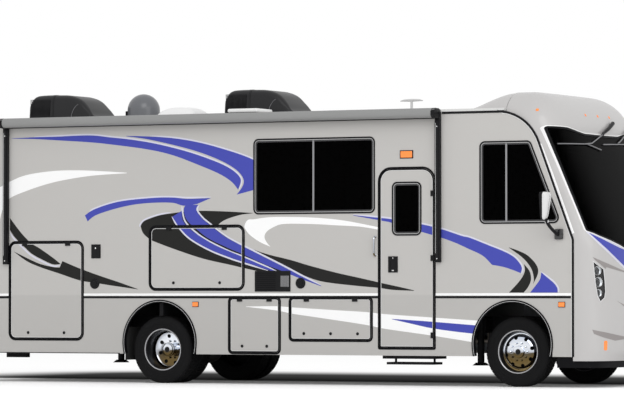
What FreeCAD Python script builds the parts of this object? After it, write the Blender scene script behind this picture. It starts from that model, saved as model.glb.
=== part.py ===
import FreeCAD, Part
import math
import os

from FreeCAD import Vector

# Motorhome of the flat-fronted coach kind, in millimetres.
# +X points forwards, +Y to the left, +Z up; the origin is on the ground below the middle.

# Length of the vehicle
REAR_OVERHANG = 3070.0
WHEELBASE = 4826.0
FRONT_OVERHANG = 1204.0
OVERALL_LENGTH = REAR_OVERHANG + WHEELBASE + FRONT_OVERHANG
REAR_AXLE_X = REAR_OVERHANG - OVERALL_LENGTH / 2
FRONT_AXLE_X = REAR_AXLE_X + WHEELBASE

# House body
BODY_WIDTH = 2540.0
WALL = 45.0
SKIRT_BOTTOM = 365.0
WALL_TOP = 3290.0
ROOF_CROWN = 80.0
ROOF_EDGE_RADIUS = 45.0
REAR_CORNER_RADIUS = 110.0
BUMPER_DEPTH = 70.0
REAR_WALL_BOTTOM = 560.0
FLOOR_TOP = 1120.0
FLOOR_THICKNESS = 60.0
FLOOR_JOINT = 0.5

# Seam between the side walls and the moulded front cap, measured from the front axle
SEAM_AHEAD = 788.0
SEAM_KNEE = 1755.0
SEAM_RAKE = 20.75
SEAM_TOP_RADIUS = 570.0
SEAM_KNEE_RADIUS = 120.0
ROOF_JOINT_BEHIND = 106.0

# Front cap
CAP_WALL = 40.0
CAP_BOTTOM = 316.0
CAP_LIP_RISE = 42.0
BUMPER_NOSE_TOP = 760.0
NOSE_SETBACK = 55.0
BROW_BOTTOM = 1690.0
GLASS_RAKE = 21.6
GLASS_TOP = 3060.0
BROW_OVERHANG = 35.0
CREST = 3520.0
CREST_SETBACK = 320.0
CREST_DRAW_IN = 330.0
CORNER_SETBACK = 190.0
BACK_SLOPE_FROM = 0.62
BROW_STEPS = 6
CREST_FLAT = 80.0
CORNER_ROUND = 0.62
NOSE_ROUND_IN = 0.10
NOSE_ROUND_HALF = 0.80
NOSE_FLAT_HALF = 0.38
CAP_FOOT_TUCK = 25.0
BUMPER_NOSE_FLAT = 200.0
NOSE_LEAN_RISE = 300.0
NOSE_LEAN = 30.0
TOOL_REACH = 300.0

# Windshield outline, half widths and heights
WINDSHIELD_HALF_TOP = 1150.0
WINDSHIELD_HALF_BOTTOM = 1190.0
WINDSHIELD_SIDE_BOTTOM = 1857.0
WINDSHIELD_CORNER = 60.0
WINDSHIELD_LOW_BEND_Y = 700.0
WINDSHIELD_LOW_BEND_UP = 60.0
WINDSHIELD_LOW_MIDDLE_UP = 15.0
WINDSHIELD_LOW_BEND_RADIUS = 300.0
WINDSHIELD_SIDE_RISE = 20.0
WINDSHIELD_TOP_STEP_OUTER = 950.0
WINDSHIELD_TOP_STEP_INNER = 770.0
WINDSHIELD_TOP_STEP_DROP = 50.0
WINDSHIELD_TOP_MIDDLE_DROP = 65.0
GLASS = 6.0
GLASS_INSET = 6.0

# Windows in the walls
WINDOW_FRAME = 45.0
WINDOW_FRAME_DEPTH = 34.0
WINDOW_PROUD = 5.0
WINDOW_CORNER = 70.0
WINDOW_BAR = 28.0
LOUNGE_WINDOW_BEHIND_DOOR = 64.0
LOUNGE_WINDOW_LENGTH = 1675.0
LOUNGE_WINDOW_SILL = 2090.0
LOUNGE_WINDOW_HEIGHT = 933.0
LOUNGE_WINDOW_BAR = 832.0
CAB_WINDOW_BEHIND = 427.0
CAB_WINDOW_TOP_LENGTH = 667.0
CAB_WINDOW_BOTTOM_LENGTH = 1071.0
CAB_WINDOW_SILL = 1946.0
CAB_WINDOW_HEIGHT = 991.0
CAB_WINDOW_BAR = 352.0
BEDROOM_WINDOW_BACK = -2250.0
BEDROOM_WINDOW_LENGTH = 900.0
REAR_WINDOW_WIDTH = 1100.0
REAR_WINDOW_SILL = 2150.0
REAR_WINDOW_HEIGHT = 520.0

# Doors in the walls; lengths along the body start at the rear axle
DOOR_GAP = 6.0
DOOR_THICKNESS = 42.0
DOOR_CORNER = 75.0
ENTRY_DOOR_BEHIND = 1759.0
ENTRY_DOOR_LENGTH = 726.0
ENTRY_DOOR_SILL = 463.0
ENTRY_DOOR_HEIGHT = 2159.0
ENTRY_DOOR_CORNER = 150.0
DOOR_WINDOW_MARGIN = 164.0
DOOR_WINDOW_SILL = 1815.0
DOOR_WINDOW_HEIGHT = 652.0
TALL_DOOR_BACK = -2184.0
TALL_DOOR_LENGTH = 1062.0
TALL_DOOR_SILL = 549.0
TALL_DOOR_HEIGHT = 1213.0
KITCHEN_DOOR_BACK = -131.0
KITCHEN_DOOR_LENGTH = 1314.0
KITCHEN_DOOR_SILL = 1176.0
KITCHEN_DOOR_HEIGHT = 769.0
SHORT_LOCKER_BEHIND_LONG = 158.0
SHORT_LOCKER_LENGTH = 689.0
SHORT_LOCKER_SILL = 394.0
LONG_LOCKER_BEHIND_DOOR = 118.0
LONG_LOCKER_LENGTH = 1104.0
LONG_LOCKER_SILL = 552.0
LOCKER_TOP = 1058.0
LOCKER_CORNER = 40.0
HINGE_RADIUS = 7.0
HINGE_PIN = 3.0
HINGE_BORE_GAP = 0.3
HINGE_LENGTH = 70.0
HINGE_LUG = 6.0
HINGE_STRAP = 40.0
HINGE_PROUD = 1.0

# Storage bays behind the doors
BAY_SHEET = 12.0
BAY_MARGIN = 30.0
BAY_DEPTH = 600.0
KITCHEN_DEPTH = 480.0

# Step well inside the entry door
STEP_SHEET = 15.0
STEP_TREAD = 300.0
STEP_WELL_FLOOR = 520.0
STEP_LENGTH = 700.0
STEP_TOP = 367.0
STEP_THICKNESS = 40.0
STEP_DEPTH = 330.0
STEP_INSET = 5.0
STEP_ARM = 12.0
STEP_ARM_IN = 60.0
STEP_ARM_DEPTH = 180.0
LOWER_STEP_IN = 40.0
LOWER_STEP_NARROW = 30.0
LOWER_STEP_BELOW = 40.0
LOWER_STEP_SHEET = 30.0
STEP_LINK = 16.0
STEP_LINK_IN = 90.0
STEP_LINK_FROM = 170.0
STEP_LINK_DEPTH = 30.0
STEP_LINK_LAP = 5.0

# Wheel arches
ARCH_RADIUS = 523.0
ARCH_CENTRE = 510.0

# Wheels and tyres
TYRE_RADIUS = 419.0
TYRE_WIDTH = 245.0
TYRE_SHOULDER = 28.0
RIM_RADIUS = 247.0
RIM_FLANGE = 14.0
RIM_SHEET = 12.0
FLANGE_IN = 30.0
BEAD_GAP = 4.0
TYRE_SHOULDER_DROP = 12.0
RIM_LIP = 18.0
RIM_LIP_SLOPE = 4.0
FRONT_TRACK = 1990.0
DUAL_SPACING = 280.0
REAR_OUTER_TRACK = 2160.0
FRONT_DISC_OUT = 62.0
HAND_HOLES = 8
HAND_HOLE_RADIUS = 27.0
HAND_HOLE_CIRCLE = 165.0
HUB_RADIUS = 85.0
HUB_TAPER = 40.0
HUB_TAPER_IN = 18.0
HUB_END = 14.0
DISC_FLAT = 30.0
DISC_FLAT_STEP = 6.0
DISC_DISH = 45.0
FRONT_HUB_IN = 45.0
HUB_CLEAR = 15.0
REAR_HUB_IN = 120.0
FRONT_SPINDLE_PAST = 20.0
REAR_SPINDLE_PAST = 120.0
SPINDLE_RADIUS = 40.0
BEARING_GAP = 0.5

# Steering and front axle
KINGPIN_SPACING = 1640.0
KINGPIN_RADIUS = 22.0
AXLE_EYE_RADIUS = 48.0
AXLE_EYE_HEIGHT = 110.0
FORK_PLATE = 34.0
AXLE_BEAM_HEIGHT = 90.0
AXLE_BEAM_WIDTH = 76.0
AXLE_DROP = 70.0
AXLE_BEND_OUT = 90.0
AXLE_FLAT_OUT = 60.0
AXLE_BEND_RUN = 60.0
AXLE_FLAT_IN = 30.0
FORK_GAP = 5.0
FORK_REACH = 7.0
FORK_BACK = 25.0
STEER_ARM_WIDTH = 44.0
STEER_ARM_SHEET = 24.0
STEER_EYE = 4.0
BALL_PIN_DROP = 40.0
BALL_PIN_LENGTH = 50.0
TIE_ROD_EYE = 36.0
STEER_ARM = 185.0
STEER_ARM_DROP = 100.0
TIE_ROD_RADIUS = 17.0
BALL_RADIUS = 26.0
BALL_PIN_RADIUS = 11.0

# Rear axle
AXLE_TUBE_RADIUS = 62.0
DIFFERENTIAL_RADIUS = 185.0
DIFFERENTIAL_WIDTH = 300.0
AXLE_TUBE_CLEAR = 30.0

# Leaf springs
SPRING_SPACING = 860.0
SPRING_WIDTH = 76.0
SPRING_LENGTH = 1300.0
SPRING_STACK = 60.0
SPRING_EYE_BELOW = 40.0
SPRING_LEAF = 14.0
HANGER_HALF = 28.0
HANGER_BELOW = 30.0
SPRING_SEAT_SUNK = 8.0
SPRING_RISE = 150.0

# Chassis
RAIL_SPACING = 864.0
RAIL_HEIGHT = 200.0
RAIL_FLANGE = 70.0
RAIL_SHEET = 8.0
RAIL_BOTTOM = 640.0
RAIL_FRONT_AHEAD = 700.0
CROSS_SECTION = 60.0
FLOOR_BEAM = 50.0

# Driveline and tanks
ENGINE_LENGTH = 780.0
ENGINE_WIDTH = 640.0
ENGINE_HEIGHT = 560.0
ENGINE_TOP = 1050.0
ENGINE_BEHIND_SHARE = 0.35
GEARBOX_FLARE = 1.4
GEARBOX_LENGTH = 760.0
GEARBOX_RADIUS = 150.0
SHAFT_RADIUS = 45.0
SHAFT_Z = 560.0
TANK_LENGTH = 1150.0
TANK_WIDTH = 640.0
TANK_HEIGHT = 260.0
TANK_GAP = 80.0
TANK_CORNER = 45.0
PIPE_RADIUS = 38.0
MUFFLER_RADIUS = 120.0
MUFFLER_LENGTH = 620.0
MUFFLER_DROP_SHARE = 0.8
MUFFLER_AT_SHARE = 0.45
EXHAUST_HANGER = 24.0
EXHAUST_HANGER_IN = 60.0
HANGER_REACH = 40.0
HANGER_LAP = 20.0

# Levelling jacks and flaps
JACK_BACK = -940.0
JACK_SPACING = 1200.0
JACK_FOOT_RADIUS = 105.0
JACK_FOOT_BOTTOM = 244.0
JACK_RAM_RADIUS = 42.0
JACK_FOOT_HEIGHT = 34.0
JACK_FOOT_TAPER = 0.6
JACK_FOOT_LAP = 4.0
JACK_PLATE = 140.0
JACK_PLATE_UP = 20.0
JACK_PLATE_HEIGHT = 150.0
FRONT_JACK_BEHIND = 720.0
FLAP_BOTTOM = 287.0
FLAP_THICKNESS = 10.0
FLAP_BEHIND_TYRE = 90.0
FLAP_BESIDE_SPRING = 20.0
FLAP_HELD = 60.0

# Awning
AWNING_BACK = -2276.0
AWNING_LENGTH = 6176.0
AWNING_ARM_WIDTH = 78.0
AWNING_ARM_DEPTH = 62.0
AWNING_ARM_BOTTOM = 1490.0
AWNING_RADIUS = 60.0
AWNING_OUT = 118.0
AWNING_BELOW_TOP = 5.0
AWNING_HEAD_UP = 65.0
AWNING_HEAD_DOWN = 75.0
AWNING_HEAD_PAST = 8.0
AWNING_HEAD_CORNER = 20.0
AWNING_BAR = 24.0
AWNING_BAR_DROP = 22.0
AWNING_BAR_LAP = 10.0

# Roof fittings; lengths along the body start at the rear axle
ROOF_UNIT_TOP = 3700.0
ROOF_UNIT_SUNK = 20.0
ROOF_UNIT_NOSE_RISE = 130.0
ROOF_UNIT_NOSE_TILT = 10.0
ROOF_UNIT_BROW_BACK = 260.0
ROOF_UNIT_BROW_DROP = 40.0
ROOF_UNIT_PEAK_IN = 380.0
ROOF_UNIT_TAIL_IN = 30.0
ROOF_UNIT_TAIL_DROP = 70.0
ROOF_UNIT_NOSE_ROUND = 60.0
ROOF_UNIT_BROW_ROUND = 150.0
ROOF_UNIT_PEAK_ROUND = 300.0
ROOF_UNIT_TAIL_ROUND = 90.0
ROOF_UNIT_SIDE_TILT = 25.0
ROOF_UNIT_SIDE_DROP = 60.0
ROOF_UNIT_SHOULDER = 120.0
ROOF_UNIT_LENGTH = 950.0
ROOF_UNIT_WIDTH = 700.0
REAR_UNIT_AT = -2000.0
FRONT_UNIT_AT = 890.0
DISH_AT = -960.0
DISH_RADIUS = 210.0
DISH_TOP = 3690.0
DISH_SUNK = 5.0
DISH_FOOT_RISE = 60.0
DISH_FOOT_LAP = 20.0
DISH_FOOT_SHARE = 0.95
DISH_NECK_SHARE = 0.75
SKYLIGHT_AT = -370.0
SKYLIGHT_SIZE = 560.0
SKYLIGHT_TOP = 3500.0
SKYLIGHT_SUNK = 12.0
SKYLIGHT_CURB = 34.0
SKYLIGHT_CORNER = 50.0
SKYLIGHT_RIM = 18.0
SKYLIGHT_LIFT = 20.0
VENT_AT = 1000.0
VENT_SIDE = 750.0
VENT_SIZE = 420.0
VENT_RISE = 70.0
VENT_SUNK = 70.0
VENT_SHORT = 20.0
VENT_CORNER = 40.0
VENT_TOP_ROUND = 18.0
ANTENNA_AT = 2880.0
ANTENNA_TOP = 3540.0
ANTENNA_SPAN = 330.0
ANTENNA_SUNK = 8.0
ANTENNA_FOOT_RADIUS = 80.0
ANTENNA_NECK_RADIUS = 60.0
ANTENNA_FOOT_RISE = 40.0
ANTENNA_MAST_RADIUS = 18.0
ANTENNA_MAST_SHORT = 10.0
ANTENNA_BAR_RISE = 26.0
ANTENNA_BAR_SLOPE = 20.0
ANTENNA_BAR_CORNER = 8.0
ANTENNA_BAR_WIDTH = 110.0

# Mirrors, measured from the front axle
MIRROR_AHEAD = 564.0
MIRROR_OUT = 165.0
MIRROR_WIDTH = 200.0
MIRROR_DEPTH = 110.0
MIRROR_HEIGHT = 330.0
MIRROR_BOTTOM = 1985.0
MIRROR_ARM_Z = 1860.0
MIRROR_ARM_RADIUS = 19.0
MIRROR_CORNER = 45.0
MIRROR_NOSE_ROUND = 34.0
MIRROR_POST_UP = 40.0
MIRROR_FOOT_LENGTH = 100.0
MIRROR_FOOT_HEIGHT = 150.0
MIRROR_FOOT_CORNER = 35.0
MIRROR_FOOT_PROUD = 30.0

# Lamps
HEADLAMP_INNER = 1060.0
HEADLAMP_OUTER = 1222.0
HEADLAMP_BOTTOM = 1010.0
HEADLAMP_TOP = 1490.0
HEADLAMP_FOOT_IN = 60.0
HEADLAMP_FOOT_UP = 40.0
HEADLAMP_SIDE_UP = 90.0
HEADLAMP_TOP_DROP = 50.0
HEADLAMP_CORNER = 20.0
HEADLAMP_SOFT_CORNER = 30.0
LAMP_DEPTH = 22.0
MARKER_LENGTH = 90.0
MARKER_HEIGHT = 66.0
MARKER_PROUD = 18.0
MARKER_Z = 984.0
REAR_MARKER_AT = 513.0
FRONT_MARKER_AHEAD = 644.0
PORCH_LAMP_AT = 3429.0
PORCH_LAMP_Z = 2797.0
PORCH_LAMP_LENGTH = 180.0
PORCH_LAMP_HEIGHT = 100.0
MARKER_CORNER_SHARE = 0.3
CLEARANCE_LAMPS = 5
CLEARANCE_LAMP_PITCH = 330.0
CLEARANCE_LAMP_HEIGHT = 28.0
CLEARANCE_LAMP_CORNER = 10.0
CLEARANCE_LAMP_PROUD = 14.0
CLEARANCE_LAMP_DROP = 24.0
CLEARANCE_LAMP_LENGTH = 80.0
TAIL_LAMP_HEIGHT = 420.0
TAIL_LAMP_WIDTH = 110.0
TAIL_LAMP_BOTTOM = 1000.0
TURN_LAMP_Y = 1060.0
TURN_LAMP_Z = 500.0
TURN_LAMP_WIDTH = 60.0
TURN_LAMP_HEIGHT = 120.0
TURN_LAMP_CORNER = 20.0

# Grille
GRILLE_HALF_WIDTH = 520.0
GRILLE_BOTTOM = 720.0
GRILLE_HEIGHT = 300.0
GRILLE_SLATS = 5
GRILLE_SLAT = 22.0
GRILLE_FRAME = 18.0
GRILLE_FOOT_SHARE = 0.9
GRILLE_CORNER = 30.0

# Wipers
WIPER_LENGTH = 620.0
WIPER_ARM_RADIUS = 9.0
WIPER_BOSS_RADIUS = 22.0
WIPER_BOSS_IN = 80.0
WIPER_BOSS_PAST = 14.0
WIPER_ROOT_PROUD = 30.0
WIPER_TIP_PROUD = 34.0
WIPER_BELOW_TOP = 30.0
WIPER_DROP = 90.0
WIPER_PIVOT_Y = 700.0

# Cab inside
DASH_BEHIND_NOSE = 900.0
DASH_DEPTH = 560.0
DASH_TOP = 1680.0
DASH_SIDE_GAP = 160.0
DASH_KNEE_IN = 120.0
DASH_FOOT_BACK = 60.0
DASH_NOSE_DROP = 120.0
DASH_NOSE_BACK = 20.0
DASH_NOSE_ROLL = 40.0
DASH_COWL = 140.0
DASH_FACE_DROP = 180.0
DASH_SHIN_IN = 90.0
DASH_SHIN_DROP = 330.0
DASH_ROUND = 30.0
SEAT_AHEAD = -380.0
SEAT_SPACING = 1240.0
SEAT_WIDTH = 540.0
SEAT_CUSHION_TOP = 1640.0
SEAT_BACK_HEIGHT = 760.0
SEAT_PEDESTAL_LENGTH = 360.0
SEAT_PEDESTAL_WIDTH = 300.0
SEAT_CUSHION_LENGTH = 520.0
SEAT_CUSHION_THICK = 150.0
SEAT_LAP = 10.0
SEAT_BACK_FOOT = 290.0
SEAT_BACK_FRONT = 160.0
SEAT_BACK_SUNK = 90.0
SEAT_BACK_THICK = 120.0
SEAT_BACK_LEAN = 80.0
SEAT_ROUND = 50.0
STEERING_WHEEL_RADIUS = 220.0
STEERING_RIM_RADIUS = 15.0
STEERING_SPOKE_RADIUS = 14.0
STEERING_BOSS_RADIUS = 52.0
STEERING_BOSS_THICK = 60.0
STEERING_BEHIND_DASH = 60.0
STEERING_ABOVE_DASH = 40.0
COLUMN_RADIUS = 38.0
COLUMN_IN_DASH = 200.0
COLUMN_BELOW_DASH = 110.0

# Service hatches on the right wall
HATCH_PROUD = 10.0
HATCH_CORNER = 25.0
HANDLE_BEHIND_DOOR = 60.0
HANDLE_BOTTOM = 1566.0
HANDLE_TOP = 1818.0
HANDLE_PROUD = 42.0
HANDLE_RADIUS = 13.0
HANDLE_FOOT_RADIUS = 10.0
HANDLE_FOOT_IN = 15.0
VENT_PANEL_BACK = 1351.0
VENT_PANEL_LENGTH = 494.0
VENT_PANEL_BOTTOM = 1141.0
VENT_PANEL_HEIGHT = 254.0
SOCKET_BACK = -988.0
SOCKET_LENGTH = 136.0
SOCKET_BOTTOM = 1561.0
SOCKET_HEIGHT = 176.0
REAR_CAP_AT = -938.0
FRONT_CAP_AT = 1985.0
FILLER_CAP_Z = 1244.0
FILLER_CAP_RADIUS = 67.0

# Rear ladder and hitch
LADDER_WIDTH = 400.0
LADDER_SIDE = 760.0
LADDER_TUBE = 14.0
LADDER_RUNGS = 6
LADDER_OVER_ROOF = 60.0
LADDER_ONTO_ROOF = 260.0
LADDER_LANDING = 20.0
LADDER_FOOT_UP = 60.0
LADDER_TOP_FOOT_DOWN = 160.0
LADDER_RUNG_SHARE = 0.9
LADDER_STANDOFF = 52.0
LADDER_BOTTOM = 1150.0
HITCH_TUBE = 64.0
HITCH_BORE = 51.0
HITCH_LENGTH = 320.0
HITCH_Z = 320.0
HITCH_PIN_RADIUS = 8.2
HITCH_PLATE = 12.0
HITCH_PIN_IN = 60.0
HITCH_MOUTH_IN = 60.0

HALF = BODY_WIDTH / 2
INNER = HALF - WALL
REAR_FACE_X = -OVERALL_LENGTH / 2 + BUMPER_DEPTH
NOSE_X = OVERALL_LENGTH / 2
SEAM_X = FRONT_AXLE_X + SEAM_AHEAD
FLOOR_BOTTOM = FLOOR_TOP - FLOOR_THICKNESS
AWNING_Z = WALL_TOP - AWNING_BELOW_TOP
RAIL_TOP = RAIL_BOTTOM + RAIL_HEIGHT


def from_rear_axle(distance):
    return REAR_AXLE_X + distance


def from_front_axle(distance):
    return FRONT_AXLE_X + distance


def box(x0, x1, y0, y1, z0, z1):
    return Part.makeBox(x1 - x0, y1 - y0, z1 - z0, Vector(x0, y0, z0))


def fuse(shapes):
    result = shapes[0].fuse(shapes[1:]) if len(shapes) > 1 else shapes[0]
    return result.removeSplitter()


def mirrored(shape):
    return shape.mirror(Vector(0, 0, 0), Vector(0, 1, 0))


def pair(shape):
    return Part.makeCompound([shape, mirrored(shape)])


def rod(start, end, radius):
    along = end.sub(start)
    return Part.makeCylinder(radius, along.Length, start, along)


def rounded_wire(corners, radii, place):
    """Closed outline through 2-D corners, each rounded by its own radius."""
    edges = []
    ends = []
    count = len(corners)
    for i, (here, radius) in enumerate(zip(corners, radii)):
        before = Vector(*corners[i - 1], 0).sub(Vector(*here, 0))
        after = Vector(*corners[(i + 1) % count], 0).sub(Vector(*here, 0))
        before.normalize()
        after.normalize()
        corner = Vector(*here, 0)
        if radius <= 0:
            ends.append((corner, None, corner))
            continue
        half_angle = before.getAngle(after) / 2
        reach = radius / math.tan(half_angle)
        bisector = before.add(after)
        bisector.normalize()
        centre = corner.add(bisector * (radius / math.sin(half_angle)))
        middle = centre.sub(bisector * radius)
        ends.append((corner.add(before * reach), middle, corner.add(after * reach)))
    for i, (start, middle, end) in enumerate(ends):
        if middle is not None:
            edges.append(Part.Arc(place(start), place(middle), place(end)).toShape())
        following = ends[(i + 1) % count][0]
        if end.distanceToPoint(following) > 1e-6:
            edges.append(Part.LineSegment(place(end), place(following)).toShape())
    return Part.Wire(edges)


def side_prism(corners, radii, y0, y1):
    """Solid with an X-Z outline, from y0 to y1."""
    wire = rounded_wire(corners, radii, lambda p: Vector(p.x, y0, p.y))
    return Part.Face(wire).extrude(Vector(0, y1 - y0, 0))


def front_prism(corners, radii, x0, x1):
    """Solid with a Y-Z outline, from x0 to x1."""
    wire = rounded_wire(corners, radii, lambda p: Vector(x0, p.x, p.y))
    return Part.Face(wire).extrude(Vector(x1 - x0, 0, 0))


def plan_prism(corners, radii, z0, z1):
    """Solid with an X-Y outline, from z0 to z1."""
    wire = rounded_wire(corners, radii, lambda p: Vector(p.x, p.y, z0))
    return Part.Face(wire).extrude(Vector(0, 0, z1 - z0))


def rectangle(a0, a1, b0, b1):
    return [(a0, b0), (a1, b0), (a1, b1), (a0, b1)]


class Opening:
    """Rounded opening in a wall, in X and Z."""

    def __init__(self, back, length, bottom, height, corner, bottom_corner=None):
        self.x0 = back
        self.x1 = back + length
        self.z0 = bottom
        self.z1 = bottom + height
        self.corner = corner
        self.bottom_corner = corner if bottom_corner is None else bottom_corner

    def outline(self, grow=0.0):
        return rectangle(self.x0 - grow, self.x1 + grow, self.z0 - grow, self.z1 + grow)

    def radii(self, grow=0.0):
        top = max(self.corner + grow, 0.0)
        low = max(self.bottom_corner + grow, 0.0) if self.bottom_corner else 0.0
        return [low, low, top, top]

    def prism(self, y0, y1, grow=0.0):
        return side_prism(self.outline(grow), self.radii(grow), y0, y1)


class CabWindow(Opening):
    """Driver's and passenger's window, with its slanted front edge."""

    def outline(self, grow=0.0):
        lean = CAB_WINDOW_BOTTOM_LENGTH - CAB_WINDOW_TOP_LENGTH
        slope = math.hypot(lean, CAB_WINDOW_HEIGHT) / CAB_WINDOW_HEIGHT
        low = self.x1 + grow * slope + grow * lean / CAB_WINDOW_HEIGHT
        high = self.x1 - lean + grow * slope - grow * lean / CAB_WINDOW_HEIGHT
        return [(self.x0 - grow, self.z0 - grow), (low, self.z0 - grow),
                (high, self.z1 + grow), (self.x0 - grow, self.z1 + grow)]


BEDROOM_WINDOW = Opening(from_rear_axle(BEDROOM_WINDOW_BACK), BEDROOM_WINDOW_LENGTH,
                         LOUNGE_WINDOW_SILL, LOUNGE_WINDOW_HEIGHT, WINDOW_CORNER)
CAB_WINDOW = CabWindow(from_front_axle(-CAB_WINDOW_BEHIND), CAB_WINDOW_BOTTOM_LENGTH,
                       CAB_WINDOW_SILL, CAB_WINDOW_HEIGHT, WINDOW_CORNER)
ENTRY_DOOR = Opening(from_front_axle(-ENTRY_DOOR_BEHIND), ENTRY_DOOR_LENGTH,
                     ENTRY_DOOR_SILL, ENTRY_DOOR_HEIGHT, ENTRY_DOOR_CORNER, 0.0)
LOUNGE_WINDOW = Opening(ENTRY_DOOR.x0 - LOUNGE_WINDOW_BEHIND_DOOR - LOUNGE_WINDOW_LENGTH,
                        LOUNGE_WINDOW_LENGTH, LOUNGE_WINDOW_SILL, LOUNGE_WINDOW_HEIGHT,
                        WINDOW_CORNER)
TALL_DOOR = Opening(from_rear_axle(TALL_DOOR_BACK), TALL_DOOR_LENGTH,
                    TALL_DOOR_SILL, TALL_DOOR_HEIGHT, DOOR_CORNER)
KITCHEN_DOOR = Opening(from_rear_axle(KITCHEN_DOOR_BACK), KITCHEN_DOOR_LENGTH,
                       KITCHEN_DOOR_SILL, KITCHEN_DOOR_HEIGHT, DOOR_CORNER)
LONG_LOCKER = Opening(ENTRY_DOOR.x0 - LONG_LOCKER_BEHIND_DOOR - LONG_LOCKER_LENGTH,
                      LONG_LOCKER_LENGTH, LONG_LOCKER_SILL, LOCKER_TOP - LONG_LOCKER_SILL,
                      LOCKER_CORNER)
SHORT_LOCKER = Opening(LONG_LOCKER.x0 - SHORT_LOCKER_BEHIND_LONG - SHORT_LOCKER_LENGTH,
                       SHORT_LOCKER_LENGTH, SHORT_LOCKER_SILL, LOCKER_TOP - SHORT_LOCKER_SILL,
                       LOCKER_CORNER)
DOOR_WINDOW = Opening(ENTRY_DOOR.x0 + DOOR_WINDOW_MARGIN,
                      ENTRY_DOOR_LENGTH - 2 * DOOR_WINDOW_MARGIN,
                      DOOR_WINDOW_SILL, DOOR_WINDOW_HEIGHT, WINDOW_CORNER)

RIGHT_DOORS = {"entry_door": ENTRY_DOOR, "tall_door_right": TALL_DOOR,
               "kitchen_door": KITCHEN_DOOR, "short_locker_door": SHORT_LOCKER,
               "long_locker_door_right": LONG_LOCKER}
LEFT_DOORS = {"tall_door_left": TALL_DOOR, "long_locker_door_left": LONG_LOCKER}
RIGHT_WINDOWS = [(LOUNGE_WINDOW, LOUNGE_WINDOW_BAR), (CAB_WINDOW, CAB_WINDOW_BAR)]
LEFT_WINDOWS = [(LOUNGE_WINDOW, LOUNGE_WINDOW_BAR), (CAB_WINDOW, CAB_WINDOW_BAR),
                (BEDROOM_WINDOW, BEDROOM_WINDOW_LENGTH / 2)]


# Side walls, each one sandwich panel from the rear corner to the front cap
def seam_line():
    """Corners and radii of the seam from the sill up to the roof joint."""
    rake = math.tan(math.radians(SEAM_RAKE))
    crown_x = SEAM_X - (WALL_TOP - SEAM_KNEE) * rake
    return ([(SEAM_X, 0.0), (SEAM_X, SEAM_KNEE), (crown_x, WALL_TOP)],
            [0.0, SEAM_KNEE_RADIUS, SEAM_TOP_RADIUS])


def wall_panel():
    corners, radii = seam_line()
    corners[0] = (SEAM_X, SKIRT_BOTTOM)
    back = REAR_FACE_X + REAR_CORNER_RADIUS
    corners = corners + [(back, WALL_TOP), (back, SKIRT_BOTTOM)]
    panel = side_prism(corners, radii + [0.0, 0.0], -HALF, -INNER)
    for axle in (REAR_AXLE_X, FRONT_AXLE_X):
        arch = Part.makeCylinder(ARCH_RADIUS, BODY_WIDTH, Vector(axle, -BODY_WIDTH, ARCH_CENTRE),
                                 Vector(0, 1, 0))
        below = box(axle - ARCH_RADIUS, axle + ARCH_RADIUS, -BODY_WIDTH, 0, 0, ARCH_CENTRE)
        panel = panel.cut(arch.fuse(below))
    return panel


def side_wall(doors, windows):
    cuts = [door.prism(-HALF - WALL, -INNER + WALL, DOOR_GAP) for door in doors]
    cuts += [window.prism(-HALF - WALL, -INNER + WALL) for window, bar in windows]
    lugs = []
    for door in doors:
        lugs += hinges(door, hinge_on_wall())
    return fuse([wall_panel().cut(cuts)] + lugs)


def window_frame(window, bar_at):
    """Frame ring with one upright bar, standing a little proud of the wall."""
    y0 = -HALF - WINDOW_PROUD
    y1 = y0 + WINDOW_FRAME_DEPTH
    ring = window.prism(y0, y1).cut(window.prism(y0 - 1, y1 + 1, -WINDOW_FRAME))
    bar_x = window.x0 + bar_at
    bar = box(bar_x - WINDOW_BAR / 2, bar_x + WINDOW_BAR / 2, y0 + WINDOW_PROUD, y1,
              window.z0 + WINDOW_FRAME / 2, window.z1 - WINDOW_FRAME / 2)
    return fuse([ring, bar])


def window_panes(window, bar_at):
    y0 = -HALF + GLASS_INSET
    pane = window.prism(y0, y0 + GLASS, -WINDOW_FRAME)
    bar_x = window.x0 + bar_at
    return pane.cut(box(bar_x - WINDOW_BAR / 2, bar_x + WINDOW_BAR / 2, -BODY_WIDTH, 0,
                        window.z0, window.z1))


# Hinges stand on the outer face; drawn about an axis along X with the wall above it
HINGE_OUT = HINGE_RADIUS + HINGE_PROUD


def hinge_on_wall():
    """Two lugs on the wall and the pin between them."""
    half = HINGE_LENGTH / 2
    parts = [rod(Vector(-half - HINGE_LUG, 0, 0), Vector(half + HINGE_LUG, 0, 0), HINGE_PIN)]
    for x in (-half - HINGE_LUG, half):
        parts.append(rod(Vector(x, 0, 0), Vector(x + HINGE_LUG, 0, 0), HINGE_RADIUS))
        parts.append(box(x, x + HINGE_LUG, -HINGE_RADIUS, HINGE_OUT, DOOR_GAP / 2, 2 * HINGE_RADIUS))
    return fuse(parts)


def hinge_on_door():
    """Barrel round the pin, with the strap that lies on the door."""
    half = HINGE_LENGTH / 2 - HINGE_BORE_GAP
    barrel = rod(Vector(-half, 0, 0), Vector(half, 0, 0), HINGE_RADIUS)
    neck = box(-half, half, -HINGE_PIN, HINGE_PIN, -DOOR_GAP, 0)
    strap = box(-half, half, -HINGE_PIN, HINGE_OUT, -DOOR_GAP / 2 - HINGE_STRAP, -DOOR_GAP / 2 - 1)
    bore = rod(Vector(-half - 1, 0, 0), Vector(half + 1, 0, 0), HINGE_PIN + HINGE_BORE_GAP)
    return fuse([barrel, neck, strap]).cut(bore)


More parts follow.
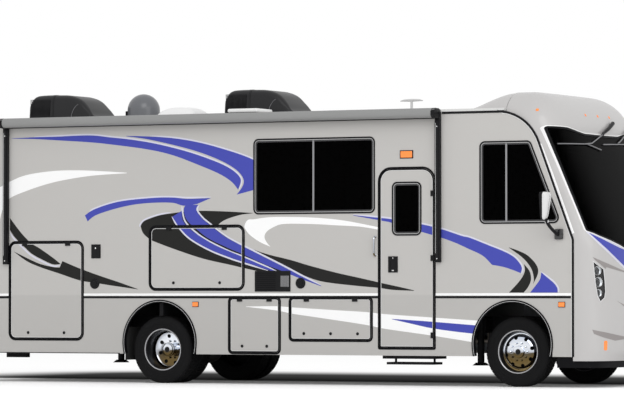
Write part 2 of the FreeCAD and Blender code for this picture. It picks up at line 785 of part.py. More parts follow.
def hinge_places(door):
    """Where the hinges sit, and whether they stand upright."""
    if door is ENTRY_DOOR:
        rows = [door.z0 + door.corner, (door.z0 + door.z1) / 2, door.z1 - 2 * door.corner]
        return [Vector(door.x1 + DOOR_GAP / 2, -HALF - HINGE_OUT, z) for z in rows], True
    inset = (door.x1 - door.x0) / 5
    return [Vector(x, -HALF - HINGE_OUT, door.z1 + DOOR_GAP / 2)
            for x in (door.x0 + inset, door.x1 - inset)], False


def hinges(door, drawing):
    places, upright = hinge_places(door)
    placed = []
    for place in places:
        copy = drawing.copy()
        if upright:
            copy.rotate(Vector(0, 0, 0), Vector(0, 1, 0), 90)
        copy.translate(place)
        placed.append(copy)
    return placed


def hung_door(door):
    return fuse([door.prism(-HALF, -HALF + DOOR_THICKNESS)] + hinges(door, hinge_on_door()))


def entry_door_leaf():
    glass_hole = DOOR_WINDOW.prism(-HALF - WALL, -INNER + WALL)
    return hung_door(ENTRY_DOOR).cut(glass_hole)


def entry_door_glass():
    return DOOR_WINDOW.prism(-HALF + GLASS_INSET, -HALF + GLASS_INSET + GLASS)


# Rear wall with rounded upright corners
def rear_plan(inset):
    x = REAR_FACE_X + inset
    y = HALF - inset
    radius = REAR_CORNER_RADIUS - inset
    end = REAR_FACE_X + REAR_CORNER_RADIUS
    return [(x, -y), (end, -y), (end, y), (x, y)], [radius, 0.0, 0.0, radius]


def rear_window():
    half = REAR_WINDOW_WIDTH / 2
    return rectangle(-half, half, REAR_WINDOW_SILL, REAR_WINDOW_SILL + REAR_WINDOW_HEIGHT)


def grown(corners, grow):
    (a0, b0), (a1, b1) = corners[0], corners[2]
    return rectangle(a0 - grow, a1 + grow, b0 - grow, b1 + grow)


def tail_lamp_prism():
    y1 = HALF - REAR_CORNER_RADIUS
    corners = rectangle(y1 - TAIL_LAMP_WIDTH, y1, TAIL_LAMP_BOTTOM, TAIL_LAMP_BOTTOM + TAIL_LAMP_HEIGHT)
    return front_prism(corners, [20.0] * 4, REAR_FACE_X - LAMP_DEPTH / 2, REAR_FACE_X + LAMP_DEPTH)


def rear_wall():
    outer, outer_radii = rear_plan(0.0)
    inner, inner_radii = rear_plan(WALL)
    shell = plan_prism(outer, outer_radii, REAR_WALL_BOTTOM, WALL_TOP)
    shell = shell.cut(plan_prism(inner, inner_radii, REAR_WALL_BOTTOM - 1, WALL_TOP + 1))
    window = front_prism(rear_window(), [WINDOW_CORNER] * 4, REAR_FACE_X - WALL,
                         REAR_FACE_X + 2 * WALL)
    return shell.cut([window, pair(tail_lamp_prism())])


def rear_window_frame():
    x0 = REAR_FACE_X - WINDOW_PROUD
    x1 = x0 + WINDOW_FRAME_DEPTH
    ring = front_prism(rear_window(), [WINDOW_CORNER] * 4, x0, x1)
    hole = front_prism(grown(rear_window(), -WINDOW_FRAME), [WINDOW_CORNER - WINDOW_FRAME] * 4,
                       x0 - 1, x1 + 1)
    return ring.cut(hole)


def rear_window_pane():
    return front_prism(grown(rear_window(), -WINDOW_FRAME), [WINDOW_CORNER - WINDOW_FRAME] * 4,
                       REAR_FACE_X + GLASS_INSET, REAR_FACE_X + GLASS_INSET + GLASS)


# Roof, crowned across and rounded along both edges
def roof():
    edge = ROOF_EDGE_RADIUS
    front = from_front_axle(-ROOF_JOINT_BEHIND)
    crown_z = WALL_TOP + ROOF_CROWN
    side = Vector(REAR_FACE_X, -HALF, WALL_TOP)
    shoulder = Vector(REAR_FACE_X, -HALF + edge, WALL_TOP + edge)
    turn = Vector(REAR_FACE_X, -HALF + edge * (1 - math.sqrt(0.5)), WALL_TOP + edge * math.sqrt(0.5))
    other = [Vector(p.x, -p.y, p.z) for p in (shoulder, turn, side)]
    edges = [Part.Arc(side, turn, shoulder).toShape(),
             Part.Arc(shoulder, Vector(REAR_FACE_X, 0, crown_z), other[0]).toShape(),
             Part.Arc(*other).toShape(),
             Part.LineSegment(other[2], side).toShape()]
    panel = Part.Face(Part.Wire(edges)).extrude(Vector(front - REAR_FACE_X, 0, 0))
    corners, radii = rear_plan(0.0)
    corners[1] = (front, corners[1][1])
    corners[2] = (front, corners[2][1])
    return panel.common(plan_prism(corners, radii, WALL_TOP - 1, CREST))


# Front cap, lofted through plan outlines at rising levels
def cap_outline(z, half_width, nose_x, corner_x, back_x):
    """Plan outline: straight sides, rounded corners and a crowned nose."""
    depth = nose_x - corner_x
    poles = [Vector(corner_x, -half_width, z),
             Vector(corner_x + depth * CORNER_ROUND, -half_width, z),
             Vector(nose_x - depth * NOSE_ROUND_IN, -half_width * NOSE_ROUND_HALF, z),
             Vector(nose_x, -half_width * NOSE_FLAT_HALF, z)]
    poles += [Vector(p.x, -p.y, z) for p in reversed(poles)]
    nose = Part.BSplineCurve()
    nose.buildFromPoles(poles, False, 3)
    back = [Vector(back_x, half_width, z), Vector(back_x, -half_width, z)]
    return Part.Wire([nose.toShape(),
                      Part.LineSegment(poles[-1], back[0]).toShape(),
                      Part.LineSegment(back[0], back[1]).toShape(),
                      Part.LineSegment(back[1], poles[0]).toShape()])


def cap_solid(inset, bottom=CAP_BOTTOM):
    """The cap's outer form, drawn in on every side by the inset."""
    rake = math.tan(math.radians(GLASS_RAKE))
    seam_rake = math.tan(math.radians(SEAM_RAKE))
    half = HALF - inset
    back = from_front_axle(-ROOF_JOINT_BEHIND)
    nose = NOSE_X - inset
    brow_x = NOSE_X - NOSE_SETBACK - inset
    glass_top_x = brow_x - (GLASS_TOP - BROW_BOTTOM) * rake
    corner_top = SEAM_X - (GLASS_TOP - SEAM_KNEE) * seam_rake
    lower = [cap_outline(bottom, half, nose - CAP_FOOT_TUCK, SEAM_X, back),
             cap_outline(BUMPER_NOSE_TOP - BUMPER_NOSE_FLAT, half, nose, SEAM_X, back),
             cap_outline(BUMPER_NOSE_TOP + NOSE_LEAN_RISE, half, nose - NOSE_LEAN, SEAM_X, back),
             cap_outline(BROW_BOTTOM, half, brow_x, SEAM_X, back)]
    glass = [lower[-1], cap_outline(GLASS_TOP, half, glass_top_x, corner_top, back)]
    brow = [glass[-1]]
    for i in range(1, BROW_STEPS + 1):
        part = i / BROW_STEPS
        lift = part * (CREST - inset - GLASS_TOP)
        draw_in = part ** 2
        nose_x = glass_top_x + BROW_OVERHANG * (1 - draw_in) - draw_in * CREST_SETBACK
        corner_x = corner_top - part * CORNER_SETBACK
        width = half - draw_in * part * CREST_DRAW_IN
        slope = max(0.0, part - BACK_SLOPE_FROM) / (1 - BACK_SLOPE_FROM)
        back_x = back + slope * (corner_x - back - CREST_FLAT) + (inset if slope > 0 else 0.0)
        brow.append(cap_outline(GLASS_TOP + lift, width, nose_x, corner_x, back_x))
    parts = [Part.makeLoft(lower, True, True), Part.makeLoft(glass, True, True),
             Part.makeLoft(brow, True, True)]
    return parts[0].fuse(parts[1:])


def ahead_of_seam():
    """Everything ahead of the side walls' front edge and of the roof joint."""
    corners, radii = seam_line()
    joint = from_front_axle(-ROOF_JOINT_BEHIND)
    far = NOSE_X + TOOL_REACH
    high = CREST + TOOL_REACH
    corners = corners + [(joint, WALL_TOP), (joint, high), (far, high), (far, 0.0)]
    return side_prism(corners, radii + [0.0] * 4, -BODY_WIDTH, BODY_WIDTH)


def windshield_prism():
    low = [(WINDSHIELD_HALF_BOTTOM, WINDSHIELD_SIDE_BOTTOM),
           (WINDSHIELD_LOW_BEND_Y, BROW_BOTTOM + WINDSHIELD_LOW_BEND_UP),
           (0.0, BROW_BOTTOM + WINDSHIELD_LOW_MIDDLE_UP)]
    side_top = GLASS_TOP + WINDSHIELD_SIDE_RISE
    high = [(WINDSHIELD_HALF_TOP, side_top), (WINDSHIELD_TOP_STEP_OUTER, side_top),
            (WINDSHIELD_TOP_STEP_INNER, GLASS_TOP - WINDSHIELD_TOP_STEP_DROP),
            (0.0, GLASS_TOP - WINDSHIELD_TOP_MIDDLE_DROP)]
    corners = [(-y, z) for y, z in low] + [(y, z) for y, z in reversed(low[:-1])]
    corners += high + [(-y, z) for y, z in reversed(high[:-1])]
    bend = WINDSHIELD_LOW_BEND_RADIUS
    corner = WINDSHIELD_CORNER
    radii = [corner, bend, 0.0, bend, corner, corner, corner, corner, 0.0, corner, corner, corner]
    return front_prism(corners, radii, from_front_axle(0), NOSE_X + TOOL_REACH)


def headlamp_prism():
    corners = [(-HEADLAMP_INNER, HEADLAMP_BOTTOM + HEADLAMP_FOOT_UP),
               (-HEADLAMP_INNER - HEADLAMP_FOOT_IN, HEADLAMP_BOTTOM),
               (-HEADLAMP_OUTER, HEADLAMP_BOTTOM + HEADLAMP_SIDE_UP),
               (-HEADLAMP_OUTER, HEADLAMP_TOP),
               (-HEADLAMP_INNER, HEADLAMP_TOP - HEADLAMP_TOP_DROP)]
    tight, soft = HEADLAMP_CORNER, HEADLAMP_SOFT_CORNER
    return front_prism(corners, [tight, tight, soft, tight, soft], SEAM_X, NOSE_X + TOOL_REACH)


def turn_lamp_prism():
    half = TURN_LAMP_WIDTH / 2
    rise = TURN_LAMP_HEIGHT / 2
    corners = rectangle(-TURN_LAMP_Y - half, -TURN_LAMP_Y + half, TURN_LAMP_Z - rise,
                        TURN_LAMP_Z + rise)
    return front_prism(corners, [TURN_LAMP_CORNER] * 4, SEAM_X, NOSE_X + TOOL_REACH)


def grille_prism(grow=0.0):
    half = GRILLE_HALF_WIDTH + grow
    foot = half * GRILLE_FOOT_SHARE
    top = GRILLE_BOTTOM + GRILLE_HEIGHT + grow
    corners = [(-foot, GRILLE_BOTTOM - grow), (foot, GRILLE_BOTTOM - grow), (half, top), (-half, top)]
    return front_prism(corners, [GRILLE_CORNER] * 4, SEAM_X, NOSE_X + TOOL_REACH)


CAP_FORM = cap_solid(0.0)
CAP_LAMP_FLOOR = cap_solid(LAMP_DEPTH)
CAP_INSIDE = cap_solid(CAP_WALL, CAP_BOTTOM - CAP_LIP_RISE)
AHEAD = ahead_of_seam()
LAMP_SKIN = CAP_FORM.cut(CAP_LAMP_FLOOR)


def front_cap():
    shell = CAP_FORM.common(AHEAD).cut(CAP_INSIDE)
    pockets = LAMP_SKIN.common(pair(headlamp_prism()))
    turn_pockets = LAMP_SKIN.common(pair(turn_lamp_prism()))
    return shell.cut([windshield_prism(), grille_prism(), pockets, turn_pockets])


def headlamps():
    return LAMP_SKIN.common(pair(headlamp_prism()))


def turn_lamps():
    return LAMP_SKIN.common(pair(turn_lamp_prism()))


def windshield():
    glass = cap_solid(GLASS_INSET).cut(cap_solid(GLASS_INSET + GLASS))
    return glass.common(windshield_prism())


def front_grille():
    """Frame and level slats that fill the opening in the nose."""
    skin = LAMP_SKIN.common(grille_prism())
    pitch = GRILLE_HEIGHT / (GRILLE_SLATS + 1)
    hole = grille_prism(-GRILLE_FRAME)
    kept = []
    for i in range(GRILLE_SLATS):
        z = GRILLE_BOTTOM + pitch * (i + 1)
        kept.append(box(SEAM_X, NOSE_X + TOOL_REACH, -HALF, HALF, z - GRILLE_SLAT / 2, z + GRILLE_SLAT / 2))
    return skin.cut(hole.cut(kept))


# Floor, step well and storage bays
def tall_bay_outer():
    return (TALL_DOOR.x0 - BAY_MARGIN, TALL_DOOR.x1 + BAY_MARGIN, -INNER, -INNER + BAY_DEPTH,
            TALL_DOOR.z0 - BAY_MARGIN, TALL_DOOR.z1 + BAY_MARGIN)


def bay(x0, x1, y0, y1, z0, z1):
    """Sheet box, open towards its door."""
    outer = box(x0, x1, y0, y1, z0, z1)
    s = BAY_SHEET
    return outer.cut(box(x0 + s, x1 - s, y0 - s, y1 - s, z0 + s, z1 - s))


def locker_bay(door):
    return bay(door.x0 - BAY_MARGIN, door.x1 + BAY_MARGIN, -INNER, -INNER + BAY_DEPTH,
               door.z0 - BAY_MARGIN, FLOOR_BOTTOM)


def kitchen_bay():
    return bay(KITCHEN_DOOR.x0 - BAY_MARGIN, KITCHEN_DOOR.x1 + BAY_MARGIN, -INNER,
               -INNER + KITCHEN_DEPTH, KITCHEN_DOOR.z0 - BAY_MARGIN, KITCHEN_DOOR.z1 + BAY_MARGIN)


def storage_bays():
    right = [bay(*tall_bay_outer()), kitchen_bay(), locker_bay(SHORT_LOCKER), locker_bay(LONG_LOCKER)]
    left = [mirrored(bay(*tall_bay_outer())), mirrored(locker_bay(LONG_LOCKER))]
    return Part.makeCompound(right + left)


def step_well():
    """Two folded treads between the door sill and the floor."""
    s = STEP_SHEET
    mid = (FLOOR_TOP + STEP_WELL_FLOOR) / 2
    inner_y = -INNER + 2 * STEP_TREAD
    x0, x1 = ENTRY_DOOR.x0, ENTRY_DOOR.x1
    outline = [(-INNER, STEP_WELL_FLOOR), (-INNER, STEP_WELL_FLOOR - s),
               (-INNER + STEP_TREAD + s, STEP_WELL_FLOOR - s), (-INNER + STEP_TREAD + s, mid - s),
               (inner_y + s, mid - s), (inner_y + s, FLOOR_TOP), (inner_y, FLOOR_TOP),
               (inner_y, mid), (-INNER + STEP_TREAD, mid), (-INNER + STEP_TREAD, STEP_WELL_FLOOR)]
    joint = FLOOR_JOINT / 2
    treads = front_prism(outline, [0.0] * len(outline), x0 + joint, x1 - joint)
    cheeks = []
    for x in (x0 - s, x1):
        cheek = [(-INNER, STEP_WELL_FLOOR - s), (-INNER + STEP_TREAD + s, STEP_WELL_FLOOR - s),
                 (inner_y + s, mid - s), (inner_y + s, FLOOR_TOP), (-INNER, FLOOR_TOP)]
        cheeks.append(front_prism(cheek, [0.0] * len(cheek), x, x + s))
    return Part.makeCompound([treads] + cheeks)


def floor():
    """Panels butted at the edges of the tall bays and of the step well."""
    back = REAR_FACE_X + REAR_CORNER_RADIUS
    front = SEAM_X - CAP_WALL
    bay_x0, bay_x1 = tall_bay_outer()[:2]
    bay_y = INNER - BAY_DEPTH
    well_x0 = ENTRY_DOOR.x0 - STEP_SHEET
    well_x1 = ENTRY_DOOR.x1 + STEP_SHEET
    panels = [(back, bay_x0, -INNER, INNER), (bay_x0, bay_x1, -bay_y, bay_y),
              (bay_x1, well_x0, -INNER, INNER),
              (well_x0, well_x1, -INNER + 2 * STEP_TREAD + STEP_SHEET, INNER),
              (well_x1, front, -INNER, INNER)]
    joint = FLOOR_JOINT / 2
    return Part.makeCompound([box(x0 + joint, x1 - joint, y0, y1, FLOOR_BOTTOM, FLOOR_TOP)
                              for x0, x1, y0, y1 in panels])


# Chassis
def rail():
    outer_y = -RAIL_SPACING / 2
    front = from_front_axle(RAIL_FRONT_AHEAD)
    t = RAIL_SHEET
    inner_y = outer_y + RAIL_FLANGE
    outline = [(outer_y, RAIL_BOTTOM), (inner_y, RAIL_BOTTOM), (inner_y, RAIL_BOTTOM + t),
               (outer_y + t, RAIL_BOTTOM + t), (outer_y + t, RAIL_TOP - t), (inner_y, RAIL_TOP - t),
               (inner_y, RAIL_TOP), (outer_y, RAIL_TOP)]
    return front_prism(outline, [0.0] * 8, REAR_FACE_X + WALL, front)


def cross_members():
    """Floor beams across the rails, and members between their webs."""
    web = RAIL_SPACING / 2 - RAIL_SHEET
    gap = BAY_MARGIN + FLOOR_BEAM / 2
    between_bays = INNER - BAY_DEPTH
    beside_well = -INNER + 2 * STEP_TREAD + STEP_SHEET
    beams = [(x, -INNER, INNER) for x in
             (TALL_DOOR.x0 - gap, TALL_DOOR.x1 + gap, REAR_AXLE_X, SHORT_LOCKER.x0 - gap,
              (SHORT_LOCKER.x1 + LONG_LOCKER.x0) / 2, LONG_LOCKER.x1 + gap,
              ENTRY_DOOR.x1 + STEP_SHEET + FLOOR_BEAM, from_front_axle(-ARCH_RADIUS))]
    beams.append(((TALL_DOOR.x0 + TALL_DOOR.x1) / 2, -between_bays, between_bays))
    beams.append(((ENTRY_DOOR.x0 + ENTRY_DOOR.x1) / 2, beside_well, INNER))
    half = FLOOR_BEAM / 2
    top = RAIL_TOP - RAIL_SHEET
    parts = []
    for x, y0, y1 in beams:
        parts.append(box(x - half, x + half, y0, y1, RAIL_TOP, FLOOR_BOTTOM))
        parts.append(box(x - half, x + half, -web, web, top - CROSS_SECTION, top))
    rear = REAR_FACE_X + REAR_CORNER_RADIUS
    front = from_front_axle(RAIL_FRONT_AHEAD) - CROSS_SECTION
    for x in (rear, front):
        parts.append(box(x, x + CROSS_SECTION, -web, web, RAIL_BOTTOM + RAIL_SHEET, top))
    return Part.makeCompound(parts)


# Wheels: each has its tyre and a rim with dished disc, hand holes and hub
def revolved(points, centre):
    """Turn a profile of (radius, offset along the axle) about the wheel's axle."""
    place = [Vector(centre.x, centre.y + out, centre.z + radius) for radius, out in points]
    wire = Part.makePolygon(place + [place[0]])
    return Part.Face(wire).revolve(centre, Vector(0, 1, 0), 360)


def tyre(centre):
    """Section with round shoulders, bulged side walls and a bead on the rim."""
    half = TYRE_WIDTH / 2
    tread = half - TYRE_SHOULDER
    bead = half - FLANGE_IN - BEAD_GAP
    foot = RIM_RADIUS + RIM_FLANGE + BEAD_GAP
    mid = (RIM_RADIUS + TYRE_RADIUS) / 2
    drop = TYRE_SHOULDER_DROP

    def at(radius, out):
        return Vector(centre.x, centre.y + out, centre.z + radius)

    def side(sign):
        bulge = Part.BSplineCurve()
        bulge.interpolate([at(TYRE_RADIUS, sign * tread), at(TYRE_RADIUS - drop, sign * (half - drop)),
                           at(mid, sign * half), at(foot, sign * bead)])
        return [bulge.toShape(),
                Part.LineSegment(at(foot, sign * bead), at(RIM_RADIUS, sign * bead)).toShape()]

    edges = side(1) + side(-1)
    edges += [Part.LineSegment(at(RIM_RADIUS, bead), at(RIM_RADIUS, -bead)).toShape(),
              Part.LineSegment(at(TYRE_RADIUS, -tread), at(TYRE_RADIUS, tread)).toShape()]
    wire = Part.Wire(Part.__sortEdges__(edges))
    return Part.Face(wire).revolve(centre, Vector(0, 1, 0), 360)


def rim(centre, outward, disc_out):
    """Barrel, two flanges and a disc whose face lies disc_out beyond the middle."""
    half = TYRE_WIDTH / 2 - FLANGE_IN
    inner = RIM_RADIUS - RIM_SHEET
    flange = RIM_RADIUS + RIM_FLANGE
    lip = half + RIM_LIP
    slope = half + RIM_LIP_SLOPE
    barrel = revolved([(RIM_RADIUS, -half), (flange, -slope), (flange, -lip), (inner, -lip),
                       (inner, lip), (flange, lip), (flange, slope), (RIM_RADIUS, half)], centre)
    s = outward
    bore = SPINDLE_RADIUS + BEARING_GAP
    flat = HUB_RADIUS + DISC_FLAT
    foot = disc_out - DISC_DISH
    disc = revolved([(bore, s * disc_out), (flat, s * disc_out), (inner, s * foot),
                     (inner, s * (foot - RIM_SHEET)),
                     (flat - DISC_FLAT_STEP, s * (disc_out - RIM_SHEET)),
                     (bore, s * (disc_out - RIM_SHEET))], centre)
    for i in range(HAND_HOLES):
        angle = 2 * math.pi * i / HAND_HOLES
        hole_x = centre.x + HAND_HOLE_CIRCLE * math.cos(angle)
        hole_z = centre.z + HAND_HOLE_CIRCLE * math.sin(angle)
        disc = disc.cut(Part.makeCylinder(HAND_HOLE_RADIUS, 4 * TYRE_WIDTH,
                                          Vector(hole_x, centre.y - 2 * TYRE_WIDTH, hole_z),
                                          Vector(0, 1, 0)))
    return barrel.fuse(disc)


def hub(centre, outward, start, end):
    """Turned hub, open inboard where the spindle enters and capped outboard."""
    bore = SPINDLE_RADIUS + BEARING_GAP
    s = outward
    return revolved([(bore, s * start), (HUB_RADIUS, s * start), (HUB_RADIUS, s * (end - HUB_TAPER)),
                     (HUB_RADIUS - HUB_TAPER_IN, s * end), (0.0, s * end), (0.0, s * (end - HUB_END)),
                     (bore, s * (end - HUB_END))], centre)


FRONT_WHEEL_Y = FRONT_TRACK / 2
REAR_OUTER_Y = REAR_OUTER_TRACK / 2
REAR_INNER_Y = REAR_OUTER_Y - DUAL_SPACING
KINGPIN_Y = KINGPIN_SPACING / 2
REAR_DISC_Y = (REAR_OUTER_Y + REAR_INNER_Y) / 2
FRONT_SPINDLE_TIP = FRONT_WHEEL_Y + FRONT_DISC_OUT + FRONT_SPINDLE_PAST
REAR_SPINDLE_TIP = REAR_DISC_Y + REAR_SPINDLE_PAST


def front_rim_right():
    centre = Vector(FRONT_AXLE_X, -FRONT_WHEEL_Y, TYRE_RADIUS)
    tip = FRONT_SPINDLE_TIP - FRONT_WHEEL_Y + HUB_CLEAR
    return fuse([rim(centre, -1, FRONT_DISC_OUT), hub(centre, -1, -FRONT_HUB_IN, tip)])


def rear_rims_right():
    outer = Vector(REAR_AXLE_X, -REAR_OUTER_Y, TYRE_RADIUS)
    inner = Vector(REAR_AXLE_X, -REAR_INNER_Y, TYRE_RADIUS)
    disc_in = REAR_OUTER_Y - REAR_DISC_Y
    outer_rim = rim(outer, 1, disc_in)
    inner_rim = rim(inner, -1, disc_in)
    tip = REAR_SPINDLE_TIP - REAR_DISC_Y + HUB_CLEAR
    barrel = hub(Vector(REAR_AXLE_X, -REAR_DISC_Y, TYRE_RADIUS), -1, -REAR_HUB_IN, tip)
    return fuse([outer_rim, inner_rim, barrel])


# Front axle, knuckles and tie rod
def front_axle():
    """Dropped beam with an eye at each end and the two leaf springs it hangs on."""
    z = TYRE_RADIUS
    half_h = AXLE_BEAM_HEIGHT / 2
    ends = KINGPIN_Y
    bend = SPRING_SPACING / 2 + AXLE_BEND_OUT
    flat = SPRING_SPACING / 2 + AXLE_FLAT_OUT
    low_bend = bend + AXLE_BEND_RUN
    high_flat = flat - AXLE_FLAT_IN
    outline = [(-ends, z - half_h), (-low_bend, z - half_h), (-flat, z - half_h - AXLE_DROP),
               (flat, z - half_h - AXLE_DROP), (low_bend, z - half_h), (ends, z - half_h),
               (ends, z + half_h), (bend, z + half_h), (high_flat, z + half_h - AXLE_DROP),
               (-high_flat, z + half_h - AXLE_DROP), (-bend, z + half_h), (-ends, z + half_h)]
    beam = front_prism(outline, [0.0] * 12, FRONT_AXLE_X - AXLE_BEAM_WIDTH / 2,
                       FRONT_AXLE_X + AXLE_BEAM_WIDTH / 2)
    eyes = []
    bores = []
    for y in (-KINGPIN_Y, KINGPIN_Y):
        base = Vector(FRONT_AXLE_X, y, z - AXLE_EYE_HEIGHT / 2)
        eyes.append(Part.makeCylinder(AXLE_EYE_RADIUS, AXLE_EYE_HEIGHT, base))
        bores.append(Part.makeCylinder(KINGPIN_RADIUS + BEARING_GAP, AXLE_EYE_HEIGHT + 2,
                                       base.sub(Vector(0, 0, 1))))
    seat = z + half_h - AXLE_DROP
    springs = [leaf_spring(FRONT_AXLE_X, side * SPRING_SPACING / 2, seat) for side in (-1, 1)]
    return fuse([beam] + eyes + springs).cut(bores)


def leaf_spring(axle_x, y, seat):
    """Leaf pack bowed up to a hanger under the rail at each end."""
    half = SPRING_LENGTH / 2
    y0 = y - SPRING_WIDTH / 2
    eye = RAIL_BOTTOM - SPRING_EYE_BELOW
    foot = eye - SPRING_LEAF

    def at(x, z):
        return Vector(axle_x + x, y0, z)

    under = Part.Arc(at(-half, foot), at(0, seat), at(half, foot)).toShape()
    over = Part.Arc(at(half, eye), at(0, seat + SPRING_STACK), at(-half, eye)).toShape()
    ends = [Part.LineSegment(at(half, foot), at(half, eye)).toShape(),
            Part.LineSegment(at(-half, eye), at(-half, foot)).toShape()]
    pack = Part.Face(Part.Wire([under, ends[0], over, ends[1]])).extrude(Vector(0, SPRING_WIDTH, 0))
    hangers = [box(axle_x + x - HANGER_HALF, axle_x + x + HANGER_HALF, y0, y0 + SPRING_WIDTH,
                   eye - HANGER_BELOW, RAIL_BOTTOM) for x in (-half, half)]
    return fuse([pack] + hangers)


def knuckle_right():
    """Forked knuckle on its kingpin, with the wheel spindle and the steering arm."""
    x, y, z = FRONT_AXLE_X, -KINGPIN_Y, TYRE_RADIUS
    lift = AXLE_EYE_HEIGHT / 2 + FORK_GAP
    reach = AXLE_EYE_RADIUS + FORK_REACH
    width = AXLE_EYE_RADIUS
    parts = []
    for z0 in (z + lift, z - lift - FORK_PLATE):
        parts.append(Part.makeCylinder(width, FORK_PLATE, Vector(x, y, z0)))
        parts.append(box(x - width, x + width, y - reach, y, z0, z0 + FORK_PLATE))
    parts.append(box(x - width, x + width, y - reach - FORK_BACK, y - reach, z - lift - FORK_PLATE,
                     z + lift + FORK_PLATE))
    pin_base = Vector(x, y, z - lift - 1)
    parts.append(Part.makeCylinder(KINGPIN_RADIUS, 2 * lift + 2, pin_base))
    parts.append(rod(Vector(x, y - reach - 10, z), Vector(x, -FRONT_SPINDLE_TIP, z), SPINDLE_RADIUS))
    arm_z = z - lift - FORK_PLATE
    half = STEER_ARM_WIDTH / 2
    sheet = STEER_ARM_SHEET
    end = Vector(x - STEER_ARM, y, arm_z)
    parts.append(box(x - STEER_ARM, x, y - half, y + half, arm_z, arm_z + sheet))
    parts.append(Part.makeCylinder(BALL_RADIUS + STEER_EYE, sheet, end))
    parts.append(Part.makeCylinder(BALL_PIN_RADIUS, BALL_PIN_LENGTH,
                                   end.sub(Vector(0, 0, BALL_PIN_DROP))))
    return fuse(parts)


def tie_rod():
    """Track rod under the two steering arms; its eyes hang on the arms' pins."""
    arm_z = TYRE_RADIUS - AXLE_EYE_HEIGHT / 2 - FORK_GAP - FORK_PLATE
    z = arm_z - BALL_RADIUS
    x = FRONT_AXLE_X - STEER_ARM
    bar = rod(Vector(x, -KINGPIN_Y, z), Vector(x, KINGPIN_Y, z), TIE_ROD_RADIUS)
    eyes = []
    bores = []
    for y in (-KINGPIN_Y, KINGPIN_Y):
        eyes.append(Part.makeCylinder(BALL_RADIUS, TIE_ROD_EYE, Vector(x, y, z - TIE_ROD_EYE / 2)))
        bores.append(Part.makeCylinder(BALL_PIN_RADIUS + BEARING_GAP, 2 * TIE_ROD_EYE,
                                       Vector(x, y, z - TIE_ROD_EYE)))
    return fuse([bar] + eyes).cut(bores)


def rear_axle():
    """Banjo housing, spindles, leaf springs and the shaft down from the gearbox."""
    z = TYRE_RADIUS
    inboard = REAR_INNER_Y - TYRE_WIDTH / 2 - AXLE_TUBE_CLEAR
    centre = Vector(REAR_AXLE_X, 0, z)
    tube = rod(Vector(REAR_AXLE_X, -inboard, z), Vector(REAR_AXLE_X, inboard, z), AXLE_TUBE_RADIUS)
    spindle = rod(Vector(REAR_AXLE_X, -REAR_SPINDLE_TIP, z), Vector(REAR_AXLE_X, REAR_SPINDLE_TIP, z),
                  SPINDLE_RADIUS)
    banjo = Part.makeSphere(DIFFERENTIAL_RADIUS, centre)
    reach = 2 * DIFFERENTIAL_RADIUS
    slice_half = DIFFERENTIAL_WIDTH / 2
    banjo = banjo.common(box(REAR_AXLE_X - reach, REAR_AXLE_X + reach, -slice_half, slice_half, 0, 2 * z))
    seat = z + AXLE_TUBE_RADIUS - SPRING_SEAT_SUNK
    springs = [leaf_spring(REAR_AXLE_X, side * SPRING_SPACING / 2, seat) for side in (-1, 1)]
    return fuse([tube, spindle, banjo] + springs)


# Engine, gearbox, shaft, tank and exhaust
def engine():
    x0 = from_front_axle(-ENGINE_LENGTH * ENGINE_BEHIND_SHARE)
    block = box(x0, x0 + ENGINE_LENGTH, -ENGINE_WIDTH / 2, ENGINE_WIDTH / 2,
                ENGINE_TOP - ENGINE_HEIGHT, ENGINE_TOP)
    z = SHAFT_Z
    gearbox = Part.makeCone(GEARBOX_RADIUS, GEARBOX_RADIUS * GEARBOX_FLARE, GEARBOX_LENGTH,
                            Vector(x0 - GEARBOX_LENGTH, 0, z), Vector(1, 0, 0))
    return fuse([block, gearbox])


def drive_shaft():
    gearbox_x = from_front_axle(-ENGINE_LENGTH * ENGINE_BEHIND_SHARE) - GEARBOX_LENGTH
    start = Vector(gearbox_x, 0, SHAFT_Z)
    end = Vector(REAR_AXLE_X, 0, TYRE_RADIUS)
    shaft = rod(start, end, SHAFT_RADIUS)
    return shaft.cut(Part.makeSphere(DIFFERENTIAL_RADIUS, end))


def fuel_tank():
    x0 = -OVERALL_LENGTH / 2 + HITCH_MOUTH_IN + HITCH_LENGTH + TANK_GAP
    x1 = x0 + TANK_LENGTH
    half = TANK_WIDTH / 2
    z1 = RAIL_TOP - RAIL_SHEET - CROSS_SECTION
    tank = box(x0, x1, -half, half, z1 - TANK_HEIGHT, z1)
    lengthwise = [e for e in tank.Edges if abs(e.Vertexes[0].X - e.Vertexes[1].X) > 1]
    return tank.makeFillet(TANK_CORNER, lengthwise)


def exhaust():
    """Pipe and muffler between the rails, hung from the right rail's lower flange."""
    edge = -RAIL_SPACING / 2 + RAIL_FLANGE
    y = edge + MUFFLER_RADIUS
    z = RAIL_BOTTOM - MUFFLER_RADIUS * MUFFLER_DROP_SHARE
    start = from_front_axle(-ENGINE_LENGTH * ENGINE_BEHIND_SHARE) - GEARBOX_LENGTH / 2
    muffler_x = from_rear_axle(WHEELBASE * MUFFLER_AT_SHARE)
    tail_x = muffler_x - MUFFLER_LENGTH
    pipe = rod(Vector(start, y, z), Vector(muffler_x, y, z), PIPE_RADIUS)
    can = rod(Vector(tail_x, y, z), Vector(muffler_x, y, z), MUFFLER_RADIUS)
    half = EXHAUST_HANGER / 2
    low = z - HANGER_LAP / 2
    hung_from = edge - HANGER_REACH
    hangers = [box(x - half, x + half, hung_from, edge + HANGER_LAP, low, RAIL_BOTTOM)
               for x in (muffler_x - EXHAUST_HANGER_IN, tail_x + EXHAUST_HANGER_IN)]
    far = start - EXHAUST_HANGER_IN
    hangers.append(box(far - half, far + half, hung_from, y, low, low + HANGER_LAP))
    hangers.append(box(far - half, far + half, hung_from, hung_from + HANGER_LAP, low, RAIL_BOTTOM))
    return fuse([pipe, can] + hangers)


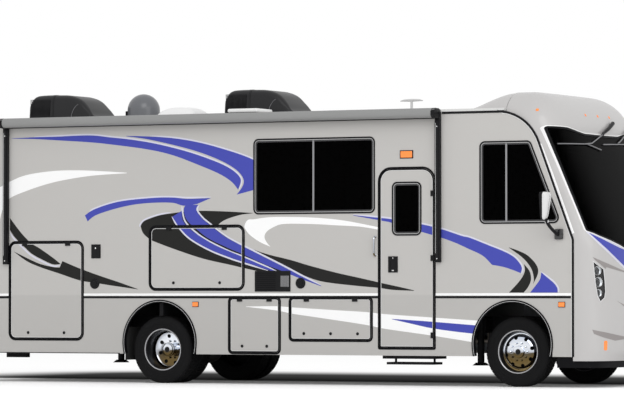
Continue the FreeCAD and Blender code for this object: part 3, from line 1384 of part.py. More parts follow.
# Jacks, flaps and the folded entry step
def jack(x):
    y = -JACK_SPACING / 2
    foot = Part.makeCone(JACK_FOOT_RADIUS, JACK_FOOT_RADIUS * JACK_FOOT_TAPER,
                         JACK_FOOT_HEIGHT, Vector(x, y, JACK_FOOT_BOTTOM))
    ram_foot = JACK_FOOT_BOTTOM + JACK_FOOT_HEIGHT - JACK_FOOT_LAP
    ram = rod(Vector(x, y, ram_foot), Vector(x, y, RAIL_TOP), JACK_RAM_RADIUS)
    half = JACK_PLATE / 2
    plate_z = RAIL_BOTTOM + JACK_PLATE_UP
    plate = box(x - half, x + half, y, -RAIL_SPACING / 2, plate_z, plate_z + JACK_PLATE_HEIGHT)
    return fuse([foot, ram, plate])


def mud_flap():
    x = REAR_AXLE_X - TYRE_RADIUS - FLAP_BEHIND_TYRE
    inboard = -SPRING_SPACING / 2 - SPRING_WIDTH / 2 - FLAP_BESIDE_SPRING
    return box(x - FLAP_THICKNESS, x, -INNER, inboard, FLAP_BOTTOM, RAIL_BOTTOM + FLAP_HELD)


def entry_step():
    mid = (ENTRY_DOOR.x0 + ENTRY_DOOR.x1) / 2
    half = STEP_LENGTH / 2
    y = -INNER + STEP_INSET
    near = y + LOWER_STEP_NARROW
    under = STEP_TOP - STEP_THICKNESS
    tread = box(mid - half, mid + half, y, y + STEP_DEPTH, under, STEP_TOP)
    lower_top = under - LOWER_STEP_BELOW
    lower = box(mid - half + LOWER_STEP_IN, mid + half - LOWER_STEP_IN, near,
                y + STEP_DEPTH - LOWER_STEP_NARROW, lower_top - LOWER_STEP_SHEET, lower_top)
    bars = []
    for side in (-1, 1):
        x = mid + side * (half - STEP_ARM_IN)
        bars.append(box(x - STEP_ARM / 2, x + STEP_ARM / 2, near, near + STEP_ARM_DEPTH, STEP_TOP,
                        STEP_WELL_FLOOR - STEP_SHEET))
        x = mid + side * (half - STEP_LINK_IN)
        link_y = y + STEP_LINK_FROM
        bars.append(box(x - STEP_LINK / 2, x + STEP_LINK / 2, link_y, link_y + STEP_LINK_DEPTH,
                        lower_top - STEP_LINK_LAP, STEP_TOP))
    return fuse([tread, lower] + bars)


# Awning rolled up along the right wall
def awning_arms():
    arms = []
    for x0 in (from_rear_axle(AWNING_BACK),
               from_rear_axle(AWNING_BACK) + AWNING_LENGTH - AWNING_ARM_WIDTH):
        x1 = x0 + AWNING_ARM_WIDTH
        post = box(x0, x1, -HALF - AWNING_ARM_DEPTH, -HALF, AWNING_ARM_BOTTOM, AWNING_Z)
        head = side_prism(rectangle(x0, x1, AWNING_Z - AWNING_HEAD_DOWN, AWNING_Z + AWNING_HEAD_UP),
                          [AWNING_HEAD_CORNER] * 4, -HALF - AWNING_OUT - AWNING_RADIUS - AWNING_HEAD_PAST,
                          -HALF)
        arms.append(fuse([post, head]))
    return arms


def awning_roller():
    x0 = from_rear_axle(AWNING_BACK) + AWNING_ARM_WIDTH
    x1 = x0 + AWNING_LENGTH - 2 * AWNING_ARM_WIDTH
    y = -HALF - AWNING_OUT
    tube = rod(Vector(x0, y, AWNING_Z), Vector(x1, y, AWNING_Z), AWNING_RADIUS)
    under = AWNING_Z - AWNING_RADIUS
    rail_bar = box(x0, x1, y - AWNING_BAR / 2, y + AWNING_BAR / 2, under - AWNING_BAR_DROP,
                   under + AWNING_BAR_LAP)
    return fuse([tube, rail_bar])


# Roof fittings, each cut to the roof's crown
def seated(shape, roof_panel):
    return shape.cut(roof_panel)


def roof_unit(at):
    """Shroud, tall at the back and drawn down to a low nose."""
    x0 = from_rear_axle(at) - ROOF_UNIT_LENGTH / 2
    x1 = x0 + ROOF_UNIT_LENGTH
    top = ROOF_UNIT_TOP
    base = WALL_TOP + ROOF_CROWN - ROOF_UNIT_SUNK
    outline = [(x0, base), (x1, base), (x1 - ROOF_UNIT_NOSE_TILT, base + ROOF_UNIT_NOSE_RISE),
               (x1 - ROOF_UNIT_BROW_BACK, top - ROOF_UNIT_BROW_DROP), (x0 + ROOF_UNIT_PEAK_IN, top),
               (x0 + ROOF_UNIT_TAIL_IN, top - ROOF_UNIT_TAIL_DROP)]
    half = ROOF_UNIT_WIDTH / 2
    shroud = side_prism(outline, [0.0, 0.0, ROOF_UNIT_NOSE_ROUND, ROOF_UNIT_BROW_ROUND,
                                  ROOF_UNIT_PEAK_ROUND, ROOF_UNIT_TAIL_ROUND], -half, half)
    side = half - ROOF_UNIT_SIDE_TILT
    shoulder = half - ROOF_UNIT_SHOULDER
    low = top - ROOF_UNIT_SIDE_DROP
    across = front_prism([(-half, base), (half, base), (side, low), (shoulder, top + 1),
                          (-shoulder, top + 1), (-side, low)],
                         [0.0, 0.0] + [ROOF_UNIT_NOSE_ROUND] * 4, x0 - 1, x1 + 1)
    return shroud.common(across)


def satellite_dome():
    x = from_rear_axle(DISH_AT)
    base = WALL_TOP + ROOF_CROWN - DISH_SUNK
    height = DISH_TOP - DISH_RADIUS
    under = Part.makeCylinder(DISH_RADIUS, 2 * DISH_RADIUS, Vector(x, 0, base - 2 * DISH_RADIUS))
    ball = Part.makeSphere(DISH_RADIUS, Vector(x, 0, height)).cut(under)
    skirt_z = base + DISH_FOOT_RISE - DISH_FOOT_LAP
    skirt = Part.makeCylinder(DISH_RADIUS, height - skirt_z, Vector(x, 0, skirt_z))
    foot = Part.makeCone(DISH_RADIUS * DISH_FOOT_SHARE, DISH_RADIUS * DISH_NECK_SHARE, DISH_FOOT_RISE,
                         Vector(x, 0, base))
    return fuse([ball, skirt, foot])


def skylight():
    x = from_rear_axle(SKYLIGHT_AT)
    base = WALL_TOP + ROOF_CROWN - SKYLIGHT_SUNK
    half = SKYLIGHT_SIZE / 2
    corners = rectangle(x - half, x + half, -half, half)
    curb = plan_prism(corners, [SKYLIGHT_CORNER] * 4, base, base + SKYLIGHT_CURB)
    rise = SKYLIGHT_TOP - base - SKYLIGHT_LIFT
    radius = (half * half + rise * rise) / (2 * rise)
    dome = Part.makeSphere(radius, Vector(x, 0, SKYLIGHT_TOP - radius))
    inner = half - SKYLIGHT_RIM
    pillar = plan_prism(rectangle(x - inner, x + inner, -inner, inner), [SKYLIGHT_CORNER] * 4,
                        base + SKYLIGHT_RIM, SKYLIGHT_TOP + SKYLIGHT_LIFT)
    return fuse([curb, dome.common(pillar)])


def roof_vent():
    x = from_rear_axle(VENT_AT)
    half = VENT_SIZE / 2
    y = -VENT_SIDE
    skin = WALL_TOP + ROOF_CROWN
    lid = plan_prism(rectangle(x - half, x + half, y - half, y + half), [VENT_CORNER] * 4,
                     skin - VENT_SUNK, skin + VENT_RISE - VENT_SHORT)
    top = [e for e in lid.Edges if min(v.Z for v in e.Vertexes) > skin]
    return lid.makeFillet(VENT_TOP_ROUND, top)


def antenna():
    x = from_rear_axle(ANTENNA_AT)
    base = WALL_TOP + ROOF_CROWN - ANTENNA_SUNK
    at = Vector(x, 0, base)
    foot = Part.makeCone(ANTENNA_FOOT_RADIUS, ANTENNA_NECK_RADIUS, ANTENNA_FOOT_RISE, at)
    mast = Part.makeCylinder(ANTENNA_MAST_RADIUS, ANTENNA_TOP - ANTENNA_MAST_SHORT - base, at)
    half = ANTENNA_SPAN / 2
    under = ANTENNA_TOP - ANTENNA_BAR_RISE
    upper = half - ANTENNA_BAR_SLOPE
    outline = [(x - half, under), (x + half, under), (x + upper, ANTENNA_TOP), (x - upper, ANTENNA_TOP)]
    bar = side_prism(outline, [ANTENNA_BAR_CORNER] * 4, -ANTENNA_BAR_WIDTH / 2, ANTENNA_BAR_WIDTH / 2)
    return fuse([foot, mast, bar])


# Mirrors on their arms
def mirror_right():
    x = from_front_axle(MIRROR_AHEAD)
    y0 = -HALF - MIRROR_OUT - MIRROR_WIDTH
    y1 = -HALF - MIRROR_OUT
    z0 = MIRROR_BOTTOM
    arm_z = MIRROR_ARM_Z
    head = front_prism(rectangle(y0, y1, z0, z0 + MIRROR_HEIGHT), [MIRROR_CORNER] * 4,
                       x - MIRROR_DEPTH / 2, x + MIRROR_DEPTH / 2)
    nose = [e for e in head.Edges if min(v.X for v in e.Vertexes) > x]
    head = head.makeFillet(MIRROR_NOSE_ROUND, nose)
    mid_y = (y0 + y1) / 2
    elbow = Vector(x, mid_y, arm_z)
    arm = rod(Vector(x, -HALF, arm_z), elbow, MIRROR_ARM_RADIUS)
    post = rod(elbow, Vector(x, mid_y, z0 + MIRROR_POST_UP), MIRROR_ARM_RADIUS)
    joint = Part.makeSphere(MIRROR_ARM_RADIUS, elbow)
    half = MIRROR_FOOT_LENGTH / 2
    rise = MIRROR_FOOT_HEIGHT / 2
    foot = side_prism(rectangle(x - half, x + half, arm_z - rise, arm_z + rise), [MIRROR_FOOT_CORNER] * 4,
                      -HALF - MIRROR_FOOT_PROUD, -HALF)
    return fuse([head, arm, post, joint, foot]).cut(wall_panel())


# Small lamps
def marker(x, z, length, height):
    return side_prism(rectangle(x - length / 2, x + length / 2, z - height / 2, z + height / 2),
                      [height * MARKER_CORNER_SHARE] * 4, -HALF - MARKER_PROUD, -HALF)


def marker_lamps():
    """Side markers, porch lamp, turn lamps and the row over the windshield."""
    rear = marker(from_rear_axle(REAR_MARKER_AT), MARKER_Z, MARKER_LENGTH, MARKER_HEIGHT)
    front = marker(from_front_axle(FRONT_MARKER_AHEAD), MARKER_Z, MARKER_LENGTH, MARKER_HEIGHT)
    porch = marker(from_rear_axle(PORCH_LAMP_AT), PORCH_LAMP_Z, PORCH_LAMP_LENGTH,
                   PORCH_LAMP_HEIGHT)
    solids = [rear, mirrored(rear), front, mirrored(front), porch]
    solids += turn_lamps().Solids
    z = (GLASS_TOP + CREST) / 2 - CLEARANCE_LAMP_DROP
    rise = CLEARANCE_LAMP_HEIGHT / 2
    proud = cap_solid(-CLEARANCE_LAMP_PROUD)
    first = -CLEARANCE_LAMP_PITCH * (CLEARANCE_LAMPS - 1) / 2
    for i in range(CLEARANCE_LAMPS):
        y = first + CLEARANCE_LAMP_PITCH * i
        half = CLEARANCE_LAMP_LENGTH / 2
        block = front_prism(rectangle(y - half, y + half, z - rise, z + rise),
                            [CLEARANCE_LAMP_CORNER] * 4, from_front_axle(0), NOSE_X)
        solids += proud.common(block).cut(CAP_FORM).Solids
    return Part.makeCompound(solids)


def tail_lamps():
    return pair(tail_lamp_prism())


# Wipers hung from the brow
def wiper(pivot_y):
    rake = math.tan(math.radians(GLASS_RAKE))

    def skin_x(z):
        return NOSE_X - NOSE_SETBACK - (z - BROW_BOTTOM) * rake

    z = GLASS_TOP - WIPER_BELOW_TOP
    top = Vector(skin_x(z) + WIPER_ROOT_PROUD, pivot_y, z)
    tip_z = z - WIPER_DROP
    tip = Vector(skin_x(tip_z) + WIPER_TIP_PROUD, pivot_y - WIPER_LENGTH, tip_z)
    arm = rod(top, tip, WIPER_ARM_RADIUS)
    boss = rod(top.add(Vector(-WIPER_BOSS_IN, 0, 0)), top.add(Vector(WIPER_BOSS_PAST, 0, 0)),
               WIPER_BOSS_RADIUS)
    return fuse([arm, boss]).cut(CAP_FORM)


def wipers():
    return [wiper(0.0), wiper(WIPER_PIVOT_Y)]


# Cab inside: dashboard with the steering wheel, and two seats
def dashboard():
    x0 = NOSE_X - DASH_BEHIND_NOSE
    x1 = x0 + DASH_DEPTH
    outline = [(x0 + DASH_KNEE_IN, FLOOR_TOP), (x1 - DASH_FOOT_BACK, FLOOR_TOP),
               (x1, DASH_TOP - DASH_NOSE_DROP), (x1 - DASH_NOSE_BACK, DASH_TOP - DASH_NOSE_ROLL),
               (x0 + DASH_COWL, DASH_TOP), (x0, DASH_TOP - DASH_FACE_DROP),
               (x0 + DASH_SHIN_IN, DASH_TOP - DASH_SHIN_DROP)]
    soft = DASH_ROUND
    return side_prism(outline, [0.0, soft, soft, soft, 2 * soft, 2 * soft, 2 * soft],
                      -HALF + DASH_SIDE_GAP, HALF - DASH_SIDE_GAP)


def steering_wheel():
    """Wheel on its column, which ends on the face of the dashboard."""
    x0 = NOSE_X - DASH_BEHIND_NOSE
    y = SEAT_SPACING / 2
    foot = Vector(x0 + COLUMN_IN_DASH, y, DASH_TOP - COLUMN_BELOW_DASH)
    hub_at = Vector(x0 - STEERING_BEHIND_DASH, y, DASH_TOP + STEERING_ABOVE_DASH)
    axis = hub_at.sub(foot)
    ring = Part.makeTorus(STEERING_WHEEL_RADIUS, STEERING_RIM_RADIUS, hub_at, axis)
    spokes = [Part.makeCylinder(STEERING_SPOKE_RADIUS, STEERING_WHEEL_RADIUS, hub_at,
                                spoke_direction(axis, angle)) for angle in (0, 120, 240)]
    along = Vector(axis)
    along.normalize()
    boss_half = along * (STEERING_BOSS_THICK / 2)
    boss = rod(hub_at.sub(boss_half), hub_at.add(boss_half), STEERING_BOSS_RADIUS)
    return fuse([rod(foot, hub_at, COLUMN_RADIUS), ring, boss] + spokes).cut(dashboard())


def spoke_direction(axis, angle):
    across = Vector(0, 1, 0)
    up = axis.cross(across)
    up.normalize()
    turn = math.radians(angle)
    return across * math.cos(turn) + up * math.sin(turn)


def cab_seat(side):
    x = from_front_axle(SEAT_AHEAD)
    y = side * SEAT_SPACING / 2
    half = SEAT_WIDTH / 2
    length = SEAT_PEDESTAL_LENGTH / 2
    width = SEAT_PEDESTAL_WIDTH / 2
    under = SEAT_CUSHION_TOP - SEAT_CUSHION_THICK
    pedestal = box(x - length, x + length, y - width, y + width, FLOOR_TOP, under + SEAT_LAP)
    reach = SEAT_CUSHION_LENGTH / 2
    cushion = side_prism(rectangle(x - reach, x + reach, under, SEAT_CUSHION_TOP),
                         [SEAT_ROUND] * 4, y - half, y + half)
    top = SEAT_CUSHION_TOP + SEAT_BACK_HEIGHT
    low = SEAT_CUSHION_TOP - SEAT_BACK_SUNK
    back_top = x - SEAT_BACK_FOOT - SEAT_BACK_LEAN
    back = [(x - SEAT_BACK_FOOT, low), (x - SEAT_BACK_FRONT, low), (back_top + SEAT_BACK_THICK, top),
            (back_top, top)]
    rest = side_prism(back, [SEAT_ROUND * 0.6, SEAT_ROUND * 0.6, SEAT_ROUND, SEAT_ROUND], y - half,
                      y + half)
    return fuse([pedestal, cushion, rest])


# Hatches, grab handle, ladder and rear bumper
def service_hatches():
    y0 = -HALF - HATCH_PROUD
    x = from_rear_axle(VENT_PANEL_BACK)
    panel = side_prism(rectangle(x, x + VENT_PANEL_LENGTH, VENT_PANEL_BOTTOM,
                                 VENT_PANEL_BOTTOM + VENT_PANEL_HEIGHT), [HATCH_CORNER] * 4, y0, -HALF)
    x = from_rear_axle(SOCKET_BACK)
    socket = side_prism(rectangle(x, x + SOCKET_LENGTH, SOCKET_BOTTOM, SOCKET_BOTTOM + SOCKET_HEIGHT),
                        [HATCH_CORNER] * 4, y0, -HALF)
    caps = [rod(Vector(from_rear_axle(at), -HALF, FILLER_CAP_Z),
                Vector(from_rear_axle(at), y0, FILLER_CAP_Z), FILLER_CAP_RADIUS)
            for at in (REAR_CAP_AT, FRONT_CAP_AT)]
    return [panel, socket] + caps


def grab_handle():
    x = ENTRY_DOOR.x0 - HANDLE_BEHIND_DOOR
    y = -HALF - HANDLE_PROUD
    bar = rod(Vector(x, y, HANDLE_BOTTOM), Vector(x, y, HANDLE_TOP), HANDLE_RADIUS)
    feet = [rod(Vector(x, y, z), Vector(x, -HALF, z), HANDLE_FOOT_RADIUS)
            for z in (HANDLE_BOTTOM + HANDLE_FOOT_IN, HANDLE_TOP - HANDLE_FOOT_IN)]
    return fuse([bar] + feet)


def rear_ladder():
    """Two rails over the roof edge with level rungs and feet on the wall."""
    x = REAR_FACE_X - LADDER_STANDOFF
    x1 = REAR_FACE_X + LADDER_ONTO_ROOF
    top = WALL_TOP + ROOF_CROWN + LADDER_OVER_ROOF
    low = LADDER_BOTTOM + LADDER_FOOT_UP
    y0 = LADDER_SIDE - LADDER_WIDTH / 2
    y1 = LADDER_SIDE + LADDER_WIDTH / 2
    parts = []
    for y in (y0, y1):
        parts.append(rod(Vector(x, y, LADDER_BOTTOM), Vector(x, y, top), LADDER_TUBE))
        parts.append(Part.makeSphere(LADDER_TUBE, Vector(x, y, top)))
        parts.append(rod(Vector(x, y, top), Vector(x1, y, top), LADDER_TUBE))
        parts.append(Part.makeSphere(LADDER_TUBE, Vector(x1, y, top)))
        parts.append(rod(Vector(x1, y, top), Vector(x1, y, WALL_TOP + LADDER_LANDING), LADDER_TUBE))
        for z in (low, WALL_TOP - LADDER_TOP_FOOT_DOWN):
            parts.append(rod(Vector(x, y, z), Vector(REAR_FACE_X, y, z), LADDER_TUBE))
    pitch = (WALL_TOP - low) / LADDER_RUNGS
    for i in range(LADDER_RUNGS + 1):
        z = low + pitch * i
        parts.append(rod(Vector(x, y0, z), Vector(x, y1, z), LADDER_TUBE * LADDER_RUNG_SHARE))
    return fuse(parts)


def rear_bumper():
    """Moulded bumper, wrapped round both corners below the rear wall."""
    x0 = -OVERALL_LENGTH / 2
    x1 = REAR_FACE_X + REAR_CORNER_RADIUS
    radius = REAR_CORNER_RADIUS + BUMPER_DEPTH / 2
    outer = plan_prism([(x0, -HALF), (x1, -HALF), (x1, HALF), (x0, HALF)], [radius, 0.0, 0.0, radius],
                       SKIRT_BOTTOM, REAR_WALL_BOTTOM)
    inner = plan_prism([(x0 + WALL, -INNER), (x1 + 1, -INNER), (x1 + 1, INNER), (x0 + WALL, INNER)],
                       [radius - WALL, 0.0, 0.0, radius - WALL], SKIRT_BOTTOM - 1, REAR_WALL_BOTTOM + 1)
    return outer.cut(inner)


def hitch_receiver():
    """Square tube under the rear cross member, with a cross hole for the draw bar's pin."""
    half = HITCH_TUBE / 2
    hollow = HITCH_BORE / 2
    mouth = -OVERALL_LENGTH / 2 + HITCH_MOUTH_IN
    z = HITCH_Z
    tube = box(mouth, mouth + HITCH_LENGTH, -half, half, z - half, z + half)
    hollow_box = box(mouth - 1, mouth + HITCH_LENGTH + 1, -hollow, hollow, z - hollow, z + hollow)
    pin_x = mouth + HITCH_PIN_IN
    pin_hole = rod(Vector(pin_x, -HITCH_TUBE, z), Vector(pin_x, HITCH_TUBE, z), HITCH_PIN_RADIUS)
    cross_x = mouth + HITCH_LENGTH - HITCH_TUBE
    cross = box(cross_x, cross_x + HITCH_TUBE, -RAIL_SPACING / 2, RAIL_SPACING / 2, z + half,
                z + half + HITCH_TUBE)
    plate = HITCH_PLATE / 2
    hangers = [box(cross_x, cross_x + HITCH_TUBE, y - plate, y + plate, z + half + HITCH_TUBE, RAIL_BOTTOM)
               for y in (-RAIL_SPACING / 2 + plate, RAIL_SPACING / 2 - plate)]
    return fuse([tube, cross] + hangers).cut([hollow_box, pin_hole])


def export(name, shape):
    solids = shape.Solids
    result = solids[0] if len(solids) == 1 else Part.makeCompound(solids)
    result.exportStep("parts/%s.step" % name)
    print("%-28s %2d solids %9.3f litres %s" % (name, len(solids), shape.Volume / 1e6, shape.isValid()))


def build():
    os.makedirs("parts", exist_ok=True)
    roof_panel = roof()
    export("roof", roof_panel)
    export("right_wall", side_wall(RIGHT_DOORS.values(), RIGHT_WINDOWS))
    export("left_wall", mirrored(side_wall(LEFT_DOORS.values(), LEFT_WINDOWS)))
    export("rear_wall", rear_wall())
    export("front_cap", front_cap())
    export("floor", floor())
    export("step_well", step_well())
    export("storage_bays", storage_bays())

    frames = [window_frame(*window) for window in RIGHT_WINDOWS]
    frames += [mirrored(window_frame(*window)) for window in LEFT_WINDOWS]
    export("window_frames", Part.makeCompound(frames + [rear_window_frame()]))
    panes = [window_panes(*window) for window in RIGHT_WINDOWS]
    panes += [mirrored(window_panes(*window)) for window in LEFT_WINDOWS]
    export("window_glass", Part.makeCompound(panes + [rear_window_pane()]))
    export("windshield", windshield())

    export("entry_door", entry_door_leaf())
    export("entry_door_glass", entry_door_glass())
    for name, door in RIGHT_DOORS.items():
        if door is not ENTRY_DOOR:
            export(name, hung_door(door))
    for name, door in LEFT_DOORS.items():
        export(name, mirrored(hung_door(door)))

    front_centre = Vector(FRONT_AXLE_X, -FRONT_WHEEL_Y, TYRE_RADIUS)
    outer_centre = Vector(REAR_AXLE_X, -REAR_OUTER_Y, TYRE_RADIUS)
    inner_centre = Vector(REAR_AXLE_X, -REAR_INNER_Y, TYRE_RADIUS)
    rear_tyres = Part.makeCompound([tyre(outer_centre), tyre(inner_centre)])
    export("tyre_front_right", tyre(front_centre))
    export("tyre_front_left", mirrored(tyre(front_centre)))
    export("rim_front_right", front_rim_right())
    export("rim_front_left", mirrored(front_rim_right()))
    export("tyres_rear_right", rear_tyres)
    export("tyres_rear_left", mirrored(rear_tyres))
    export("rims_rear_right", rear_rims_right())
    export("rims_rear_left", mirrored(rear_rims_right()))

    export("front_axle", front_axle())
    export("knuckle_right", knuckle_right())
    export("knuckle_left", mirrored(knuckle_right()))
    export("tie_rod", tie_rod())
    export("rear_axle", rear_axle())

    export("frame_rails", pair(rail()))
    export("cross_members", cross_members())
    export("driveline", fuse([engine(), drive_shaft()]))
    export("fuel_tank", fuel_tank())
    export("exhaust", exhaust())
    jacks = [pair(jack(from_rear_axle(JACK_BACK))), pair(jack(from_front_axle(-FRONT_JACK_BEHIND)))]
    export("jacks", Part.makeCompound(jacks))
    export("mud_flaps", pair(mud_flap()))
    export("entry_step", entry_step())
    export("rear_bumper", rear_bumper())
    export("hitch_receiver", hitch_receiver())

    export("awning", fuse(awning_arms() + [awning_roller()]))
    units = [seated(roof_unit(at), roof_panel) for at in (REAR_UNIT_AT, FRONT_UNIT_AT)]
    export("roof_units", Part.makeCompound(units))
    fittings = [seated(shape, roof_panel) for shape in (satellite_dome(), skylight(), roof_vent(),
                                                        antenna())]
    export("roof_fittings", Part.makeCompound(fittings))

    export("mirrors", pair(mirror_right()))
    export("headlamps", headlamps())
    export("marker_lamps", marker_lamps())
    export("tail_lamps", tail_lamps())
    export("front_grille", front_grille())
    export("dashboard", dashboard())
    export("steering_wheel", steering_wheel())
    export("cab_seats", Part.makeCompound([cab_seat(-1), cab_seat(1)]))
    export("outside_fittings", Part.makeCompound(service_hatches() + [grab_handle()] + wipers()))
    export("rear_ladder", rear_ladder().cut(roof_panel))


build()
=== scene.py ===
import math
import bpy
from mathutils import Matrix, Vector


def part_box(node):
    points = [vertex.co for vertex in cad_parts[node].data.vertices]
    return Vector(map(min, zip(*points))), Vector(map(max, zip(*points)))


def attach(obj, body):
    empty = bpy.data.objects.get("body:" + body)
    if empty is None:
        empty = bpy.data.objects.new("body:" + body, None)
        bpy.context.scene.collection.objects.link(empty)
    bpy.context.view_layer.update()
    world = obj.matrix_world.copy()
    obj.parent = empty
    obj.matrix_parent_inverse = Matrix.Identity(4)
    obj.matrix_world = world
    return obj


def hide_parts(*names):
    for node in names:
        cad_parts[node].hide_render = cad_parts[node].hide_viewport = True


bl_info = {
    "name": "Motorhome Finish",
    "version": (1, 0, 0),
    "blender": (4, 5, 0),
    "location": "View3D > Sidebar > Motorhome",
    "description": "Dresses the motorhome frame with paint, stripes, glass and wheels",
    "category": "Object",
}

import bmesh
import bpy
from mathutils import Euler, Vector

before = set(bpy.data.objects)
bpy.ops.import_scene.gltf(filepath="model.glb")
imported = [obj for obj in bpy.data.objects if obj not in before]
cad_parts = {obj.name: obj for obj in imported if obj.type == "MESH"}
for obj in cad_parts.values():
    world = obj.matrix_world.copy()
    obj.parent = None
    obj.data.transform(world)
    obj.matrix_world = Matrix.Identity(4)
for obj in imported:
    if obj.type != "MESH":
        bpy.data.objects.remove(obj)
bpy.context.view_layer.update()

# Photograph and camera
IMAGE_WIDTH = 624
CAMERA_PLACE = Vector((22.608, -43.609, 1.05))
CAMERA_TURN = math.radians(27.4)
CAMERA_PITCH = math.radians(1.454)
CAMERA_LENS = 225.0
SENSOR_WIDTH = 36.0
FOCAL_PIXELS = CAMERA_LENS / SENSOR_WIDTH * IMAGE_WIDTH
PHOTO_CENTRE = IMAGE_WIDTH / 2
PHOTO_MIDDLE = 200.0
PHOTO_HORIZON = 299.0

# Sizes read off the frame
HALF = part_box("rear_wall")[1].y
WALL_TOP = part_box("rear_wall")[1].z
REAR_FACE_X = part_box("rear_wall")[0].x
NOSE_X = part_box("front_cap")[1].x
SKIRT_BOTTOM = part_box("rear_bumper")[0].z
FRONT_AXLE_X = (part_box("tyre_front_right")[0].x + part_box("tyre_front_right")[1].x) / 2
REAR_AXLE_X = (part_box("tyres_rear_right")[0].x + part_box("tyres_rear_right")[1].x) / 2
TYRE_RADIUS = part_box("tyre_front_right")[1].z / 2
SEAM_X = FRONT_AXLE_X + 0.788
ROOF_JOINT_X = FRONT_AXLE_X - 0.106
SEAM_KNEE = 1.755
SEAM_RAKE = math.tan(math.radians(20.75))
SEAM_KNEE_RADIUS = 0.120
SEAM_TOP_RADIUS = 0.570
ARCH_RADIUS = 0.523
ARCH_CENTRE = 0.510
DOOR_GAP = 0.006
HINGE_RISE = 0.010
BELT_Z = 1.100
BELT_BLEND = 0.010
LOWER_SHADE = 0.925
# Least radius of a turned profile, in place of a point on its axis
AXIS = 0.0003


# Loops of points and plain solids
def grown(corners, grow):
    """Corners of the same outline with every edge moved outwards; corners run anticlockwise."""
    moved = []
    count = len(corners)
    for i in range(count):
        before = Vector(corners[i]) - Vector(corners[i - 1])
        after = Vector(corners[(i + 1) % count]) - Vector(corners[i])
        out_before = Vector((before.y, -before.x)).normalized()
        out_after = Vector((after.y, -after.x)).normalized()
        spread = (out_before + out_after) / (1 + out_before.dot(out_after))
        moved.append(tuple(Vector(corners[i]) + spread * grow))
    return moved


def rounded(corners, radii, steps=7):
    """Loop round the corners, each turned with its own radius in the same number of steps."""
    loop = []
    count = len(corners)
    for i, radius in enumerate(radii):
        here = Vector(corners[i])
        before = (Vector(corners[i - 1]) - here).normalized()
        after = (Vector(corners[(i + 1) % count]) - here).normalized()
        half_angle = before.angle(after) / 2
        radius = max(radius, 0.0004)
        reach = radius / math.tan(half_angle)
        centre = here + (before + after).normalized() * (radius / math.sin(half_angle))
        start = here + before * reach - centre
        turn = math.pi - 2 * half_angle
        sign = 1 if before.x * after.y - before.y * after.x < 0 else -1
        for k in range(steps + 1):
            angle = sign * turn * k / steps
            c, s = math.cos(angle), math.sin(angle)
            loop.append((centre.x + start.x * c - start.y * s,
                         centre.y + start.x * s + start.y * c))
    return loop


def rectangle(x0, x1, z0, z1):
    return [(x0, z0), (x1, z0), (x1, z1), (x0, z1)]


def at_x(x):
    """Places a Y-Z point at this X."""
    return lambda p: Vector((x, p[0], p[1]))


def at_y(y):
    """Places an X-Z point at this Y."""
    return lambda p: Vector((p[0], y, p[1]))


def on_side(side, out):
    """Places an X-Z point that far outside the right (-1) or left (1) wall."""
    return at_y(side * (HALF + out))


def around(count):
    """Cosine and sine of angles evenly spread over a full turn."""
    angles = [2 * math.pi * i / count for i in range(count)]
    return [(math.cos(angle), math.sin(angle)) for angle in angles]


def finish_mesh(obj, sharp=35.0):
    """Merges doubles, turns the faces outwards and smooths all but the sharp edges."""
    edit = bmesh.new()
    edit.from_mesh(obj.data)
    bmesh.ops.remove_doubles(edit, verts=edit.verts, dist=1e-6)
    bmesh.ops.dissolve_degenerate(edit, dist=1e-7, edges=edit.edges)
    bmesh.ops.recalc_face_normals(edit, faces=edit.faces)
    edit.to_mesh(obj.data)
    edit.free()
    obj.data.polygons.foreach_set("use_smooth", [True] * len(obj.data.polygons))
    obj.data.set_sharp_from_angle(angle=math.radians(sharp))
    return obj


def mesh_object(name, points, faces, material, sharp=35.0):
    mesh = bpy.data.meshes.new(name)
    mesh.from_pydata([tuple(p) for p in points], [], faces)
    obj = bpy.data.objects.new(name, mesh)
    bpy.context.scene.collection.objects.link(obj)
    if material:
        mesh.materials.append(material)
    return finish_mesh(obj, sharp)


def loft(name, loops, material, wrap=False, sharp=35.0, closed=True):
    """Skin over loops of the same number of points; wrap joins the last loop to the first."""
    count = len(loops[0])
    points = [p for loop in loops for p in loop]
    faces = []
    around = count if closed else count - 1
    for row in range(len(loops) if wrap else len(loops) - 1):
        base, above = row * count, ((row + 1) % len(loops)) * count
        for i in range(around):
            j = (i + 1) % count
            faces.append((base + i, base + j, above + j, above + i))
    if not wrap:
        faces.append(tuple(range(count)))
        faces.append(tuple(range(len(points) - count, len(points))))
    return mesh_object(name, points, faces, material, sharp)


def slab(name, loop, place_in, place_out, material):
    """Solid between one outline placed at two depths."""
    return loft(name, [[place_in(p) for p in loop], [place_out(p) for p in loop]], material)


def band_ring(name, outer, inner, place_in, place_out, material):
    """Flat ring between two outlines with as many points."""
    loops = [[place_in(p) for p in outer], [place_out(p) for p in outer],
             [place_out(p) for p in inner], [place_in(p) for p in inner]]
    return loft(name, loops, material, wrap=True)


def turned(name, profile, centre, material, segments=96, sharp=30.0):
    """Turns a closed profile of (radius, offset along Y) about a line along Y."""
    loops = [[Vector((centre.x + r * c, centre.y + out, centre.z + r * s)) for r, out in profile]
             for c, s in around(segments)]
    return loft(name, loops, material, wrap=True, sharp=sharp)


def upright(name, profile, centre, material, segments=64):
    """Turns a closed profile of (radius, height) about an upright line."""
    loops = [[Vector((centre.x + r * c, centre.y + r * s, centre.z + up)) for r, up in profile]
             for c, s in around(segments)]
    return loft(name, loops, material, wrap=True, sharp=30.0)


def stud(name, side, spot, steps, sunk, material, segments, off=0.0):
    """Round piece on a side wall; its steps run from rim to middle as radius and stand-off."""
    profile = [(steps[0][0], -sunk)] + steps + [(steps[-1][0], -sunk)]
    place = Vector((spot[0], side * (HALF + off), spot[1]))
    return turned(name, [(r, side * out) for r, out in profile], place, material, segments=segments)


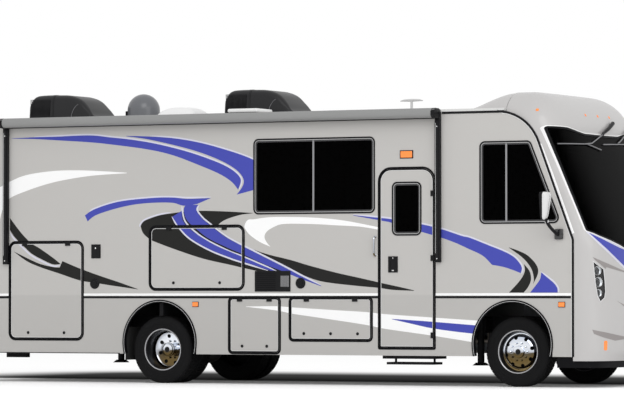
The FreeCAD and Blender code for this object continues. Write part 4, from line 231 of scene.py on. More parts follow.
def tube(name, path, radius, material, sides=16):
    """Round bar along a list of points, with closed ends."""
    path = [Vector(p) for p in path]
    loops = []
    across = None
    for i, point in enumerate(path):
        along = (path[min(i + 1, len(path) - 1)] - path[max(i - 1, 0)]).normalized()
        if across is None:
            across = along.orthogonal().normalized()
        across = (across - along * across.dot(along)).normalized()
        other = along.cross(across)
        size = radius[i] if isinstance(radius, (list, tuple)) else radius
        loops.append([point + (across * c + other * s) * size for c, s in around(sides)])
    return loft(name, loops, material)


def block(name, low, high, material, bevel=0.0):
    x0, y0, z0 = low
    x1, y1, z1 = high
    loops = [[Vector((x, y, z)) for x, y in rectangle(x0, x1, y0, y1)] for z in (z0, z1)]
    obj = loft(name, loops, material)
    return bevelled(obj, bevel) if bevel else obj


def bevelled(obj, width):
    modifier = obj.modifiers.new("bevel", "BEVEL")
    modifier.width = width
    modifier.segments = 3
    modifier.limit_method = "ANGLE"
    modifier.angle_limit = math.radians(40.0)
    return applied(obj)


def applied(obj, sharp=35.0):
    """Bakes the object's modifiers into its mesh."""
    bpy.context.view_layer.update()
    shown = obj.evaluated_get(bpy.context.evaluated_depsgraph_get())
    mesh = bpy.data.meshes.new_from_object(shown)
    obj.modifiers.clear()
    old = obj.data
    obj.data = mesh
    mesh.name = obj.name
    if old.users == 0:
        bpy.data.meshes.remove(old)
    return finish_mesh(obj, sharp)


def boolean(obj, tools, operation="DIFFERENCE", sharp=35.0):
    """Cuts the object with closed tools, or keeps what it shares with them."""
    for tool in tools:
        modifier = obj.modifiers.new("cut", "BOOLEAN")
        modifier.operation = operation
        modifier.solver = "EXACT"
        modifier.object = tool
    return applied(obj, sharp)


def removed(objects):
    for obj in objects:
        mesh = obj.data
        bpy.data.objects.remove(obj)
        if mesh.users == 0:
            bpy.data.meshes.remove(mesh)


def joined(name, objects):
    """One object from many; each keeps its material."""
    objects = [o for o in objects if len(o.data.polygons)]
    if len(objects) > 1:
        with bpy.context.temp_override(active_object=objects[0], object=objects[0],
                                       selected_editable_objects=objects, selected_objects=objects):
            bpy.ops.object.join()
    objects[0].name = name
    objects[0].data.name = name
    return objects[0]


def hang(obj, body):
    """Hangs a finished piece on its body, under a name without spaces."""
    obj.name = obj.name.replace(" ", "_")
    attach(obj, body)
    return obj


def copied(obj, name):
    copy = obj.copy()
    copy.data = obj.data.copy()
    copy.name = name
    bpy.context.scene.collection.objects.link(copy)
    return copy


def mirrored(obj, name):
    """The same piece on the other side of the vehicle."""
    copy = copied(obj, name)
    for vertex in copy.data.vertices:
        vertex.co.y = -vertex.co.y
    return finish_mesh(copy)


def curve_through(points, steps=6):
    """Smooth run through given points."""
    result = []
    for i in range(len(points) - 1):
        a = Vector(points[max(i - 1, 0)])
        b, c = Vector(points[i]), Vector(points[i + 1])
        d = Vector(points[min(i + 2, len(points) - 1)])
        for k in range(steps):
            t = k / steps
            result.append(0.5 * (2 * b + (c - a) * t + (2 * a - 5 * b + 4 * c - d) * t * t
                                 + (3 * b - a - 3 * c + d) * t ** 3))
    result.append(Vector(points[-1]))
    return result


# Node trees
def add_node(tree, kind, fill=(), **settings):
    """New node with its settings, and with inputs filled by name or number."""
    made = tree.nodes.new(kind)
    for name, value in settings.items():
        setattr(made, name, value)
    for socket, value in dict(fill).items():
        made.inputs[socket].default_value = value
    return made


def wire(tree, *pairs):
    for source, target in pairs:
        tree.links.new(source, target)


def new_tree(name, kind, inputs, outputs):
    """Tree with named sockets, and the two nodes that stand for its ends."""
    tree = bpy.data.node_groups.new(name, kind)
    for label, socket, value in inputs:
        made = tree.interface.new_socket(label, in_out="INPUT", socket_type="NodeSocket" + socket)
        if value is not None:
            made.default_value = value
    for label, socket in outputs:
        tree.interface.new_socket(label, in_out="OUTPUT", socket_type="NodeSocket" + socket)
    return tree, add_node(tree, "NodeGroupInput").outputs, add_node(tree, "NodeGroupOutput").inputs


def ramp(tree, source, stops, interpolation="LINEAR"):
    """Colours of a level, from stops of place and colour."""
    made = add_node(tree, "ShaderNodeValToRGB")
    made.color_ramp.interpolation = interpolation
    elements = made.color_ramp.elements
    while len(elements) < len(stops):
        elements.new(1.0)
    for element, (at, colour) in zip(elements, stops):
        element.position = at
        element.color = (*colour, 1.0)
    wire(tree, (source, made.inputs[0]))
    return made.outputs["Color"]


# Materials
def material_named(name, **inputs):
    """Material with inputs of its shader set, and whether it was made just now."""
    found = bpy.data.materials.get(name)
    if found:
        return found, False
    found = bpy.data.materials.new(name)
    found.use_nodes = True
    shader = found.node_tree.nodes["Principled BSDF"]
    for label, value in inputs.items():
        shader.inputs[label.replace("_", " ")].default_value = value
    return found, True


def amber_lens():
    return lamp_lens("amber lens", (0.85, 0.22, 0.03), 0.25)


def white_plastic():
    return worn("white fitting", (0.85, 0.85, 0.85), 0.4)


def lamp_surround():
    return worn("lamp surround", (0.62, 0.62, 0.62), 0.35)


def surface_wear():
    """Group: slow tone change and fine grain from object coordinates."""
    group = bpy.data.node_groups.get("surface wear")
    if group:
        return group
    group, given, result = new_tree(
        "surface wear", "ShaderNodeTree",
        (("Colour", "Color", (0.5, 0.5, 0.5, 1.0)), ("Tone Change", "Float", 0.03),
         ("Patch Scale", "Float", 1.2), ("Roughness", "Float", 0.4),
         ("Roughness Change", "Float", 0.05)),
        (("Colour", "Color"), ("Roughness", "Float")))
    place = add_node(group, "ShaderNodeTexCoord")
    noise = add_node(group, "ShaderNodeTexNoise", {"Detail": 4.0})
    centred = add_node(group, "ShaderNodeMath", {1: 0.5}, operation="SUBTRACT")
    tone = add_node(group, "ShaderNodeMath", {2: 1.0}, operation="MULTIPLY_ADD")
    shade = add_node(group, "ShaderNodeVectorMath", operation="SCALE")
    rough = add_node(group, "ShaderNodeMath", operation="MULTIPLY_ADD")
    wire(group, (place.outputs["Object"], noise.inputs["Vector"]),
         (given["Patch Scale"], noise.inputs["Scale"]), (noise.outputs["Fac"], centred.inputs[0]),
         (centred.outputs[0], tone.inputs[0]), (given["Tone Change"], tone.inputs[1]),
         (given["Colour"], shade.inputs[0]), (tone.outputs[0], shade.inputs["Scale"]),
         (shade.outputs[0], result["Colour"]), (centred.outputs[0], rough.inputs[0]),
         (given["Roughness Change"], rough.inputs[1]), (given["Roughness"], rough.inputs[2]),
         (rough.outputs[0], result["Roughness"]))
    return group


def add_wear(material, colour, tone, scale, roughness, change):
    """Drives the shader's colour and roughness by the wear group; colour is a value or a socket."""
    tree = material.node_tree
    shader = tree.nodes["Principled BSDF"]
    group = add_node(tree, "ShaderNodeGroup", node_tree=surface_wear())
    for label, value in (("Tone Change", tone), ("Patch Scale", scale), ("Roughness", roughness),
                         ("Roughness Change", change)):
        group.inputs[label].default_value = value
    if isinstance(colour, bpy.types.NodeSocket):
        wire(tree, (colour, group.inputs["Colour"]))
    else:
        group.inputs["Colour"].default_value = (*colour, 1.0)
    wire(tree, (group.outputs["Colour"], shader.inputs["Base Color"]),
         (group.outputs["Roughness"], shader.inputs["Roughness"]))
    return material


def worn(name, colour, roughness, tone=0.03, scale=1.2, change=0.05, metallic=0.0, coat=0.0,
         specular=0.5):
    """Opaque finish whose colour and roughness drift a little over the surface."""
    material, fresh = material_named(name, Metallic=metallic, Coat_Weight=coat, Coat_Roughness=0.08,
                                     Specular_IOR_Level=specular)
    if fresh:
        add_wear(material, colour, tone, scale, roughness, change)
    return material


def tinted_glass(name, colour, bending=1.45):
    """Clear coloured glass; bending is its index of refraction."""
    return material_named(name, Base_Color=(*colour, 1.0), Roughness=0.02,
                          Transmission_Weight=1.0, IOR=bending)[0]


def lamp_lens(name, colour, glow=0.0):
    """Coloured moulded lens with a faint glow of its own."""
    return material_named(name, Base_Color=(*colour, 1.0), Roughness=0.12, Coat_Weight=0.6,
                          Emission_Color=(*colour, 1.0), Emission_Strength=glow)[0]


def paint(colour_name):
    """Coach paint in one of the sidebar's colours; the deep ones are less glossy."""
    settings = bpy.context.scene.coach_paint
    deep = colour_name in ("blue", "dark")
    return worn(colour_name + " paint", tuple(getattr(settings, colour_name)), 0.32, tone=0.02,
                coat=0.0 if deep else 0.25, specular=0.12 if deep else 0.35)


def seal_black():
    return worn("door seal rubber", (0.004, 0.004, 0.005), 0.5, specular=0.1)


def trim_black():
    return worn("black trim", (0.006, 0.006, 0.007), 0.34, specular=0.18)


# Pale metal band whose colour paints the highlight on the window frame's inner edge
def painted_edge_highlight():
    return worn("bright window edge", (0.62, 0.62, 0.62), 0.3, metallic=0.6)


def window_glass():
    return tinted_glass("dark window glass", (0.010, 0.010, 0.012), 1.08)


def lining():
    return worn("cabin lining", (0.34, 0.31, 0.27), 0.8)


def under_black():
    return worn("black chassis paint", (0.008, 0.008, 0.009), 0.55, tone=0.4, scale=6.0,
                specular=0.12)


# Painted reflection on polished metal: brown ground below, a dark band at the horizon, pale blue
# sky above
PAINTED_REFLECTION_TONES = ((0.0, (0.30, 0.22, 0.10)), (0.30, (0.16, 0.11, 0.04)), (0.46, (0.10, 0.08, 0.05)),
                (0.52, (0.72, 0.76, 0.84)), (0.62, (0.90, 0.93, 0.98)), (1.0, (0.62, 0.68, 0.80)))
PAINTED_REFLECTION_SPLIT = 1.4


def chrome(name="bright chrome", middle=None):
    """Polished metal with a painted reflection, pale sky on top and brown ground below; a height
    splits it into upper and lower half.
    """
    material, fresh = material_named(name, Metallic=1.0, Roughness=0.10)
    if not fresh:
        return material
    tree = material.node_tree
    place = add_node(tree, "ShaderNodeTexCoord")
    facing = add_node(tree, "ShaderNodeSeparateXYZ")
    share = add_node(tree, "ShaderNodeMapRange", {"From Min": -1.0, "From Max": 1.0})
    wire(tree, (place.outputs["Normal"], facing.inputs[0]),
         (facing.outputs["Z"], share.inputs["Value"]))
    level = share.outputs["Result"]
    if middle is not None:
        spot = add_node(tree, "ShaderNodeSeparateXYZ")
        lift = add_node(tree, "ShaderNodeMath", {1: PAINTED_REFLECTION_SPLIT, 2: -PAINTED_REFLECTION_SPLIT * middle},
                    operation="MULTIPLY_ADD")
        both = add_node(tree, "ShaderNodeMath")
        wire(tree, (place.outputs["Object"], spot.inputs[0]), (spot.outputs["Z"], lift.inputs[0]),
             (level, both.inputs[0]), (lift.outputs[0], both.inputs[1]))
        level = both.outputs[0]
    shader = tree.nodes["Principled BSDF"]
    # The base colour ramp paints the reflection by which way each face turns
    wire(tree, (ramp(tree, level, PAINTED_REFLECTION_TONES), shader.inputs["Base Color"]))
    return material


class CoachPaint(bpy.types.PropertyGroup):
    def colour(name, about, value):
        return bpy.props.FloatVectorProperty(name=name, description=about, default=value, size=3,
                                             min=0.0, max=1.0, subtype="COLOR")

    body: colour("Body", "Side and rear walls above the belt line", (0.485, 0.474, 0.458))
    cap: colour("Front Cap", "Moulded front cap", (0.485, 0.475, 0.470))
    roof: colour("Roof", "Roof skin", (0.60, 0.60, 0.59))
    blue: colour("Blue Stripe", "Wide swept ribbons", (0.062, 0.074, 0.400))
    dark: colour("Dark Stripe", "Charcoal swept shapes", (0.017, 0.017, 0.016))
    white: colour("White Stripe", "White swept shapes and belt line", (0.90, 0.90, 0.90))
    pale: colour("Pale Edge", "Thin edge beside the blue ribbons", (0.62, 0.62, 0.72))


class CoachTrim(bpy.types.PropertyGroup):
    def length(name, about, value):
        return bpy.props.FloatProperty(name=name, description=about, default=value, min=0.0,
                                       subtype="DISTANCE", unit="LENGTH")

    seal_on_wall: length("Seal On Wall", "Width of the door seal on the wall", 0.019)
    seal_on_door: length("Seal On Door", "Width of the door seal on the leaf", 0.014)
    seal_proud: length("Seal Proud", "How far the seals stand off the panel", 0.004)
    belt_white: length("Belt White", "Height of the white belt strip", 0.030)
    belt_dark: length("Belt Dark", "Height of the dark belt strip", 0.028)
    belt_proud: length("Belt Proud", "How far the belt strips stand off the wall", 0.005)
    arch_lip: length("Arch Lip", "Width of the wheel arch lip", 0.032)
    seam_width: length("Seam Width", "Width of the joint strip at the front cap", 0.028)
    pale_edge: length("Pale Edge", "Width of the pale edge beside the ribbons", 0.020)


# Doors and windows as outlines on the side wall
# Radius of each leaf's upper corners and of its lower ones
DOOR_CORNERS = {"entry_door": (0.150, 0.0), "tall_door_right": (0.075, 0.075),
                "kitchen_door": (0.075, 0.075), "short_locker_door": (0.040, 0.040),
                "long_locker_door_right": (0.040, 0.040), "tall_door_left": (0.075, 0.075),
                "long_locker_door_left": (0.040, 0.040)}
RIGHT_DOORS = [name for name in DOOR_CORNERS if not name.endswith("_left")]
LEFT_DOORS = [name for name in DOOR_CORNERS if name.endswith("_left")]
CLEAR_OF_GLASS = 0.001
CLEAR_OF_GAP = 0.002


def door_loop(door, grow=0.0):
    """Outline of a door leaf, from the frame's box without its hinges."""
    low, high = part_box(door)
    upright_hinge = door == "entry_door"
    x1 = high.x - (HINGE_RISE if upright_hinge else 0.0)
    z1 = high.z - (0.0 if upright_hinge else HINGE_RISE)
    corners = rectangle(low.x - grow, x1 + grow, low.z - grow, z1 + grow)
    upper, lower = (radius + grow for radius in DOOR_CORNERS[door])
    return rounded(corners, [lower, lower, upper, upper])



ENTRY_X0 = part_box("entry_door")[0].x
WINDOW_CORNER = 0.070
LOUNGE_WINDOW = rectangle(ENTRY_X0 - 0.064 - 1.675, ENTRY_X0 - 0.064, 2.090, 3.023)
LOUNGE_BAR_X = LOUNGE_WINDOW[0][0] + 0.832
CAB_WINDOW = [(FRONT_AXLE_X - 0.427, 1.946), (FRONT_AXLE_X + 0.644, 1.946),
              (FRONT_AXLE_X + 0.240, 2.937), (FRONT_AXLE_X - 0.427, 2.937)]
CAB_BAR_X = CAB_WINDOW[0][0] + 0.352
BEDROOM_WINDOW = rectangle(REAR_AXLE_X - 2.250, REAR_AXLE_X - 1.350, 2.090, 3.023)
BEDROOM_BAR_X = BEDROOM_WINDOW[0][0] + 0.450
DOOR_WINDOW = rectangle(ENTRY_X0 + 0.164, ENTRY_X0 + 0.562, 1.815, 2.467)
REAR_WINDOW = rectangle(-0.550, 0.550, 2.150, 2.670)
RIGHT_WINDOWS = [(LOUNGE_WINDOW, LOUNGE_BAR_X), (CAB_WINDOW, CAB_BAR_X)]
LEFT_WINDOWS = RIGHT_WINDOWS + [(BEDROOM_WINDOW, BEDROOM_BAR_X)]


def seam_path():
    """Points of the joint between the side wall and the front cap, from the sill to the roof."""
    crown_x = SEAM_X - (WALL_TOP - SEAM_KNEE) * SEAM_RAKE
    corners = [(SEAM_X, SKIRT_BOTTOM), (SEAM_X, SEAM_KNEE), (crown_x, WALL_TOP),
               (ROOF_JOINT_X, WALL_TOP), (ROOF_JOINT_X - 1.0, SKIRT_BOTTOM)]
    loop = rounded(corners, [0.0, SEAM_KNEE_RADIUS, SEAM_TOP_RADIUS, 0.0, 0.0], 12)
    return loop[12:40]


# Front cap as loops of one rising form
CAP_BOTTOM = 0.316
CREST_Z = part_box("front_cap")[1].z
CREST_TOP = CREST_Z + 0.015
GLASS_TOP = 3.060
BROW_BOTTOM = 1.690
GLASS_RAKE = math.tan(math.radians(21.6))
GLASS_SETBACK = 0.055
BROW_OVERHANG = 0.012
CREST_SETBACK = 0.500
CREST_DRAW_IN = 0.450
CORNER_SETBACK = 0.190
CORNER_ROUND = 0.62
CAP_WALL = 0.040
NOSE_LEVELS = [(0.316, 0.027), (0.380, 0.012), (0.560, 0.002), (0.760, 0.004), (1.060, 0.028),
               (1.380, 0.038), (BROW_BOTTOM, GLASS_SETBACK)]


def cap_plan(z, half, nose, corner, back, steps=60):
    """Level outline of the cap from the right rear corner round the nose to the left."""
    depth = nose - corner
    poles = [(corner, -half), (corner + depth * CORNER_ROUND, -half),
             (nose - depth * 0.10, -half * 0.80), (nose, -half * 0.38)]
    poles += [(x, -y) for x, y in reversed(poles)]
    side = [(back + (corner - back) * k / 8, -half) for k in range(8)]
    front = [eight_pole_point(poles, k / steps) for k in range(steps + 1)]
    far = [(back + (corner - back) * k / 8, half) for k in reversed(range(8))]
    return [Vector((p[0], p[1], z)) for p in side + front + far]


def eight_pole_point(poles, t):
    """Point on the open cubic B-spline of eight poles, at t from 0 to 1."""
    knots = [0, 0, 0, 0, 0.2, 0.4, 0.6, 0.8, 1, 1, 1, 1]
    span = min(int(t * 5), 4) + 3
    points = [Vector(poles[span - 3 + k]) for k in range(4)]
    for level in range(1, 4):
        for k in range(3, level - 1, -1):
            low = knots[span - 3 + k]
            part = (t - low) / (knots[k + 1 + span - level] - low)
            points[k] = points[k - 1] * (1 - part) + points[k] * part
    return points[3]


def smooth_between(levels, z):
    """Smooth value between listed heights."""
    for i in range(len(levels) - 1):
        if z <= levels[i + 1][0]:
            break
    a, b = levels[max(i - 1, 0)], levels[i]
    c, d = levels[i + 1], levels[min(i + 2, len(levels) - 1)]
    t = min(max((z - b[0]) / (c[0] - b[0]), 0.0), 1.0)
    slope_b = (c[1] - a[1]) / (c[0] - a[0]) * (c[0] - b[0])
    slope_c = (d[1] - b[1]) / (d[0] - b[0]) * (c[0] - b[0])
    return ((2 * t ** 3 - 3 * t * t + 1) * b[1] + (t ** 3 - 2 * t * t + t) * slope_b
            + (3 * t * t - 2 * t ** 3) * c[1] + (t ** 3 - t * t) * slope_c)


def cap_level(z, inset):
    """Sizes of the cap's plan outline at a height: half width, nose, corner and back."""
    nose = NOSE_X - inset
    half = HALF - inset
    back = ROOF_JOINT_X
    glass_nose = nose - GLASS_SETBACK - (GLASS_TOP - BROW_BOTTOM) * GLASS_RAKE
    glass_corner = SEAM_X - (GLASS_TOP - SEAM_KNEE) * SEAM_RAKE
    if z <= BROW_BOTTOM:
        return half, nose - smooth_between(NOSE_LEVELS, z), SEAM_X, back
    if z <= GLASS_TOP:
        part = (z - BROW_BOTTOM) / (GLASS_TOP - BROW_BOTTOM)
        nose_here = nose - GLASS_SETBACK + part * (glass_nose - nose + GLASS_SETBACK)
        return half, nose_here, SEAM_X + part * (glass_corner - SEAM_X), back
    part = min((z - GLASS_TOP) / (CREST_TOP - inset - GLASS_TOP), 1.0)
    curve = 1 - math.sqrt(max(0.0, 1 - part * part))
    overhang = BROW_OVERHANG * min(1.0, part * 9)
    nose_here = glass_nose + overhang * (1 - curve) - curve * CREST_SETBACK
    return half - curve * CREST_DRAW_IN, nose_here, glass_corner - part * CORNER_SETBACK, back


def cap_heights(inset, bottom):
    low = [bottom + (BROW_BOTTOM - bottom) * k / 24 for k in range(25)]
    middle = [BROW_BOTTOM + (GLASS_TOP - BROW_BOTTOM) * k / 16 for k in range(1, 17)]
    top = CREST_TOP - inset - GLASS_TOP
    crest = [GLASS_TOP + top * math.sin(math.pi / 2 * k / 18) for k in range(1, 19)]
    return low + middle + crest


def cap_form(name, inset, bottom, material):
    """The whole closed form of the cap, drawn in by the inset."""
    loops = [cap_plan(z, *cap_level(z, inset)) for z in cap_heights(inset, bottom)]
    return loft(name, loops, material, sharp=22.0)


def nose_at(y, z):
    """How far forward the cap's skin stands at this width and height."""
    front = cap_plan(z, *cap_level(z, 0.0), steps=160)[8:169]
    for a, b in zip(front, front[1:]):
        if (a.y - y) * (b.y - y) <= 0 and a.y != b.y:
            return a.x + (b.x - a.x) * (y - a.y) / (b.y - a.y)
    return front[0].x


def front_prism(name, corners, radii, x0, x1):
    """Closed tool along X from a Y-Z outline."""
    return slab(name, rounded(corners, radii), at_x(x0), at_x(x1), None)


WINDSHIELD_RIGHT = [(-1.208, 1.858), (-1.059, 1.799), (-0.550, 1.663), (0.0, 1.615), (0.550, 1.663),
                    (1.059, 1.799), (1.208, 1.858), (1.251, 3.104), (0.939, 3.096), (0.515, 3.036),
                    (0.0, 3.031), (-0.515, 3.036), (-0.939, 3.096), (-1.251, 3.104)]
WINDSHIELD_RADII = [0.025, 0.300, 0.300, 0.0, 0.300, 0.300, 0.025, 0.030, 0.060, 0.060, 0.0, 0.060,
                    0.060, 0.030]


def windshield_prism(grow=0.0):
    corners = grown(WINDSHIELD_RIGHT, grow)
    radii = [r + grow if r > 0.0 else 0.0 for r in WINDSHIELD_RADII]
    return front_prism("windshield cut", corners, radii, FRONT_AXLE_X, NOSE_X + 0.2)


HEADLAMP = [(592.6, 260.4), (604.1, 269.0), (605.4, 281.0), (606.0, 292.0), (605.0, 298.0),
            (600.3, 302.6), (597.0, 296.0), (594.6, 281.0)]
PIXEL = 0.0122
# Distances from the camera between which a tool through pixels runs: the near side of the cap only
NEAR_DEPTH = 43.0
FAR_DEPTH = 47.4


def lamp_prism(side, grow=0.0):
    """Tool of the headlamp's outline; the left one is the right one mirrored."""
    tool = view_prism("lamp cut", grown(HEADLAMP, grow / PIXEL))
    if side < 0:
        return tool
    other = mirrored(tool, "lamp cut left")
    removed([tool])
    return other


def view_prism(name, pixels):
    """Tool running away from the camera through the pixels of the photograph."""
    turn = Euler((math.pi / 2 + CAMERA_PITCH, 0.0, CAMERA_TURN)).to_matrix()

    def place(depth):
        step = depth / FOCAL_PIXELS
        return lambda p: CAMERA_PLACE + turn @ Vector(((p[0] - PHOTO_CENTRE) * step,
                                                       (PHOTO_MIDDLE - p[1]) * step, -depth))

    return slab(name, pixels, place(NEAR_DEPTH), place(FAR_DEPTH), None)


GRILLE_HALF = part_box("front_grille")[1].y
GRILLE_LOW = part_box("front_grille")[0].z
GRILLE_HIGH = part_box("front_grille")[1].z


def grille_prism(grow=0.0):
    corners = [(-GRILLE_HALF * 0.9, GRILLE_LOW), (GRILLE_HALF * 0.9, GRILLE_LOW),
               (GRILLE_HALF, GRILLE_HIGH), (-GRILLE_HALF, GRILLE_HIGH)]
    return front_prism("grille cut", grown(corners, grow), [0.030 + max(grow, 0.0)] * 4,
                       SEAM_X, NOSE_X + 0.2)


def ahead_of_seam():
    """Tool that keeps what lies ahead of the side walls and the roof joint."""
    above, ahead = CREST_Z + 0.5, NOSE_X + 1.0
    loop = [(SEAM_X, 0.0)] + seam_path() + [(ROOF_JOINT_X, WALL_TOP), (ROOF_JOINT_X, above),
                                            (ahead, above), (ahead, 0.0)]
    return slab("ahead", loop, at_y(-2.0), at_y(2.0), None)


# Wall seen from outside: photograph to panel, and sheets lying on it
SHEET_SUNK = 0.0006


def wall_point(px, py):
    """Place on the right wall, as X and Z, of a pixel of the photograph."""
    c, s = math.cos(CAMERA_TURN), math.sin(CAMERA_TURN)
    off = -HALF - CAMERA_PLACE.y
    t = (px - PHOTO_CENTRE) / FOCAL_PIXELS
    along = off * (t * c - s) / (c + t * s)
    depth = off * c - along * s
    return (CAMERA_PLACE.x + along, CAMERA_PLACE.z + (PHOTO_HORIZON - py) * depth / FOCAL_PIXELS)


def wall_run(pixels):
    return curve_through([wall_point(x, y) for x, y in pixels])


def clean_loop(points):
    loop = []
    for p in points:
        if not loop or (Vector(p) - Vector(loop[-1])).length > 0.002:
            loop.append((p[0], p[1]))
    if (Vector(loop[0]) - Vector(loop[-1])).length <= 0.002:
        loop.pop()
    return loop


def panel_shape(name, runs, proud, material, side):
    """Thin closed sheet on the side wall bounded by smooth runs of pixels."""
    loop = clean_loop([p for run in runs for p in wall_run(run)])
    return slab(name, loop, on_side(side, -SHEET_SUNK), on_side(side, proud), material)


def edge_band(name, run, width, proud, material, side):
    """Thin band along a smooth run of pixels, centred on it and thinner at its ends."""
    path = clean_loop(wall_run(run))
    left, right = [], []
    for i, p in enumerate(path):
        along = (Vector(path[min(i + 1, len(path) - 1)]) - Vector(path[max(i - 1, 0)])).normalized()
        across = Vector((-along.y, along.x))
        taper = min(1.0, 0.25 + min(i, len(path) - 1 - i) / 5)
        left.append(Vector(p) + across * (width / 2 * taper))
        right.append(Vector(p) - across * (width / 2 * taper))
    loop = [(p.x, p.y) for p in left + right[::-1]]
    return slab(name, loop, on_side(side, -SHEET_SUNK), on_side(side, proud), material)


# Swept shapes on the wall, each as smooth runs of photograph pixels joined at its corners
BLUE_SHAPES = [
    [[(11.6, 138.3), (34, 137.2), (56, 136.6), (89, 135.3), (110, 137.3), (133, 139.8),
      (159, 144.4), (188, 151.8), (214, 160.8), (229, 167.8), (238, 174.8), (240.8, 181),
      (238, 190)],
     [(238, 189.5), (231.6, 181.8), (220, 174.2), (201, 165.9), (172.5, 155.1), (146, 149.1),
      (110, 144.3), (89, 142.2), (56, 140.2), (34, 139.0), (11.6, 138.6)]],
    [[(126, 135.8), (150, 136.5), (175.5, 138.4), (201, 142.9), (226.5, 149.9), (247, 156.9),
      (262, 164)],
     [(262, 187.8), (253.3, 190.1), (236.7, 194.6)],
     [(236.7, 194.6), (241.8, 187.6), (243.8, 181.2), (240.6, 174.2), (231.6, 166.5), (214, 157.6),
      (188, 148.7), (150, 139.7), (126, 136.2)]],
    [[(84.9, 215.4), (95.5, 208.8), (119.4, 201.5), (152.6, 197.9), (172.5, 197.5), (187.7, 198.8),
      (211, 198.0)],
     [(197, 204.0), (183.7, 205.7), (172.5, 202.8), (152.6, 202.8), (132.7, 204.8), (112.8, 209.4),
      (95.5, 215.4), (87.6, 221.4)]],
    [[(181.7, 210.8), (182.8, 220), (188.8, 228), (199.6, 236), (217, 246), (242.4, 256.8),
      (274.5, 270.6)],
     [(270.5, 270.6), (242.4, 261.5), (230, 257.5), (210, 249.5), (190, 238), (178.4, 226),
      (172.5, 216.7)]],
    [[(198.3, 204.8), (196.3, 210), (201.6, 218), (207, 222.7), (225, 236.7), (242.4, 246),
      (263.8, 256.8), (284, 267), (303, 277), (321, 285.6)],
     [(321, 286.2), (300, 278.4), (281, 270.6), (263.8, 264), (242.4, 254), (230, 248.8),
      (209, 238.7), (196, 228.7), (186.8, 220), (183.7, 210), (185.7, 204.8)]],
    [[(353.3, 215.2), (379, 217.8), (392, 219.3), (422, 224.4), (442, 229.3), (462, 236),
      (470, 237.9), (489.9, 245.8), (503.2, 251.1), (513.1, 256.5), (518.9, 262.3), (521.8, 268.1),
      (520.6, 273.1)],
     [(520.6, 273.1), (512.3, 269.8), (503.2, 266.9), (492, 264.8)],
     [(492, 264.8), (484.9, 257.4), (478.3, 253.2), (470, 249.5), (457, 243.5), (442, 237.9),
      (422, 232), (392, 222.9), (385, 221.3), (353.3, 215.6)]],
    [[(541.3, 272.3), (547.9, 278.1), (553.7, 283.1), (557.1, 288), (557.5, 292.6)],
     [(557.5, 292.6), (530.1, 292.6)],
     [(530.1, 292.6), (536.3, 284.7), (540.1, 278.9), (541.3, 272.3)]],
    [[(392, 318.9), (410, 320.1), (429.6, 321.5), (475.6, 325.3)],
     [(475.6, 333.9), (452, 331.2), (429.6, 327.8), (410, 323.4), (392, 319.3)]],
]
DARK_SHAPES = [
    [[(9.9, 218), (21, 232.7), (31, 243), (39.8, 248.5), (53, 257.8), (60.4, 263.8)],
     [(60.4, 264.1), (53, 264.4), (42.5, 259.8), (31.8, 253.8), (23.9, 246.5), (14.6, 237.2),
      (9.9, 230)]],
    [[(13.9, 251.5), (26.5, 257.8), (39.8, 263.8), (53, 267), (59.7, 267.5)],
     [(59.7, 267.5), (62.4, 261.1)],
     [(62.4, 261.1), (79.6, 268.4), (99.5, 275.7), (119.4, 282.4), (138, 289.1)],
     [(138, 289.4), (112.8, 285.7), (92.9, 282.6), (79.6, 280.4), (59.7, 273.7), (39.8, 267),
      (26.5, 261), (13.9, 251.7)]],
    [[(140.6, 226), (142.5, 222.5), (146, 220), (159, 215.4), (171, 213.4), (185, 211.6),
      (199, 210.8), (225, 211.4), (253, 213)],
     [(253, 213.3), (240, 215), (225, 220), (218, 226), (222, 233), (240, 245), (262, 256),
      (285, 268), (289, 272)],
     [(289, 272.4), (273, 272.2), (257, 270.9), (230.4, 264.9), (203.6, 258.8), (176.8, 250),
      (158, 243), (150, 239.4), (143, 233), (140.6, 226)]],
    [[(250.4, 248.4), (266.5, 254), (290.6, 260), (310.7, 266), (337.5, 273), (360, 278),
      (379, 282.4), (401, 287.3), (414, 290.3)],
     [(414, 290.8), (393, 289.9), (379, 287.9), (360, 286.2), (331, 283), (317, 280.3),
      (304, 275.6), (290.6, 269), (277, 262), (263.8, 255.5), (250.4, 248.8)]],
    [[(509, 247.4), (519, 251), (528, 255.7), (536.3, 264.8), (538, 273.1), (533, 284.3)],
     [(533, 284.3), (533.8, 278.9), (531.4, 269), (523.1, 258.2), (509, 247.8)]],
    [[(523.9, 264), (529.7, 271.5), (530.9, 279.8), (528, 287.2), (523.9, 292.2)],
     [(523.9, 292.6), (509, 292.6)],
     [(509, 292.6), (519.8, 280.6), (524.7, 271.5), (523.9, 264)]],
]
WHITE_SHAPES = [
    [[(-4, 189.5), (9.9, 181.6), (26.5, 175), (53, 171), (79.6, 170.3), (106, 171.4),
      (126.7, 172.7)],
     [(126.7, 173.2), (92.9, 175.6), (66.3, 179.6), (46.4, 184.2), (26.5, 190.9), (9.9, 198.2),
      (3.5, 207), (-1, 223)]],
    [[(270.5, 246.8), (259.8, 242), (250.4, 235.4), (245.8, 230), (244.4, 226), (247.8, 220),
      (254.4, 219.2), (268.7, 217.3), (287.8, 217), (316.5, 217.8), (345, 220.7), (379, 227.3)],
     [(379, 229.8), (360, 226.7), (337.5, 225.4), (310.7, 224), (284, 224), (274.5, 226.7),
      (267, 231.4), (264.5, 236.7), (266.5, 242), (270.5, 246.8)]],
    [[(246, 306.5), (275.8, 306.2), (294, 307.5), (330, 309.8), (366.7, 312.1), (385, 314.1),
      (429.6, 317.3), (484, 321)],
     [(484, 344.5), (471.1, 341.9), (429.6, 335.2), (385, 328.8), (366.7, 325), (326.6, 318.8),
      (294, 314), (275.8, 310.4), (246, 306.8)]],
]
